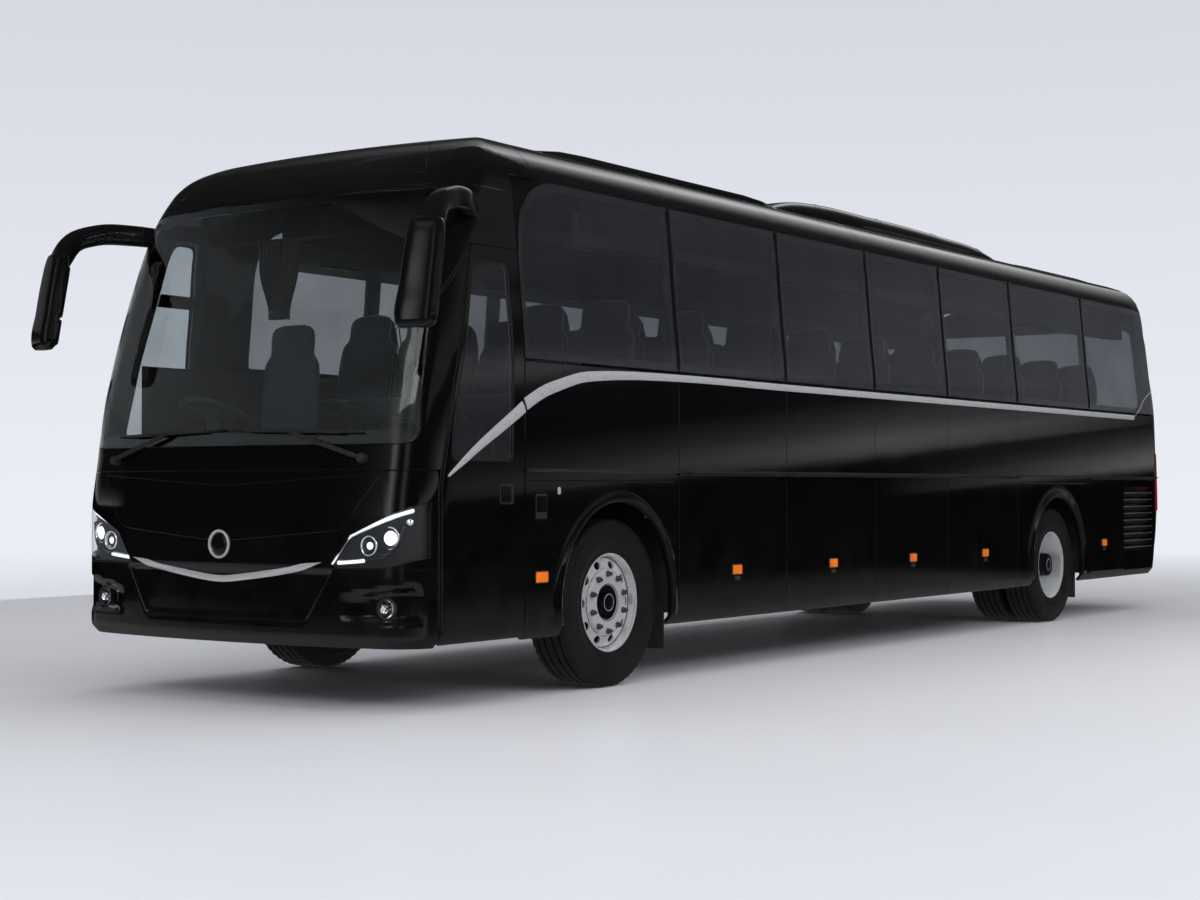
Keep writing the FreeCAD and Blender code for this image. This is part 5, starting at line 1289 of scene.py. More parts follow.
    # the dome over the windscreen
    turn = endAt(along(rear), front["domeFoot"])[0]
    flats = np.array([(turn * (1 - 2 * i / 70), front["domeFoot"]) for i in range(71)])
    foot = onBody(*frontRays(flats))[0]
    pillar = onBody(*leftRays(np.array([(along(-0.915), 2.79 + 0.098 * i / 4) for i in range(5)])))[0]
    step = onBody(*leftRays(np.array([(along(-0.915 + 0.212 * i / 5), 2.888) for i in range(6)])))[0]
    a = np.radians(np.linspace(65.6, -65.6, 61)) * arcReach
    over = onBody(*roofRays(np.stack([a, np.full(61, along(-0.703))], 1)))[0]
    flip = np.array([-1.0, 1, 1])
    edge = np.concatenate([foot[::-1], pillar[1:], step[1:], over[1:-1], step[::-1][:-1] * flip,
                           pillar[::-1][:-1] * flip])
    panel("domeSkin", domeFlat(edge), surfaceOf(domeRays), blackPaint, step=0.028,
          replaces=["front_dome"], depth=0.02)
    # seams of the dome's panel
    for name, a0, u0 in (("domeSeamLow", 0.690, 1.02), ("domeSeamHigh", 1.080, 0.90)):
        path = [(u0 * v, a0 - 0.030 * v ** 4) for v in np.linspace(-1, 1, 60)]
        ribbon(name, path, 0.005, 0.003, sealRubber, 0.0005, rays=domeRays)
        ribbon(name + "Edge", [(u, a + 0.012) for u, a in path], 0.018, 0.006, blackPaint, 0.0, rays=domeRays)
    for side in (1, -1):
        path = [(side * (1.02 - 0.12 * v), 0.66 + 0.42 * v) for v in np.linspace(0, 1, 20)]
        ribbon(f"domeSeam_{sideWord(side)}", path, 0.005, 0.003, sealRubber, 0.0005, rays=domeRays)
    print("front ready")


makeFront()

# Roof: the crown and the rounded rails over the windows
roof = {"shoulder": (48.6, 65.6), "start": -0.697, "end": 9.377}


def makeRoof():
    low, high = (math.radians(v) * arcReach for v in roof["shoulder"])
    stops = [roof["start"]] + list(sides["seams"][:6]) + [roof["end"]]
    place = surfaceOf(roofRays)
    for side in (1, -1):
        for i in range(len(stops) - 1):
            a, b = along(stops[i]) + 0.004, along(stops[i + 1]) - 0.004
            shape = [(side * low, a), (side * high, a), (side * high, b), (side * low, b)]
            panel(f"shoulderRail_{sideWord(side)}_{i + 1}", shape, place, blackPaint, step=0.06, edge=0.010,
                  replaces=["roof"])
    shape = [(-low + 0.003, along(stops[0])), (low - 0.003, along(stops[0])),
             (low - 0.003, along(stops[-1])), (-low + 0.003, along(stops[-1]))]
    panel("roofSkin", shape, place, blackPaint, step=0.12, replaces=["roof"])
    print("roof ready")


makeRoof()

# Rear: corners, cap, window and lid
rear = {"lampHalf": 1.010, "lampLow": 0.940,
        "lampPitch": 0.138, "lampReach": 0.212, "screen": [(-1.080, 1.930), (1.080, 1.930), (1.010, 2.720),
                                                           (-1.010, 2.720)]}


def rearAt(x, z):
    half = halfWidth - float(setBack(z, "side"))
    rc, radius = bodyForm["rearCorner"], bodyForm["rearRadius"]
    xc = half - rc
    vc = radius - math.sqrt((radius - rc) ** 2 - xc ** 2)
    side = abs(x)
    if side <= xc * radius / (radius - rc):
        inward = radius - math.sqrt(radius ** 2 - side ** 2)
    else:
        inward = vc - math.sqrt(max(rc ** 2 - (side - xc) ** 2, 0))
    y = rearEnd - float(setBack(z, "rear")) - inward
    return (math.copysign(math.atan2(side, y - bodyForm["rearCentre"]) * arcReach, x), z)


def makeRear():
    place = surfaceOf(rearRays)
    # lower corners, each with its column of lamps
    for side in (1, -1):
        word = sideWord(side)

        def at(y, z):
            return endAt(y, z, side, rear=True)

        lampFront = rearEnd - rear["lampReach"]
        lampTop = rear["lampLow"] + 4 * rear["lampPitch"]
        outline = [at(along(9.324), 0.336)] + [at(along(9.324), 0.336 + 0.914 * i / 20) for i in range(1, 21)]
        outline += [at(along(9.384), 1.250), at(along(9.384), 1.375), at(along(9.384), 1.494)]
        outline += [rearAt(side * x, 1.494) for x in (1.0, 0.992)]
        outline += [rearAt(side * 0.992, 1.494 - (1.494 - 0.598) * i / 20) for i in range(1, 21)]
        outline += [rearAt(side * (0.992 - 0.99 * i / 20), 0.596) for i in range(1, 21)]
        outline += [rearAt(side * 0.002, 0.336 + 0.26 * (1 - i / 6)) for i in range(1, 7)]
        start, end = rearAt(side * 0.002, 0.336)[0], outline[0][0]
        outline += [(start + (end - start) * i / 30, 0.336) for i in range(1, 30)]
        lamp = [at(lampFront, rear["lampLow"]), at(lampFront, lampTop),
                rearAt(side * rear["lampHalf"], lampTop), rearAt(side * rear["lampHalf"], rear["lampLow"])]
        panel(f"rearCorner_{word}", outline, place, blackPaint, step=0.035,
              holes=[spaced(lamp, 0.03)], replaces=["rear_corners"], depth=0.02)
        for i in range(4):
            z0 = rear["lampLow"] + i * rear["lampPitch"] + 0.004
            z1 = z0 + rear["lampPitch"] - 0.008
            shape = [at(lampFront + 0.004, z0), at(lampFront + 0.004, z1),
                     rearAt(side * (rear["lampHalf"] + 0.004), z1),
                     rearAt(side * (rear["lampHalf"] + 0.004), z0)]
            panel(f"tailLamp_{word}_{i + 1}", rounded(spaced(shape, 0.04), 0.0),
                  surfaceOf(rearRays, lift=0.009),
                  redLens, step=0.02, edge=0.007, depth=0.020, replaces=["tail_lamps"])
    lid = [rearAt(x, z) for x, z in spaced(rounded(rect(-0.987, 0.987, 0.602, 1.493), 0.03, 5), 0.06)]
    panel("engineLidSkin", lid, place, blackPaint, "engine_lid", step=0.05,
          replaces=["engine_lid"], depth=0.02)
    # the cap above the lid, up to the roof
    side = endAt(along(9.384), 1.500, 1, True)[0]
    outline = [(-side + 2 * side * i / 50, 1.500) for i in range(51)]
    outline += [endAt(along(9.384), 1.500 + 1.385 * i / 30, 1, True) for i in range(1, 31)]
    top = outline[-1][0]
    outline += [(top - 2 * top * i / 50, 2.885) for i in range(1, 51)]
    outline += [endAt(along(9.384), 2.885 - 1.385 * i / 30, -1, True) for i in range(1, 30)]
    screen = rounded(rear["screen"], 0.09, 8)
    hole = [rearAt(x, z) for x, z in spaced(screen, 0.05)]
    panel("rearCapSkin", outline, place, blackPaint, step=0.045, holes=[hole],
          replaces=["rear_cap"], depth=0.02)
    panel("rearScreen", [rearAt(x, z) for x, z in spaced(shrunk(screen, 0.006), 0.05)], place, sideGlass,
          step=0.07, edge=0.002, depth=0.004, back=True, replaces=["windows"])
    foot = onBody(*rearRays(np.array([(top - 2 * top * i / 50, 2.885) for i in range(51)])))[0]
    a = np.radians(np.linspace(-65.6, 65.6, 61)) * arcReach
    over = onBody(*roofRays(np.stack([a, np.full(61, along(9.384))], 1)))[0]
    edge = np.concatenate([foot, over])
    panel("rearDome", domeFlat(edge, bodyForm["rearCentre"], 1), surfaceOf(rearDomeRays), blackPaint,
          step=0.035, depth=0.02)
    print("rear ready")


makeRear()


def disc(name, centre, normal, radius, profile, finish, slot=None, parts=48):
    # A turned button: profile of (radius share, height) from its rim to its middle.
    n = Vector(normal).normalized()
    u = n.orthogonal().normalized()
    v = n.cross(u)
    points = []
    for share, height in profile:
        for i in range(parts):
            t = 2 * math.pi * i / parts
            points.append(Vector(centre) + (u * math.cos(t) + v * math.sin(t)) * radius * share + n * height)
    faces = gridFaces(len(profile), parts) + endFaces(len(profile), parts)[1:]
    return solidPiece(name, points, faces, finish, "body", slot)


def spotOn(rays, q, relief=None):
    p, n = onBody(*rays(np.array([q])), relief)
    return Vector(p[0]), Vector(n[0])


# Headlamps and fog lamps
lamps = {"depth": 0.032, "guideWidth": 0.017,
         "top": [(0.762, 0.768), (0.800, 0.830), (0.858, 0.905), (0.900, 0.928), (1.055, 0.986),
                 (1.150, 1.022), (1.214, 1.046)],
         "foot": [(0.800, 0.772), (0.900, 0.780), (0.962, 0.786)],
         "side": [(0.975, 0.787), (1.060, 0.797), (1.120, 0.826), (1.158, 0.885), (1.182, 0.965)],
         "outer": ((1.092, 0.903), 0.054), "inner": ((0.975, 0.863), 0.047),
         "marker": ((1.200, 0.985), 0.020)}


def sampled(points, count, side=1):
    # Front view points as an evenly stepped, smoothed line on the flat plane.
    line = np.array(points)
    for _ in range(2):
        middle = np.empty((2 * len(line) - 2, 2))
        middle[0::2] = 0.75 * line[:-1] + 0.25 * line[1:]
        middle[1::2] = 0.25 * line[:-1] + 0.75 * line[1:]
        line = np.concatenate([line[:1], middle, line[-1:]])
    reach = np.concatenate([[0], np.cumsum(np.linalg.norm(np.diff(line, axis=0), axis=1))])
    t = np.linspace(0, reach[-1], count)
    x, z = np.interp(t, reach, line[:, 0]), np.interp(t, reach, line[:, 1])
    return [frontAt(side * a, b) for a, b in zip(x, z)]


def makeLamps():
    for side in (1, -1):
        word = sideWord(side)

        def flip(flat):
            return flat if side > 0 else [(-u, z) for u, z in reversed(flat)]

        shape = flip(frontOutline(lampEdge(-0.001)))
        panel(f"headlampBowl_{word}", shape, surfaceOf(frontRays, lift=-lamps["depth"]), lampHousing,
              step=0.03, edge=0.001, depth=0.002)
        panel(f"headlampCover_{word}", shape, surfaceOf(frontRays),
              clearLens, step=0.025, edge=0.002, depth=0.002, replaces=["front_lamps"], back=True)
        for key, count in (("top", 40), ("foot", 14), ("side", 26)):
            outer = key == "side"
            path, width = sampled(lamps[key], count, side), lamps["guideWidth"] * (0.4 if outer else 1)
            ribbon(f"lightGuide_{key}_{word}", path, width, 0.012, darkAlloy if outer else lightGuide, -0.018,
                   slot="lens")
            ribbon(f"lightGuideBed_{key}_{word}", path, width + 0.014, 0.012, pianoPlastic
                   if outer else lampBowl,
                   -0.027, slot="bright")
        for key, glow in (("outer", lampCore), ("inner", lampBowl)):
            (x, z), r = lamps[key]
            p, n = spotOn(frontRays, frontAt(side * x, z))
            aim = (n * 0.35 + Vector((0, -1, 0))).normalized()
            base = p - n * (0.040 if key == "outer" else 0.027) + Vector((0, 0.004, 0))
            disc(f"lampRing_{key}_{word}", base, aim, r, [
                (1.12, -0.012), (1.16, 0.004), (1.10, 0.012), (1.0, 0.013), (0.94, 0.006), (0.90, -0.002),
                (0.60, -0.012), (0.0, -0.014)], lampBowl)
            disc(f"lampEye_{key}_{word}", base, aim, r * 0.78, [
                (1.0, 0.0), (0.97, 0.006), (0.85, 0.013), (0.6, 0.019), (0.3, 0.0215), (0.0, 0.022)],
                glow if key == "outer" else clearLens, slot="lens")
            if key == "inner":
                disc(f"lampSpark_{word}", base - aim * 0.004, aim, r * 0.42,
                     [(1.0, 0.0), (0.8, 0.006), (0.0, 0.009)], lampCore)
        (x, z), r = lamps["marker"]
        p, n = spotOn(frontRays, frontAt(side * x, z))
        disc(f"lampMarker_{word}", p - n * 0.030, n, r, [
            (1.0, 0.0), (0.95, 0.006), (0.6, 0.011), (0.0, 0.013)], lampBowl)
        # fog lamp: bowl, crossed reflector and lens in a dark ring
        x, z, r = front["fog"]
        p, n = spotOn(frontRays, frontAt(side * x, z), creaseRelief)
        aim = (n * 0.5 + Vector((0, -1, 0))).normalized()
        base = p - aim * 0.010
        disc(f"fogRing_{word}", base, aim, r, [
            (1.0, -0.02), (1.0, 0.010), (0.93, 0.016), (0.86, 0.012), (0.82, 0.0), (0.80, -0.020),
            (0.0, -0.022)],
            darkPlastic)
        disc(f"fogBowl_{word}", base, aim, r * 0.78, [
            (1.0, 0.002), (0.9, -0.006), (0.6, -0.014), (0.3, -0.018), (0.0, -0.019)], lampBowl)
        u = aim.orthogonal().normalized()
        for i in range(2):
            way = (Matrix.Rotation(math.radians(90 * i + 8), 3, aim) @ u).normalized()
            other = aim.cross(way)
            swept(f"fogBar_{i}_{word}", [(base + way * t - aim * 0.004, other * 0.0035, aim * 0.004)
                                          for t in np.linspace(-r * 0.72, r * 0.72, 5)], darkPlastic, slot="",
                                          parts=8)
        disc(f"fogLens_{word}", base, aim, r * 0.80, [
            (1.0, 0.004), (0.92, 0.010), (0.7, 0.014), (0.4, 0.017), (0.0, 0.018)], clearLens)
        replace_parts(bpy.data.objects[f"fogLens_{word}"], "front_lamps")
    print("lamps ready")


makeLamps()

# Bright strips, the blank boss and the wipers
trim = {"belt": [(-0.908, 1.618, 0.070), (-0.75, 1.690, 0.068), (-0.56, 1.745, 0.064), (-0.38, 1.787, 0.060),
                 (-0.19, 1.805, 0.056), (0.10, 1.820, 0.050), (0.50, 1.828, 0.045), (2.0, 1.828, 0.044),
                 (4.5, 1.828, 0.044), (7.0, 1.828, 0.044), (8.76, 1.828, 0.044)],
        "doorBelt": [(-1.575, 1.222, 0.012), (-1.45, 1.300, 0.034), (-1.30, 1.392, 0.048),
                     (-1.15, 1.475, 0.058),
                     (-1.02, 1.548, 0.064), (-0.924, 1.603, 0.068)],
        "proud": 0.007,
        "vee": [(0.700, 0.7740), (0.60, 0.7530), (0.45, 0.7260), (0.30, 0.7030), (0.15, 0.6850),
                (0.0, 0.6690)]}


def bevelledStrip(name, stations, place, finish, body, slot, proud, replaces=()):
    # A strip with a ridge along it. Stations are (flat u, flat v, width).
    flat = np.array([(a, b) for a, b, _ in stations])
    p, n = place(flat)
    run = np.gradient(p, axis=0)
    run /= np.linalg.norm(run, axis=1)[:, None]
    across = np.cross(n, run)
    section = [(-0.5, -0.2), (-0.5, 0.35), (-0.46, 0.6), (0.02, 1.0), (0.08, 0.98), (0.47, 0.45), (0.5, 0.25),
               (0.5, -0.2)]
    points = []
    k = len(section)
    for i in range(len(p)):
        width = stations[i][2]
        for a, b in section:
            points.append(p[i] + across[i] * a * width + n[i] * b * proud)
    faces = gridFaces(len(p), k, False) + endFaces(len(p), k)
    piece = solidPiece(name, points, faces, finish, body, slot, replaces=replaces)
    work = bmesh.new()
    work.from_mesh(piece.data)
    sharp = [e for e in work.edges if len(e.link_faces) == 2 and e.calc_face_angle(0) > 0.25]
    for e in sharp:
        e.smooth = False
    work.to_mesh(piece.data)
    work.free()
    return piece


def denser(rows, count, columns=2):
    # Rows of numbers spread evenly along the curve of their first columns.
    rows = np.array(rows, float)
    reach = np.concatenate([[0], np.cumsum(np.linalg.norm(np.diff(rows[:, :columns], axis=0), axis=1))])
    t = np.linspace(0, reach[-1], count)
    slopes = np.gradient(rows, reach, axis=0)
    i = np.clip(np.searchsorted(reach, t, side="right") - 1, 0, len(rows) - 2)
    h = (reach[i + 1] - reach[i])[:, None]
    s = ((t - reach[i]) / (reach[i + 1] - reach[i]))[:, None]
    return ((1 + 2 * s) * (1 - s) ** 2 * rows[i] + s * (1 - s) ** 2 * h * slopes[i]
            + s * s * (3 - 2 * s) * rows[i + 1] - s * s * (1 - s) * h * slopes[i + 1])


def makeTrim():
    for side, rays in ((1, leftRays), (-1, rightRays)):
        rows = [(along(s), z, w) for s, z, w in denser(trim["belt"], 140)]
        bevelledStrip(f"beltStrip_{sideWord(side)}", rows, surfaceOf(rays), satinStrip, "body", "bright",
                      trim["proud"], ["bright_trim"])
    rows = [(*endAt(along(s), z), w) for s, z, w in denser(trim["doorBelt"], 24)]
    bevelledStrip("doorBeltStrip", rows, surfaceOf(frontRays), satinStrip, "door", "bright", trim["proud"])
    half = denser(trim["vee"], 24)
    rows = [(*frontAt(x, z), 0.006 + 0.030 * min(1, (0.69 - abs(x)) / 0.10))
            for x, z in list(half) + [(-x, z) for x, z in half[-2::-1]]]
    def taut(q):
        # the skin's line, evened out and lifted until none of it is under the skin
        p, n = onBody(*frontRays(q), creaseRelief)
        share = np.exp(-np.linspace(-2, 2, 13) ** 2)
        share /= share.sum()
        even = [np.stack([np.convolve(np.pad(v[:, i], 6, "reflect", reflect_type="odd"), share, "valid")
                          for i in range(3)], 1) for v in (p, n)]
        n = even[1] / np.linalg.norm(even[1], axis=1)[:, None]
        return even[0] + n * (np.max(np.sum((p - even[0]) * n, axis=1)) + 0.003), n

    bevelledStrip("frontVee", rows, taut, brightMetal, "body", "bright", 0.009, ["bright_trim"])
    p, n = spotOn(frontRays, (0.0, 0.860), creaseRelief)
    disc("frontBoss", p, n, 0.078, [(1.0, -0.004), (1.0, 0.005), (0.97, 0.009), (0.91, 0.011), (0.85, 0.0085),
                                    (0.82, 0.002), (0.0, 0.001)],
         brightMetal)
    disc("frontBossDome", p, n, 0.0635, [(1.0, 0.001), (0.99, 0.005), (0.75, 0.0095), (0.4, 0.012),
                                         (0.0, 0.013)], pianoPlastic)
    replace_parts(bpy.data.objects["frontBoss"], "bright_trim")
    # wipers: a slim blade on a carrier, an arm and its pivot
    for side in (1, -1):
        word = sideWord(side)
        blade = [frontAt(side * x, 1.472 - 0.030 * (x - 0.07)) for x in np.linspace(0.03, 0.90, 30)]
        ribbon(f"wiperBlade_{word}", blade, 0.012, 0.018, sealRubber, 0.012)
        ribbon(f"wiperCarrier_{word}", blade[4:-4], 0.018, 0.012, darkPlastic, 0.024)
        arm = [frontAt(side * x, z) for x, z in zip(np.linspace(0.925, 0.43, 24),
                                                    np.linspace(1.312, 1.462, 24))]
        ribbon(f"wiperArm_{word}", arm, 0.026, 0.014, darkPlastic, 0.034, taper=0.5)
        p, n = spotOn(frontRays, frontAt(side * 0.925, 1.312))
        disc(f"wiperPivot_{word}", p, n, 0.026, [(1.1, -0.004), (1.1, 0.02), (0.95, 0.036), (0.8, 0.044),
                                                 (0.4, 0.047), (0.0, 0.048)], darkPlastic, parts=28)
        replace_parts(bpy.data.objects[f"wiperArm_{word}"], "wipers")
    print("trim ready")


makeTrim()

# Side fittings: arch flares, marker lamps, latches and handles
fittings = {"markers": [(-0.76, 0.670, "body"), (1.35, 0.640, "luggage_flap_{}_1"),
                        (2.66, 0.640, "luggage_flap_{}_2"),
                        (3.93, 0.640, "luggage_flap_{}_3"), (5.26, 0.640, "luggage_flap_{}_4"),
                        (7.95, 0.660, "service_flap_{}")],
            "markerHalf": (0.052, 0.026),
            "grille": {"slats": 9, "low": 0.580, "high": 1.157, "ends": (8.42, 9.32), "inset": 0.047,
                       "screen": (0.052, 0.046), "wall": 0.0285},
            # name, behind the front axle, height, half sizes, finish, thickness, corner, slot, lift
            "latch": [("latchFrame", -0.765, 1.060, (0.062, 0.078), pianoPlastic, 0.0025, 0.016, None, 0.0),
                      ("latchDish", -0.765, 1.060, (0.051, 0.067), darkPlastic, 0.002, 0.012, "rubber",
                       0.002),
                      ("latchPaddle", -0.765, 1.072, (0.042, 0.042), pianoPlastic, 0.005, 0.010, None,
                       0.003)],
            "ledgeStart": {1: -0.880, -1: -1.60}, "fillerAt": {1: -0.595, -1: -1.35},
            "flares": [("Front", frontAxle, 0.070), ("Rear", rearAxle, 0.105)]}


def makeFlare(name, axle, reach, side):
    # A lip round a wheel arch: flat band outside, rolled edge inside.
    r0, h = sides["archRadius"], sides["archHeight"]
    section = [(r0 + reach, -0.001), (r0 + reach - 0.004, 0.004), (r0 + reach * 0.62, 0.0085),
               (r0 + 0.022, 0.0165),
               (r0 + 0.012, 0.0178), (r0 + 0.004, 0.0160), (r0 + 0.0005, 0.0110), (r0, 0.002), (r0, -0.030)]
    points = []
    parts, k = 72, len(section)
    for i in range(parts + 1):
        for r, out in section:
            low = math.asin((0.392 - h) / r)
            t = low + (math.pi - 2 * low) * i / parts
            points.append((side * (halfWidth + out), axle + r * math.cos(t), h + r * math.sin(t)))
    faces = gridFaces(parts + 1, k, False) + endFaces(parts + 1, k)
    solidPiece(name, points, faces, blackPaint, "body", "gloss_plastic", replaces=["arch_flares"])


def plateOn(name, s, z, halves, rays, finish, body, thick=0.006, radius=0.008, slot=None, lift=0.0):
    # A thin plate on the side with rolled edges.
    a, b = halves
    shape = rounded(rect(along(s) - a, along(s) + a, z - b, z + b), radius, 4)
    return panel(name, shape, surfaceOf(rays, lift=thick + lift), finish, body, step=0.03,
                 edge=min(0.003, thick * 0.6),
                 depth=thick, slot=slot)


def makeFittings():
    for side, rays in ((1, leftRays), (-1, rightRays)):
        word = sideWord(side)
        for end, axle, reach in fittings["flares"]:
            makeFlare(f"archFlare{end}_{word}", axle, reach, side)
        for i, (s, z, body) in enumerate(fittings["markers"]):
            body = body.format(word)
            a, b = fittings["markerHalf"]
            plateOn(f"markerFrame_{word}_{i}", s, z, (a + 0.007, b + 0.007), rays, darkPlastic, body, 0.004)
            plateOn(f"markerLens_{word}_{i}", s, z, (a, b), rays, amberLens, body, 0.005, 0.005, lift=0.003)
            if i > 0:
                plateOn(f"flapLatch_{word}_{i}", s + 0.005, z - 0.055, (0.030, 0.012), rays, darkPlastic,
                        body, 0.004, 0.006)
        # a latch beside the wheel arch
        for name, s, z, halves, finish, thick, radius, slot, lift in fittings["latch"]:
            plateOn(f"{name}_{word}", s, z, halves, rays, finish, "body", thick, radius, slot, lift)
        plateOn(f"fillerDoor_{word}", fittings["fillerAt"][side], 1.145, (0.012, 0.019), rays, brightMetal,
                "body", 0.003, 0.008)
        # grille slats with their lips in a light grey that is a painted highlight, the dark screen behind
        # them and its end walls
        grille, grilleDoor = fittings["grille"], f"grille_door_{word}"
        count, low, high, (start, end) = grille["slats"], grille["low"], grille["high"], grille["ends"]
        left, right = along(start) + grille["inset"], along(end) - grille["inset"]
        deep, near = (side * (halfWidth - v) for v in grille["screen"])
        for i in range(count):
            z = low + (high - low) * (i + 0.5) / count
            rows = [((side * (halfWidth - 0.020), y, z + 0.002), (side * 0.017, 0, -0.016),
                     (side * 0.003, 0, 0.004)) for y in (left, right)]
            swept(f"grilleSlat_{word}_{i + 1}", rows, pianoPlastic, grilleDoor, "gloss_plastic", 12, power=3)
            rows = [((side * (halfWidth - 0.0055), y, z - 0.012), (side * 0.003, 0, 0), (0, 0, 0.0045))
                    for y in (left, right)]
            swept(f"grilleLip_{word}_{i + 1}", rows, paintedHighlightGrey, grilleDoor, "gloss_plastic", 8, power=3)
        blockPiece(f"grilleScreen_{word}", *sorted([(deep, left, low), (near, right, high)]), darkPlastic,
                   grilleDoor, "gloss_plastic", 0.001)
        inner, outer = sorted((deep, side * (halfWidth - grille["wall"])))
        for k, (a, b) in enumerate(((left - 0.004, left + 0.002), (right - 0.002, right + 0.004))):
            blockPiece(f"grilleEnd_{word}_{k}", (inner, a, low), (outer, b, high), darkPlastic, grilleDoor,
                       "gloss_plastic", 0.001)
        # hinge knuckles of the flaps
        for body, first, last in [(f"luggage_flap_{word}_{n + 1}", n, n + 1) for n in range(4)] + [
                (f"service_flap_{word}", 5, 6), (grilleDoor, 6, 7)]:
            for k, y in enumerate((along(sides["seams"][first]) + 0.120,
                                   along(sides["seams"][last]) - 0.180)):
                rows = [((side * 1.287, y + 0.06 * t, 1.242), (0.0085, 0, 0), (0, 0, 0.0085))
                        for t in (0, 0.04, 0.5, 0.96, 1)]
                swept(f"flapHinge_{body}_{k}", rows, darkPlastic, body, "steel", 12)
        ledgeStart = fittings["ledgeStart"][side]
        for k, (a, b) in enumerate(((ledgeStart, 0.625), (5.975, 7.555))):
            path = [(along(v), 1.200) for v in np.linspace(a, b, 24)]
            ribbon(f"archLedge_{word}_{k}", path, 0.012, 0.007, blackPaint, 0.001, rays=rays, taper=0.2)
        # a light grey line along the waist seam: a painted highlight on the seam's rolled edge
        for k, (a, b) in enumerate(((ledgeStart, 0.655), (0.665, 5.935), (5.945, 9.30))):
            ribbon(f"waistEdge_{word}_{k}", [(along(v), 1.2535) for v in np.linspace(a, b, 60)], 0.0045,
                   0.003, paintedHighlightGrey, 0.0, slot="paint", rays=rays)
        path = [(along(a), z) for a, z in denser([(8.760, 1.836), (8.910, 1.905), (9.050, 2.000),
                                                  (9.34, 2.110)], 24)]
        ribbon(f"rearSweep_{word}", path, 0.010, 0.004, satinStrip, 0.001, rays=rays, taper=0.6)
    path = [endAt(along(a - 0.005), z) for a, z in spaced(door["front"][::-1] + [(-3.0, 0.3)], 0.06)
            if a > -1.7 and z > 0.40]
    for k, off in enumerate((-0.010, 0.0045)):
        ribbon(f"doorEdgeSeal_{k}", [(u - off, z) for u, z in path], 0.006, 0.006, sealRubber, 0.001)
    # door handle
    shape = cornerFlat(rounded(rect(-1.135, -1.015, 1.075, 1.180), 0.014, 4))
    panel("doorHandleDish", shape, surfaceOf(frontRays, lift=0.002), darkPlastic, "door", step=0.02,
          edge=0.0015, depth=0.002, slot="rubber")
    shape = cornerFlat(rounded(rect(-1.120, -1.045, 1.088, 1.166), 0.010, 4))
    panel("doorHandlePaddle", shape, surfaceOf(frontRays, lift=0.009), pianoPlastic, "door", step=0.02,
          edge=0.004, depth=0.004)
    print("fittings ready")


makeFittings()

# Wheels
wheels = {"centre": 1.0925, "inner": 0.7775, "half": 0.1425,
          "grooves": [-0.078, -0.027, 0.027, 0.078], "grooveHalf": 0.0055, "grooveDepth": 0.013,
          "handHoles": 10, "nuts": 10, "nutCircle": 0.1675, "lip": 1.213,
          # inwards from the lip, radius
          "rimEdge": [(0.030, 0.2725), (0.016, 0.2735), (0.012, 0.2760), (0.006, 0.2775), (0.002, 0.2795),
                      (0.0, 0.2830), (0.001, 0.2870),
                      (0.004, 0.2895), (0.008, 0.2900)]}
# profile: radius, outwards from the disc; hub: outwards from the disc, radius;
# hubEnd: inwards from the lip, radius
wheels["front"] = {
    "names": ("wheel_front_{}", "tyre_front_{}", "rim_front_{}"), "disc": 1.168,
    "inside": wheels["centre"] - 0.1205, "foot": 0.268,
    "profile": [(0.290, -0.014), (0.270, -0.010), (0.262, -0.006), (0.240, 0.000), (0.205, 0.008),
                (0.196, 0.012),
                (0.190, 0.020), (0.186, 0.0255), (0.180, 0.0285), (0.172, 0.0295), (0.110, 0.0295),
                (0.106, 0.028), (0.090, 0.018)],
    "hole": (0.2265, 0.0330, 0.0255), "outer": 0.266, "finish": alloy, "nutOut": 0.0295,
    "nutFinish": nutSteel,
    "hub": [(-0.030, 0.106), (0.010, 0.104), (0.020, 0.101), (0.024, 0.092), (0.014, 0.086), (0.012, 0.070),
            (0.014, 0.060),
            (0.032, 0.058), (0.036, 0.055), (0.038, 0.048), (0.036, 0.044), (0.0375, 0.034), (0.041, 0.020),
            (0.042, 0.0)],
    "hubEnd": []}
# the rear discs take the darker alloy: painted shade in their deep dish
wheels["rear"] = {
    "names": ("wheels_rear_{}", "tyres_rear_{}", "rims_rear_{}"), "disc": 0.963,
    "inside": wheels["inner"] - 0.1205, "foot": 0.262,
    "profile": [(0.290, 0.012), (0.262, 0.008), (0.235, 0.000), (0.195, -0.004), (0.186, -0.003),
                (0.180, 0.002), (0.172, 0.004), (0.110, 0.004), (0.090, 0.004)],
    "hole": (0.2200, 0.0330, 0.0250), "outer": 0.260, "finish": shadedDiscAlloy, "nutOut": 0.004,
    "nutFinish": brightMetal,
    "hub": [(-0.030, 0.106), (0.010, 0.105), (0.050, 0.103)],
    "hubEnd": [(0.060, 0.099), (0.036, 0.096), (0.026, 0.090), (0.023, 0.070), (0.028, 0.064), (0.028, 0.050),
               (0.022, 0.046), (0.020, 0.030), (0.020, 0.0)]}


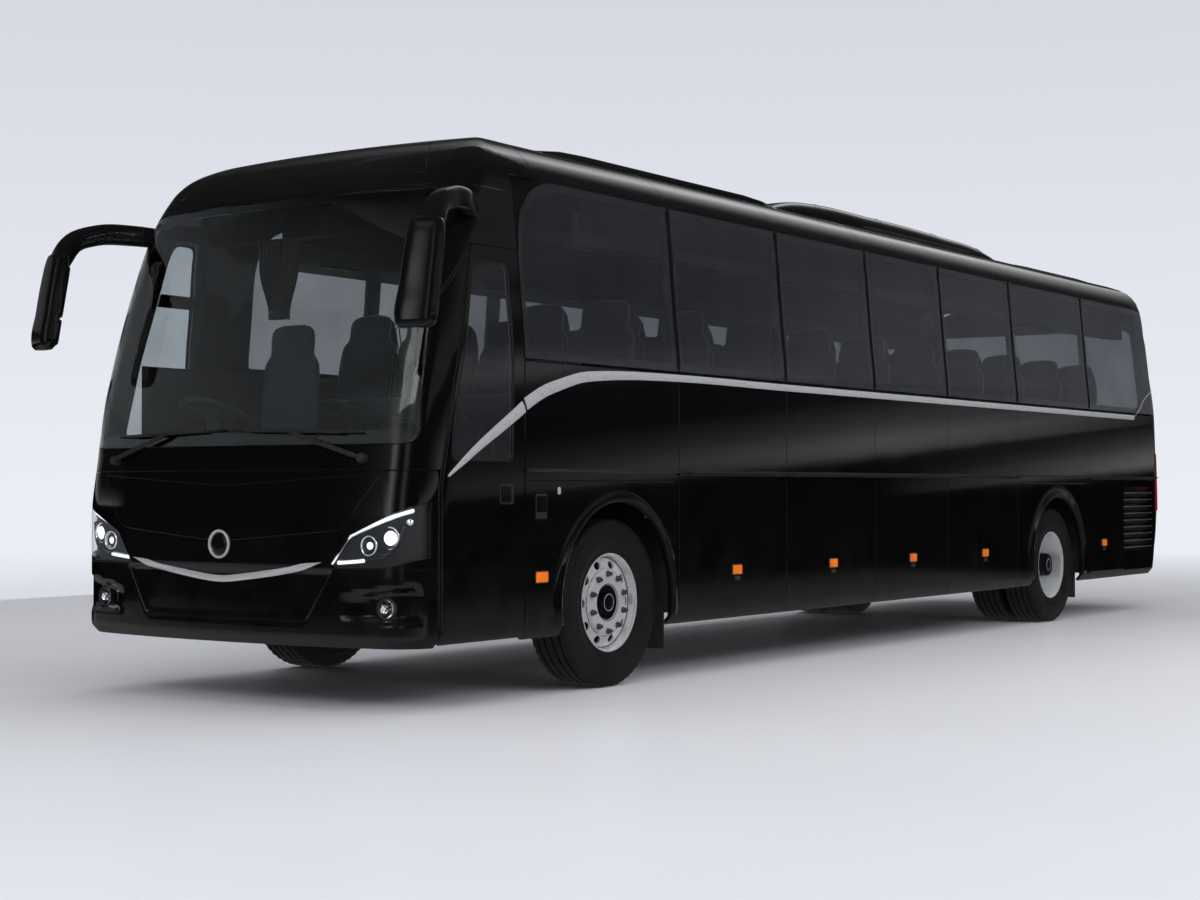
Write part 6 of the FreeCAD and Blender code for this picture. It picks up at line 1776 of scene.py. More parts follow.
def tyreProfile():
    # Half outlines of a tyre joined: x from its middle, radius.
    half = wheels["half"]
    side = [(half - 0.022, 0.290), (half - 0.0215, 0.2955), (half - 0.0185, 0.3000), (half - 0.0175, 0.3040),
            (half - 0.0185, 0.3075),
            (half - 0.0150, 0.3200), (half - 0.0080, 0.3400), (half - 0.0035, 0.3590),
            (half - 0.0022, 0.3600),
            (half - 0.0022, 0.3625), (half - 0.0028, 0.3635), (half - 0.0003, 0.3880),
            (half - 0.0002, 0.4050), (half - 0.0030, 0.4250),
            (half - 0.0060, 0.4370), (half - 0.0052, 0.4385), (half - 0.0058, 0.4420),
            (half - 0.0078, 0.4430),
            (half - 0.0110, 0.4560), (half - 0.0130, 0.4640), (half - 0.0120, 0.4655),
            (half - 0.0140, 0.4740),
            (half - 0.0190, 0.4830), (half - 0.0270, 0.4885)]
    tread = []
    for x in wheels["grooves"][::-1]:
        g, d = wheels["grooveHalf"], wheels["grooveDepth"]
        top = 0.492 - 0.30 * x * x
        tread += [(x + g + 0.002, top), (x + g, top - 0.001), (x + g * 0.6, top - d), (x - g * 0.6, top - d),
                  (x - g, top - 0.001), (x - g - 0.002, top)]
    return side + tread + [(-x, r) for x, r in side[::-1]]


def makeTyre(name, x, axle, body, nodes):
    profile = tyreProfile()
    points = []
    parts = 168
    for i in range(parts):
        t = 2 * math.pi * i / parts
        for px, r in profile:
            outer = abs(px) > 0.100
            if r > 0.4665 and outer and i % 3 == 0:
                r -= 0.0065
            elif r > 0.489 and not outer and i % 6 == 0:
                r -= 0.0035
            points.append((x + px, axle + r * math.cos(t), axleHeight + r * math.sin(t)))
    solidPiece(name, points, turnFaces(parts, len(profile)), tyreRubber, body, sharp=40, replaces=nodes)


def wheelFace(name, side, axle, profile, finish, body, outer, inner, holes, step):
    # A turned plate with holes through it, drawn as seen from outside.
    rs = np.array([r for r, _ in profile])[::-1]
    xs = np.array([x for _, x in profile])[::-1]

    def place(q):
        r = np.linalg.norm(q, axis=1)
        x = np.interp(r, rs, xs)
        slope = (np.interp(r + 0.002, rs, xs) - np.interp(r - 0.002, rs, xs)) / 0.004
        unit = q / np.maximum(r, 1e-9)[:, None]
        p = np.stack([side * x, axle + q[:, 0], axleHeight + q[:, 1]], 1)
        n = np.stack([np.full(len(q), side * 1.0), -slope * unit[:, 0], -slope * unit[:, 1]], 1)
        return p, n / np.linalg.norm(n, axis=1)[:, None]

    return panel(name, circle((0, 0), outer, 96), place, finish, body, step=step, edge=0.004, depth=0.010,
                 holes=[circle((0, 0), inner, 56)] + holes, slot="alloy")


def hexNuts(name, side, axle, x, body, finish):
    points, faces = [], []
    for k in range(wheels["nuts"]):
        t = 2 * math.pi * (k + 0.5) / wheels["nuts"]
        cy, cz = axle + wheels["nutCircle"] * math.cos(t), axleHeight + wheels["nutCircle"] * math.sin(t)
        rows = [(0.0185, 0.0, 24), (0.0185, 0.003, 24), (0.0165, 0.004, 6), (0.0165, 0.017, 6),
                (0.0140, 0.021, 6), (0.0095, 0.0215, 24),
                (0.0095, 0.030, 24), (0.0080, 0.032, 24)]
        start = len(points)
        for r, out, kind in rows:
            for i in range(24):
                a = 2 * math.pi * i / 24
                reach = r
                if kind == 6:
                    reach = r / math.cos((a % (math.pi / 3)) - math.pi / 6) * 0.93
                points.append((side * (x + out), cy + reach * math.cos(a), cz + reach * math.sin(a)))
        faces += gridFaces(len(rows), 24, start=start)
        faces.append(tuple(range(start + (len(rows) - 1) * 24, start + len(rows) * 24)))
    solidPiece(name, points, faces, finish, body, "alloy", sharp=35)


def makeWheel(end, axle, side, form):
    word = sideWord(side)
    body, tyreNode, rimNode = (text.format(word) for text in form["names"])
    front = end == "front"
    x, lip, inside = form["disc"], wheels["lip"], form["inside"]

    def turned(name, profile, finish, *rest, **more):
        return lathe(name, [(side * a, r) for a, r in profile], (0, axle, axleHeight), finish, body, *rest,
                     **more)

    makeTyre(f"tyre_{end}_{word}", side * wheels["centre"], axle, body, [tyreNode])
    if not front:
        makeTyre(f"tyreInner_{word}", side * wheels["inner"], axle, body, [tyreNode])
    foot = form["foot"]
    barrel = [(inside, 0.290), (inside, 0.282), (inside + 0.01, 0.276), (x - 0.022, foot),
              (x - 0.012, foot - 0.002), (x - 0.002, foot),
              (x + 0.008, foot + 0.004)] + [(lip - a, r) for a, r in wheels["rimEdge"]]
    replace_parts(turned(f"rimBarrel_{end}_{word}", barrel, alloy, "alloy", 120), rimNode)
    at, halfRound, halfDeep = form["hole"]
    holes = []
    for k in range(wheels["handHoles"]):
        t = 2 * math.pi * k / wheels["handHoles"]
        holes.append([((at + a * halfDeep) * math.cos(t) - b * halfRound * math.sin(t),
                       (at + a * halfDeep) * math.sin(t) + b * halfRound * math.cos(t)) for a,
                       b in circle((0, 0), 1, 28)])
    wheelFace(f"rimDisc_{end}_{word}", side, axle, [(r, x + out) for r, out in form["profile"]],
              form["finish"], body,
              form["outer"], 0.104, holes, 0.011)
    hexNuts(f"wheelNuts_{end}_{word}", side, axle, x + form["nutOut"], body, form["nutFinish"])
    hub = [(x + a, r) for a, r in form["hub"]] + [(lip - a, r) for a, r in form["hubEnd"]]
    turned(f"wheelHub_{end}_{word}", hub, darkAlloy, "iron", 72)
    drum = [(inside + 0.02, 0.262), (x - 0.060, 0.256), (x - 0.042, 0.250), (x - 0.036, 0.240),
            (x - 0.036, 0.100)]
    turned(f"brakeDrum_{end}_{word}", drum, darkPlastic, "iron", 64)
    # dark rings at the front disc's steps and edges: painted shade lines
    if front:
        for n, (r, out) in enumerate(((0.1965, 0.0125), (0.2620, -0.0050), (0.1085, 0.0290))):
            groove = [(r - 0.0022, out - 0.001), (r - 0.0012, out + 0.0012), (r + 0.0012, out + 0.0012),
                      (r + 0.0022, out - 0.001)]
            turned(f"rimShadeRing_{word}_{n}", [(x + o, q) for q, o in groove], darkAlloy, "alloy", 72,
                   closed=True)
    ring = [(0.052, 0.0), (0.0545, 0.002), (0.057, 0.0), (0.0545, -0.002)]
    base = x + 0.0375 if front else lip - 0.0225
    turned(f"hubRing_{end}_{word}", [(base + b, a - 0.006) for a, b in ring], brightMetal, "bright", 56,
           closed=True)
    t, reach = 0.34, 0.247
    at = Vector((side * (x + 0.004), axle + reach * math.cos(t), axleHeight + reach * math.sin(t)))
    rows = [(at + Vector((side * a, -0.03 * a * math.cos(t), -0.03 * a * math.sin(t))), (0, r, 0), (0, 0, r))
            for a, r in ((-0.01, 0.004), (0.022, 0.004), (0.024, 0.0055), (0.038, 0.0055), (0.040, 0.004))]
    swept(f"valve_{end}_{word}", rows, brightMetal, body, parts=12)


for side in (1, -1):
    makeWheel("front", frontAxle, side, wheels["front"])
    makeWheel("rear", rearAxle, side, wheels["rear"])
print("wheels ready")

# Mirrors on their swept arms
mirrorForm = {
    "turn": math.radians(18),
    # across, distance behind the front axle, height, half-width, half-depth
    "arm": [(1.150, -1.195, 2.652, 0.027, 0.056), (1.210, -1.300, 2.661, 0.031, 0.059),
            (1.275, -1.420, 2.668, 0.036, 0.061),
            (1.340, -1.640, 2.652, 0.043, 0.061), (1.378, -1.790, 2.592, 0.055, 0.059),
            (1.388, -1.868, 2.485, 0.078, 0.052),
            (1.392, -1.912, 2.385, 0.076, 0.044), (1.393, -1.940, 2.320, 0.060, 0.036)],
    "housing": [(1.388, -1.878, 2.530, 0.046, 0.026), (1.389, -1.882, 2.515, 0.076, 0.042),
                (1.390, -1.888, 2.480, 0.090, 0.050),
                (1.392, -1.910, 2.380, 0.101, 0.053), (1.394, -1.950, 2.180, 0.106, 0.052),
                (1.395, -1.982, 2.000, 0.108, 0.0495),
                (1.395, -1.983, 1.975, 0.103, 0.045), (1.395, -1.983, 1.958, 0.082, 0.030)]}


def makeMirrors():
    turn = mirrorForm["turn"]
    for side in (1, -1):
        word = sideWord(side)
        rows = denser(mirrorForm["arm"], 34, 3)
        stations = []
        for i, (x, s, z, a, b) in enumerate(rows):
            before, after = rows[max(i - 1, 0)], rows[min(i + 1, len(rows) - 1)]
            way = Vector(after[:3] - before[:3]).normalized()
            level = way.cross(Vector((0, 0, 1)))
            level = -level.normalized() if level.length > 0.2 else Vector((math.cos(turn), math.sin(turn), 0))
            mix = min(1.0, max(0.0, (2.62 - z) / 0.16))
            wide = (level * (1 - mix) + Vector((math.cos(turn), math.sin(turn), 0)) * mix).normalized()
            deep = way.cross(wide).normalized()
            stations.append(((side * x, along(s), z), (side * wide.x * a, wide.y * a, wide.z * a),
                             (side * deep.x * b, deep.y * b, deep.z * b)))
        piece = swept(f"mirrorArm_{word}", stations, pianoPlastic, parts=28, power=3.4)
        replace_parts(piece, "mirrors")
        stations = []
        for x, s, z, a, b in denser(mirrorForm["housing"], 30, 3):
            stations.append(((side * x, along(s), z), (side * math.cos(turn) * a, math.sin(turn) * a, 0),
                             (-side * math.sin(turn) * b, math.cos(turn) * b, 0)))
        swept(f"mirrorHousing_{word}", stations, pianoPlastic, parts=32, power=3.2)
        # glass on the rear face, and the joint line round the arm's foot
        wide, deep = Vector((math.cos(turn), math.sin(turn), 0)), Vector((-math.sin(turn), math.cos(turn), 0))
        for k, (low, high) in enumerate(((1.985, 2.130), (2.145, 2.440))):
            outline = rounded(rect(-0.090, 0.090, low, high), 0.02, 5)

            def place(q, flip=side):
                share = (q[:, 1] - 2.0) / 0.45
                middle = np.stack([1.395 - 0.006 * share, along(-1.983 + 0.088 * share), q[:, 1]], 1)
                p = middle + q[:, :1] * (1 - 0.10 * share[:, None]) * np.array(wide) + 0.0535 * np.array(deep)
                n = np.tile(np.array(deep), (len(q), 1))
                p[:, 0] *= flip
                n[:, 0] *= flip
                return p, n

            panel(f"mirrorGlass_{word}_{k}", outline, place, mirrorGlass, step=0.03, edge=0.002, depth=0.004)
        joint = rows[7]
        way = Vector(rows[8][:3] - rows[6][:3]).normalized()
        level = -way.cross(Vector((0, 0, 1))).normalized()
        deep = way.cross(level).normalized()
        ringRows = []
        for t, grow in ((-0.002, 0.0), (-0.0015, 0.0015), (0.0015, 0.0015), (0.002, 0.0)):
            c = Vector(joint[:3]) + way * t
            a, b = joint[3] + grow, joint[4] + grow
            ringRows.append(((side * c.x, along(c.y), c.z), (side * level.x * a, level.y * a, level.z * a),
                             (side * deep.x * b, deep.y * b, deep.z * b)))
        swept(f"mirrorJoint_{word}", ringRows, sealRubber, parts=28, power=3.4, caps=False)
    print("mirrors ready")


makeMirrors()

# Air unit and roof fairings
airUnit = {"half": 0.820, "line": [(2.500, 3.100), (2.520, 3.130), (2.680, 3.176), (2.920, 3.226),
                                   (3.500, 3.270), (4.200, 3.2715),
                                   (4.980, 3.2715), (5.600, 3.258), (6.150, 3.241), (6.400, 3.210),
                                   (6.560, 3.165), (6.625, 3.128)],
           "rails": [(-0.30, 2.62, 3.188), (6.66, 8.90, 3.159)], "slots": [(4.00, 6.05)]}


def makeRoofUnits():
    line = denser(airUnit["line"], 90)
    points = []
    half = airUnit["half"]
    section = [(half, -1.0), (half, 0.0), (half - 0.004, 0.35), (half - 0.020, 0.62), (half - 0.045, 0.86),
               (half - 0.075, 0.97),
               (half - 0.11, 1.0), (0.5, 1.0), (0.25, 1.0), (0.0, 1.0)]
    section += [(-x, t) for x, t in section[-2::-1]]
    k = len(section)
    for s, top in line:
        base = 3.128
        for x, t in section:
            z = top + (base - top) * (1 - t) * 0.85 if t >= 0 else 3.085
            points.append((x, along(s), min(z, top, 3.2708)))
    faces = gridFaces(len(line), k, False) + endFaces(len(line), k)
    solidPiece("airUnitCover", points, faces, blackPaint, replaces=["air_unit"])
    for side in (1, -1):
        word = sideWord(side)
        for n, (start, end) in enumerate(airUnit["slots"]):
            rows = [((side * 0.8215, along(s), 3.163 - 0.002 * abs(s - 5)), (0.004, 0, 0), (0, 0, 0.013 * w))
                    for s, w in ((start, 0.2), (start + 0.08, 0.9), (start + 0.2, 1.0), (end - 0.3, 1.0),
                                 (end - 0.1, 0.7), (end, 0.2))]
            swept(f"airUnitSlot_{word}_{n}", rows, darkPlastic, parts=10, power=4)
        for n, (start, end, top) in enumerate(airUnit["rails"]):
            rows = []
            for s, w in ((start, 0.15), (start + 0.10, 0.5), (start + 0.35, 0.9), (start + 0.6, 1.0),
                         (end - 0.4, 1.0), (end - 0.15, 0.85), (end, 0.6)):
                rise = (top - 3.115) * w
                rows.append(((side * 0.805, along(s), 3.115 + rise / 2), (0.014, 0, 0), (0, 0, rise / 2)))
            swept(f"roofRail_{word}_{n}", rows, blackPaint, parts=16, power=3.2)
        # seams of the cover
        for n, s in enumerate((3.35, 4.35, 5.35, 6.25)):
            t = min(3.2704, np.interp(s, line[:, 0], line[:, 1]))
            rows = [((side * (half + 0.0005 - d), along(s), z), (0, 0.0022, 0), (0.0015, 0, 0.0006))
                    for d, z in ((0.0, 3.14), (0.002, t - 0.055), (0.020, t - 0.024), (0.05, t - 0.006),
                                 (0.11, t + 0.0002), (0.5, t + 0.0002))]
            swept(f"airUnitSeam_{word}_{n}", rows, sealRubber, parts=6)
    # fan grilles on the cover's top
    for n, s in enumerate((3.9, 4.75, 5.5)):
        t = min(3.2704, np.interp(s, line[:, 0], line[:, 1]))
        disc(f"airUnitFan_{n}", (0, along(s), t - 0.0195), (0, 0, 1), 0.27,
             [(1.0, 0.0), (1.0, 0.0145), (0.96, 0.0155), (0.93, 0.010), (0.90, 0.004),
             (0.60, 0.004), (0.58, 0.010), (0.54, 0.010), (0.52, 0.004), (0.25, 0.004), (0.24, 0.012),
             (0.0, 0.014)], darkPlastic)
    print("roof units ready")


makeRoofUnits()

# Seats: crowned pads with bolsters, sewn channels, piping, shells and legs
seats = {"rows": 10, "first": -0.25, "pitch": 0.86, "floor": 1.250, "centres": (0.452, 0.940), "half": 0.230,
         "channelDepth": 0.006, "bolster": 0.016, "seamAt": 0.66,
         # height shares of a back, then its width there
         "outline": ((0, 0.02, 0.06, 0.30, 0.60, 0.68, 0.73, 0.76, 0.80, 0.88, 0.93, 0.96, 0.98, 0.993, 1.0),
                     (0.80, 0.88, 0.92, 0.99, 0.98, 0.95, 0.86, 0.76, 0.73, 0.74, 0.73, 0.69, 0.62, 0.50,
                      0.38))}


def smoothMesh(name, points, faces):
    mesh = bpy.data.meshes.new(name)
    mesh.from_pydata([tuple(p) for p in points], [], faces)
    mesh.polygons.foreach_set("use_smooth", [True] * len(mesh.polygons))
    return mesh


def padMesh(name, stations, relief, parts=36, power=3.0):
    # Stations are (share, centre, half across, half thickness); relief gives how far the face is pressed in.
    points = []
    for i, (share, centre, across, thick) in enumerate(stations):
        for j in range(parts):
            u, v = squircle(2 * math.pi * j / parts, power)
            push = relief(u, share) if v < -0.2 else 0.0
            points.append(Vector(centre) + Vector(across) * u + Vector(thick) * v * (1 - min(0.6,
                    push / max(Vector(thick).length, 1e-6))))
    faces = gridFaces(len(stations), parts)
    for i, start in ((0, 0), (1, (len(stations) - 1) * parts)):
        middle = sum((points[start + j] for j in range(parts)), Vector()) / parts
        points.append(middle)
        last = len(points) - 1
        faces += [(start + j, start + (j + 1) % parts, last)
                  if i else (start + (j + 1) % parts, start + j, last) for j in range(parts)]
    mesh = smoothMesh(name, points, faces)
    turnOutwards(mesh)
    return mesh


def groove(value, at, half):
    return max(0.0, 1.0 - abs(value - at) / half)


def backRelief(u, t):
    depth = 0.0
    if abs(u) < seats["seamAt"]:
        depth = seats["bolster"] * (1 - (abs(u) / seats["seamAt"]) ** 4) * float(smooth(t, 0.02,
                0.10) * smooth(-t, -0.76, -0.66))
        depth += seats["channelDepth"] * max(groove(t, at, 0.018) for at in (0.20, 0.34, 0.48, 0.62))
    depth += 0.008 * groove(abs(u), seats["seamAt"], 0.07) * (0.04 < t < 0.74)
    return depth + 0.010 * groove(t, 0.745, 0.022)


def seatBackMesh(name, foot, top, half, thick):
    # foot and top are (y, z) of the pad's middle line
    foot, top = Vector((0, *foot)), Vector((0, *top))
    way = (top - foot).normalized()
    deep = way.cross(Vector((1, 0, 0))).normalized()
    stations = []
    for t in np.concatenate([[0.0, 0.006, 0.02, 0.04], np.linspace(0.06, 0.90, 43),
                             [0.925, 0.945, 0.963, 0.978, 0.989, 0.996, 1.0]]):
        wide = float(np.interp(t, *seats["outline"]))
        deepness = float(np.interp(t, (0, 0.02, 0.06, 0.25, 0.5, 0.72, 0.76, 0.86, 0.94, 0.978, 1.0),
                                   (0.45, 0.75, 0.92, 1.0, 0.86, 0.80, 0.84, 1.0, 0.86, 0.6, 0.20)))
        stations.append((t, foot + (top - foot) * t, (half * wide, 0, 0), -deep * thick * deepness
                         if deep.y < 0 else deep * thick * deepness))
    return padMesh(name, stations, backRelief)


def cushionMesh(name, front, rear, low, high, half):
    # a sewn pad lying between two places along the coach, crowned on top
    def relief(u, t):
        depth = 0.010 * (1 - (abs(u) / 0.66) ** 4) if abs(u) < 0.66 else 0.0
        depth += seats["channelDepth"] * max(groove(t, at, 0.03)
                                             for at in (0.30, 0.50, 0.70)) * (abs(u) < 0.66)
        return depth + 0.007 * groove(abs(u), 0.66, 0.07) * (0.06 < t < 0.97)

    stations = []
    middle, thick = (low + high) / 2, (high - low) / 2
    for t in np.concatenate([[0.0, 0.01, 0.03, 0.06], np.linspace(0.10, 0.90, 28), [0.94, 0.97, 0.99, 1.0]]):
        wide = float(np.interp(t, (0, 0.03, 0.10, 0.5, 0.9, 0.97, 1),
                               (0.86, 0.93, 0.98, 1.0, 0.96, 0.92, 0.88)))
        deep = float(np.interp(t, (0, 0.01, 0.06, 0.3, 0.8, 0.97, 1),
                               (0.35, 0.58, 0.88, 1.0, 0.92, 0.80, 0.5)))
        stations.append((t, (0, front + (rear - front) * t, middle - 0.008 * float(smooth(t, 0.2, 1.0))),
                         (half * wide, 0, 0), (0, 0, -thick * deep)))
    return padMesh(name, stations, relief)


def pieceAt(name, mesh, at, finish, slot=None):
    piece = bpy.data.objects.new(name, mesh)
    scene.collection.objects.link(piece)
    piece.location = at
    if not mesh.materials:
        mesh.materials.append(finish)
    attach(piece, "body")
    slot = slotOf.get(finish.name) if slot is None else slot
    return piece


def tubeMesh(name, path, radius, parts=8):
    path = [Vector(p) for p in path]
    points = []
    for i, p in enumerate(path):
        run = (path[min(i + 1, len(path) - 1)] - path[max(i - 1, 0)]).normalized()
        a = run.orthogonal().normalized() if i == 0 else (a - run * a.dot(run)).normalized()
        b = run.cross(a)
        points += [p + (a * math.cos(t) + b * math.sin(t)) * radius
                   for t in np.linspace(0, 2 * math.pi, parts, endpoint=False)]
    first, last = endFaces(len(path), parts)
    return smoothMesh(name, points, gridFaces(len(path), parts) + [first[::-1], last])


def mergedMesh(name, meshes):
    work = bmesh.new()
    for mesh in meshes:
        work.from_mesh(mesh)
    bmesh.ops.recalc_face_normals(work, faces=work.faces)
    merged = bpy.data.meshes.new(name)
    work.to_mesh(merged)
    work.free()
    merged.polygons.foreach_set("use_smooth", [True] * len(merged.polygons))
    merged.set_sharp_from_angle(angle=math.radians(40))
    return merged


def boxMesh(name, low, high, edge=0.006):
    work = bmesh.new()
    bmesh.ops.create_cube(work, size=1.0)
    for v in work.verts:
        v.co = [low[i] + (v.co[i] + 0.5) * (high[i] - low[i]) for i in range(3)]
    bmesh.ops.bevel(work, geom=work.edges[:], offset=edge, segments=2, affect="EDGES", profile=0.5)
    mesh = bpy.data.meshes.new(name)
    work.to_mesh(mesh)
    work.free()
    return mesh


def makeSeats():
    low, half = seats["floor"], seats["half"]
    padFoot, padTop, padLow = (0.492, low + 0.385), (0.620, low + 1.045), low + 0.352
    backMesh = seatBackMesh("seatBack", padFoot, padTop, half, 0.048)
    cushion = cushionMesh("seatCushion", 0.004, 0.462, padLow, low + 0.488, half)
    # hard shell behind each back, armrests, legs and light piping round the pad
    foot, top = Vector((0, *padFoot)), Vector((0, *padTop))
    edge = [(half * w * 1.005, t) for t, w in zip(*seats["outline"]) if t > 0.03]
    loop = edge + [(-x, t) for x, t in reversed(edge)]
    line = denser([(x, foot.y + (top.y - foot.y) * t - 0.004, foot.z + (top.z - foot.z) * t) for x,
                   t in loop], 60, 3)
    piping = tubeMesh("seatPiping", line, 0.0042, 6)
    stations = []
    for t in np.linspace(0.02, 0.985, 24):
        wide = float(np.interp(t, (0, 0.06, 0.30, 0.60, 0.80, 0.94, 1.0),
                               (0.80, 0.90, 0.95, 0.94, 0.84, 0.68, 0.45)))
        centre = foot + (top - foot) * t + Vector((0, 0.040, -0.008))
        stations.append((t, centre, (half * wide, 0, 0), (0, 0.011, 0)))
    shell = padMesh("seatShell", stations, lambda u, t: 0.0, 28, 4.0)
    pocket = boxMesh("seatPocket", (-0.15, 0.576, low + 0.62), (0.15, 0.588, low + 0.66), 0.004)
    shellPair = mergedMesh("seatShellFull", [shell, pocket])
    armParts = []
    for x in (-0.240, 0.240):
        rows = [(t, (x, 0.20 + 0.27 * t, low + 0.600 + 0.02 * t), (0.016 * wide, 0, 0), (0, 0, 0.011 * thick))
                for t, wide, thick in
                [(0, 0.7, 0.6)] + [(t, 1, 1) for t in (0.03, 0.1, 0.5, 0.9, 0.97)] + [(1.0, 0.7, 0.6)]]
        armParts.append(padMesh("arm", rows, lambda u, t: 0.0, 14, 3.0))
    armrests = mergedMesh("seatArmrests", armParts)
    legs = []
    for x in (-0.17, 0.17):
        legs.append(tubeMesh("leg", [(x, 0.20, low + 0.012), (x, 0.21, low + 0.20), (x, 0.22, padLow)], 0.018,
                             10))
        legs.append(boxMesh("foot", (x - 0.035, 0.132, low + 0.002), (x + 0.035, 0.328, low + 0.014), 0.004))
        legs.append(boxMesh("beam", (x - 0.020, 0.05, low + 0.330), (x + 0.020, 0.44, padLow), 0.004))
    legs = mergedMesh("seatLegs", legs)
    for side in (1, -1):
        word = sideWord(side)
        for i in range(seats["rows"]):
            for k, x in enumerate(seats["centres"]):
                at = (side * x, along(seats["first"] + seats["pitch"] * i), 0)
                tag = f"{word}_{i + 1}_{k + 1}"
                back = pieceAt(f"seatBack_{tag}", backMesh, at, seatFabric)
                pad = pieceAt(f"seatCushion_{tag}", cushion, at, seatFabric)
                if i == 0 and k == 0 and side > 0:
                    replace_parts(back, "seat_backs")
                    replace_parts(pad, "seat_cushions")
                for part, mesh, finish in (("Piping", piping, seatPiping), ("Shell", shellPair, cabPlastic),
                                           ("Armrests", armrests, cabPlastic), ("Legs", legs, paintedSteel)):
                    pieceAt(f"seat{part}_{tag}", mesh, at, finish)
    print("seats ready")


seatPiping = grainFinish("seatPiping", (0.30, 0.30, 0.31), (0.36, 0.36, 0.37), (0.45, 0.6), scale=400.0,
                         strength=0.1, dust=0.0)
makeSeats()

# Cab: driver's seat, dash, steering wheel and the tied curtain behind the seat
cab = {"seatAcross": -0.640, "wheelAt": (-0.640, -1.340, 1.580), "wheelRadius": 0.215, "wheelTilt": -25.0,
       "dash": (-1.000, 0.300), "curtain": {"top": 2.650, "bottom": 2.175, "left": -0.775, "right": -0.445,
                                            "s": -0.86}}


def makeCab():
    x = cab["seatAcross"]
    back = seatBackMesh("driverBack", (along(-0.752), 1.375), (along(-0.700), 2.150), 0.228, 0.042)
    pad = cushionMesh("driverCushion", along(-1.096), along(-0.782), 1.285, 1.392, 0.230)
    for name, mesh in (("driverSeatBack", back), ("driverSeatCushion", pad)):
        piece = pieceAt(name, mesh, (x, 0, 0), seatFabric)
        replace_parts(piece, "driver_seat")
    rows = [((x, along(-0.90), z), (0.105 * w, 0, 0), (0, 0.105 * w, 0)) for z, w in
            [(0.905 + 0.370 * i / 24, 1.0 if i % 4 < 2 else 0.86) for i in range(25)]]
    swept("driverSeatBellows", rows, sealRubber, parts=24, power=4)
    for k, a in enumerate((-0.232, 0.232)):
        rows = [((x + a, along(-1.03 + 0.29 * t), 1.500), (0.014, 0, 0), (0, 0, 0.013))
                for t in (0, 0.04, 0.5, 0.96, 1)]
        swept(f"driverArmrest_{k}", rows, cabPlastic, parts=14, power=3)
    # dash: a rolled cowl with a hooded binnacle, vents and a blank screen
    low, high = cab["dash"]
    section = [(-1.706, 0.905), (-1.484, 0.905), (-1.470, 1.080), (-1.446, 1.270), (-1.444, 1.295),
               (-1.450, 1.330), (-1.462, 1.368),
               (-1.480, 1.386), (-1.540, 1.393), (-1.620, 1.397), (-1.680, 1.370), (-1.706, 1.340)]
    line = denser([(0, a, b) for a, b in section], 40, 3)
    points = []
    columns = np.linspace(low, high, 40)
    for cx in columns:
        near = math.exp(-((cx + 0.64) / 0.26) ** 4)
        edge = min(1.0, (cx - low) / 0.05 + 0.4, (high - cx) / 0.10 + 0.4)
        for _, a, b in line:
            drop = (1 - near) * 0.060 * max(0.0, (b - 1.2) / 0.2)
            back = (1 - near) * 0.030 * max(0.0, (b - 1.0) / 0.4) + (1 - edge) * 0.02
            points.append((cx, along(min(a, max(a - back, -1.706))), b - drop - (1 - edge) * 0.01))
    faces = gridFaces(len(columns), len(line)) + endFaces(len(columns), len(line))
    solidPiece("dashCowl", points, faces, cabPlastic, replaces=["dashboard"])
    for i, (cx, half) in enumerate(((-0.86, 0.050), (-0.42, 0.050), (0.02, 0.060), (0.19, 0.060))):
        rows = [((cx + half * t, along(-1.4605 - 0.006 * (i > 1)), 1.205), (0, 0.004, 0), (0, 0, 0.026))
                for t in (-1, -0.95, 0, 0.95, 1)]
        swept(f"dashVent_{i + 1}", rows, darkPlastic, slot="plastic", parts=16, power=5)
    rows = [((-0.20 + 0.09 * t, along(-1.459), 1.235), (0, 0.004, 0.001), (0, -0.01, 0.052))
            for t in (-1, -0.96, 0, 0.96, 1)]
    swept("dashScreen", rows, pianoPlastic, parts=20, power=6)
    # steering wheel
    cx, cs, cz = cab["wheelAt"]
    centre = Vector((cx, along(cs), cz))
    tilt = Matrix.Rotation(math.radians(cab["wheelTilt"]), 3, "X")
    ring = []
    for i in range(73):
        t = 2 * math.pi * i / 72
        way = Vector((math.cos(t), math.sin(t), 0))
        ring.append((centre + tilt @ (way * cab["wheelRadius"]), tilt @ (way * 0.0135),
                     tilt @ Vector((0, 0, 0.0145))))
    piece = swept("steeringRing", ring, cabPlastic, parts=14, caps=False)
    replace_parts(piece, "dashboard")
    hub = [(0.0, -0.045), (0.040, -0.045), (0.052, -0.030), (0.085, -0.018), (0.090, -0.004), (0.080, 0.006),
           (0.040, 0.012), (0.0, 0.013)]
    points = []
    for i in range(40):
        t = 2 * math.pi * i / 40
        points += [centre + tilt @ Vector((r * math.cos(t), r * math.sin(t), h)) for r, h in hub]
    solidPiece("steeringHub", points, turnFaces(40, len(hub)), cabPlastic)
    for i, t in enumerate((0.35, math.pi - 0.35, math.pi + 0.9, -0.9)):
        way = Vector((math.cos(t), math.sin(t), 0))
        side = Vector((-math.sin(t), math.cos(t), 0))
        rows = [(centre + tilt @ (way * r + Vector((0, 0, -0.012 + 0.010 * (r / 0.21) ** 2))),
                 tilt @ (side * w), tilt @ Vector((0, 0, 0.0065)))
                for r, w in ((0.070, 0.026), (0.12, 0.019), (0.17, 0.015), (0.208, 0.018))]
        swept(f"steeringSpoke_{i + 1}", rows, cabPlastic, parts=12, power=3)
    rows = [(centre + tilt @ Vector((0, 0, -d)), tilt @ Vector((r, 0, 0)), tilt @ Vector((0, r, 0))) for d,
            r in ((0.04, 0.036), (0.14, 0.034), (0.15, 0.027), (0.325, 0.027))]
    swept("steeringColumn", rows, cabPlastic, parts=20)
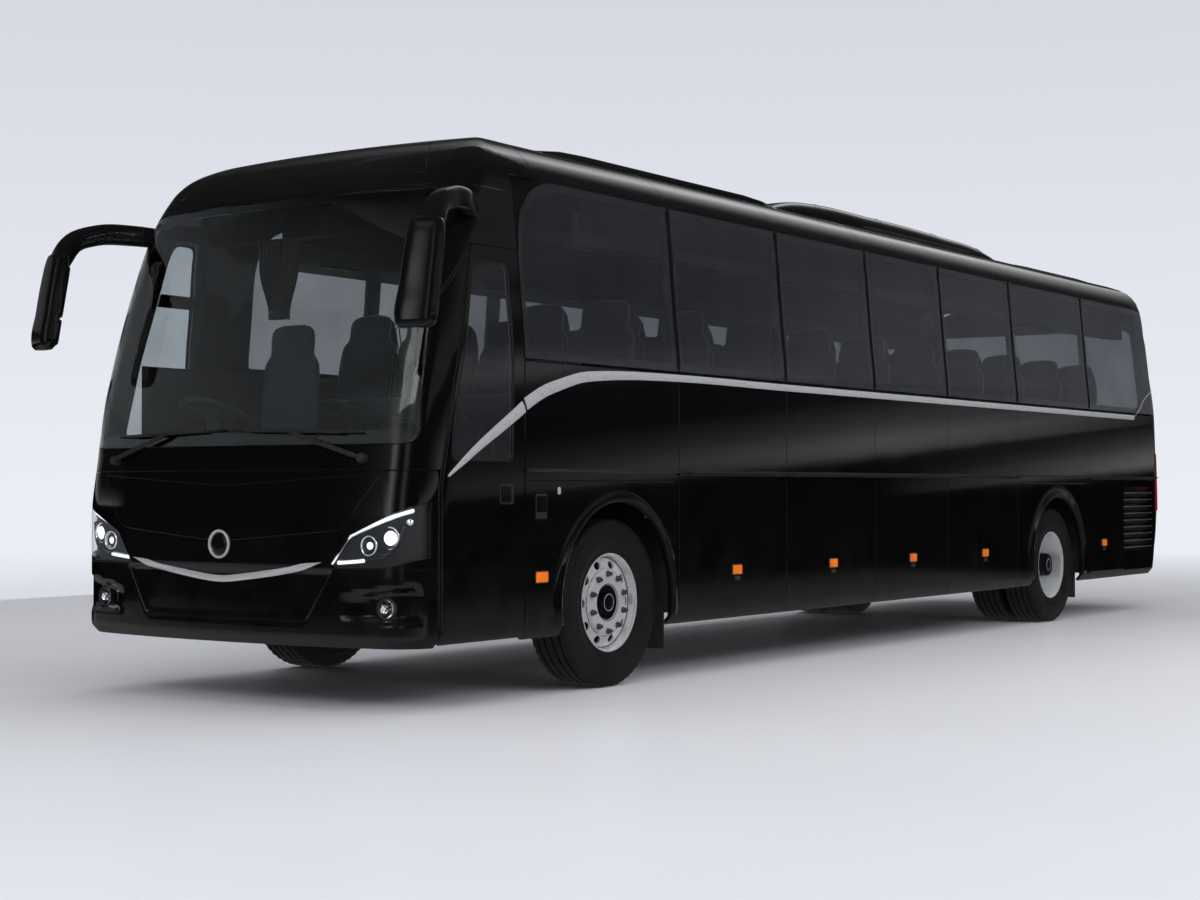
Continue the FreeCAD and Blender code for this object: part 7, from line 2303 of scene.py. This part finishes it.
    # gathered curtain, tied low down, on its rod
    form = cab["curtain"]
    across, down = 150, 46
    points = []
    for j in range(down + 1):
        t = j / down
        z = form["top"] + (form["bottom"] - form["top"]) * t
        tie = math.exp(-((t - 0.94) / 0.42) ** 2)
        wide = (form["right"] - form["left"]) / 2 * (1 - 0.60 * tie)
        depth = 0.020 + 0.012 * tie - 0.004 * t
        for i in range(across + 1):
            u = 2 * i / across - 1
            fold = (math.sin(u * math.pi * 9 + 0.9 * math.sin(5 * t + 2 * u))
                    * (0.75 + 0.25 * math.sin(7 * u + 1.3)))
            points.append(((form["left"] + form["right"]) / 2 + wide * u
                           + 0.010 * math.sin(u * math.pi * 9 + 1.2) * (1 - tie),
                           along(form["s"]) + depth * fold, z - 0.004 * abs(fold)))
    curtain = meshPiece("cabCurtain", points, gridFaces(down + 1, across + 1, False), curtainCloth)
    drop = form["top"] - form["bottom"]
    rod = swept("curtainRod", [((a, along(form["s"]), form["top"] + 0.002), (0, 0.009, 0), (0, 0, 0.009))
                               for a in (-0.99, -0.98, -0.5, -0.16, -0.15)],
                darkPlastic, slot="bright", parts=12)
    tieZ = form["top"] - 0.93 * drop
    tie = swept("curtainTie", [((-0.61 + 0.072 * math.cos(t), along(form["s"]) + 0.040 * math.sin(t), tieZ),
                                (0.003 * math.cos(t), 0.003 * math.sin(t), 0), (0, 0, 0.016))
                               for t in np.linspace(0, 2 * math.pi, 33)], curtainCloth, parts=8, caps=False,
                               power=4)
    print("cab ready")


makeCab()

# Luggage racks with their lamps, and the ceiling console
ceilingFelt = fabricFinish("ceilingFelt", (0.014, 0.014, 0.015), (0.018, 0.018, 0.019), threads=300.0,
                           sheen=0.1, strength=0.2)
racks = {"start": -0.300, "end": 8.72, "inner": 0.832}


def makeRacks():
    for side in (1, -1):
        word = sideWord(side)
        section = [(1.176, 2.566), (1.05, 2.576), (0.90, 2.600), (0.850, 2.610), (0.836, 2.622),
                   (0.833, 2.640), (0.833, 2.668), (0.838, 2.684),
                   (0.852, 2.691), (0.868, 2.684), (0.900, 2.664), (1.00, 2.640), (1.150, 2.632),
                   (1.150, 2.752), (1.158, 2.756)]
        points = []
        steps = [racks["start"], racks["start"] + 0.01] + list(np.linspace(racks["start"] + 0.4,
                racks["end"] - 0.4, 12)) + [racks["end"] - 0.01, racks["end"]]
        for s in steps:
            points += [(side * x, along(s), z) for x, z in section]
        faces = gridFaces(len(steps), len(section)) + endFaces(len(steps), len(section))
        solidPiece(f"luggageRack_{word}", points, faces, trimPanel, sharp=35, replaces=["luggage_racks"])
        for i in range(seats["rows"]):
            s = seats["first"] + seats["pitch"] * i + 0.30
            rows = [((side * 0.965, along(s + 0.17 * t), 2.588), (0.055, 0, -0.006), (0, 0, 0.005))
                    for t in (-1, -0.96, 0, 0.96, 1)]
            swept(f"servicePanel_{word}_{i + 1}", rows, cabPlastic, parts=16, power=6)
            for k, off in enumerate((-0.08, 0.08)):
                disc(f"readingLamp_{word}_{i + 1}_{k}", (side * 0.965, along(s + off), 2.5845), (0, 0, -1),
                     0.022,
                     [(1.0, -0.002), (1.0, 0.003), (0.85, 0.005), (0.7, 0.002), (0.0, 0.0035)], brightMetal,
                     parts=20)
    section = [(1.150, 2.700), (0.848, 2.698), (0.838, 2.720), (0.826, 2.800), (0.790, 2.880), (0.730, 2.940),
               (0.640, 2.975), (0.45, 3.000), (0.2, 3.015), (0.0, 3.018)]
    section += [(-x, z) for x, z in section[-2::-1]]
    steps = list(np.linspace(racks["start"] + 0.02, racks["end"], 32))
    points = [(x, along(s), z) for s in steps for x, z in section]
    piece = meshPiece("ceilingLining", points, gridFaces(len(steps), len(section), False), ceilingFelt)
    thick = piece.modifiers.new("thick", "SOLIDIFY")
    thick.thickness, thick.offset = 0.006, 0.0
    for side in (1, -1):
        for name, inner, outer, low, high in (("wallLining", 1.184, 1.190, 1.262, 1.885),
                                              ("headLining", 1.168, 1.174, 2.640, 2.905)):
            a, b = sorted((side * inner, side * outer))
            start = -1.42 if side < 0 and name == "wallLining" else -0.25
            blockPiece(f"{name}_{sideWord(side)}", (a, along(start), low), (b, along(racks["end"]), high),
                       ceilingFelt, edge=0.002)
        for i in range(seats["rows"]):
            s = seats["first"] + seats["pitch"] * i
            rows = [((side * x, along(s), z + 0.001), (0, 0.003, 0), (side * 0.002, 0, 0.002)) for x,
                    z in ((0.838, 2.705), (0.826, 2.800), (0.790, 2.880), (0.735, 2.936))]
            swept(f"binSeam_{sideWord(side)}_{i + 1}", rows, sealRubber, parts=6)
    print("racks ready")


makeRacks()
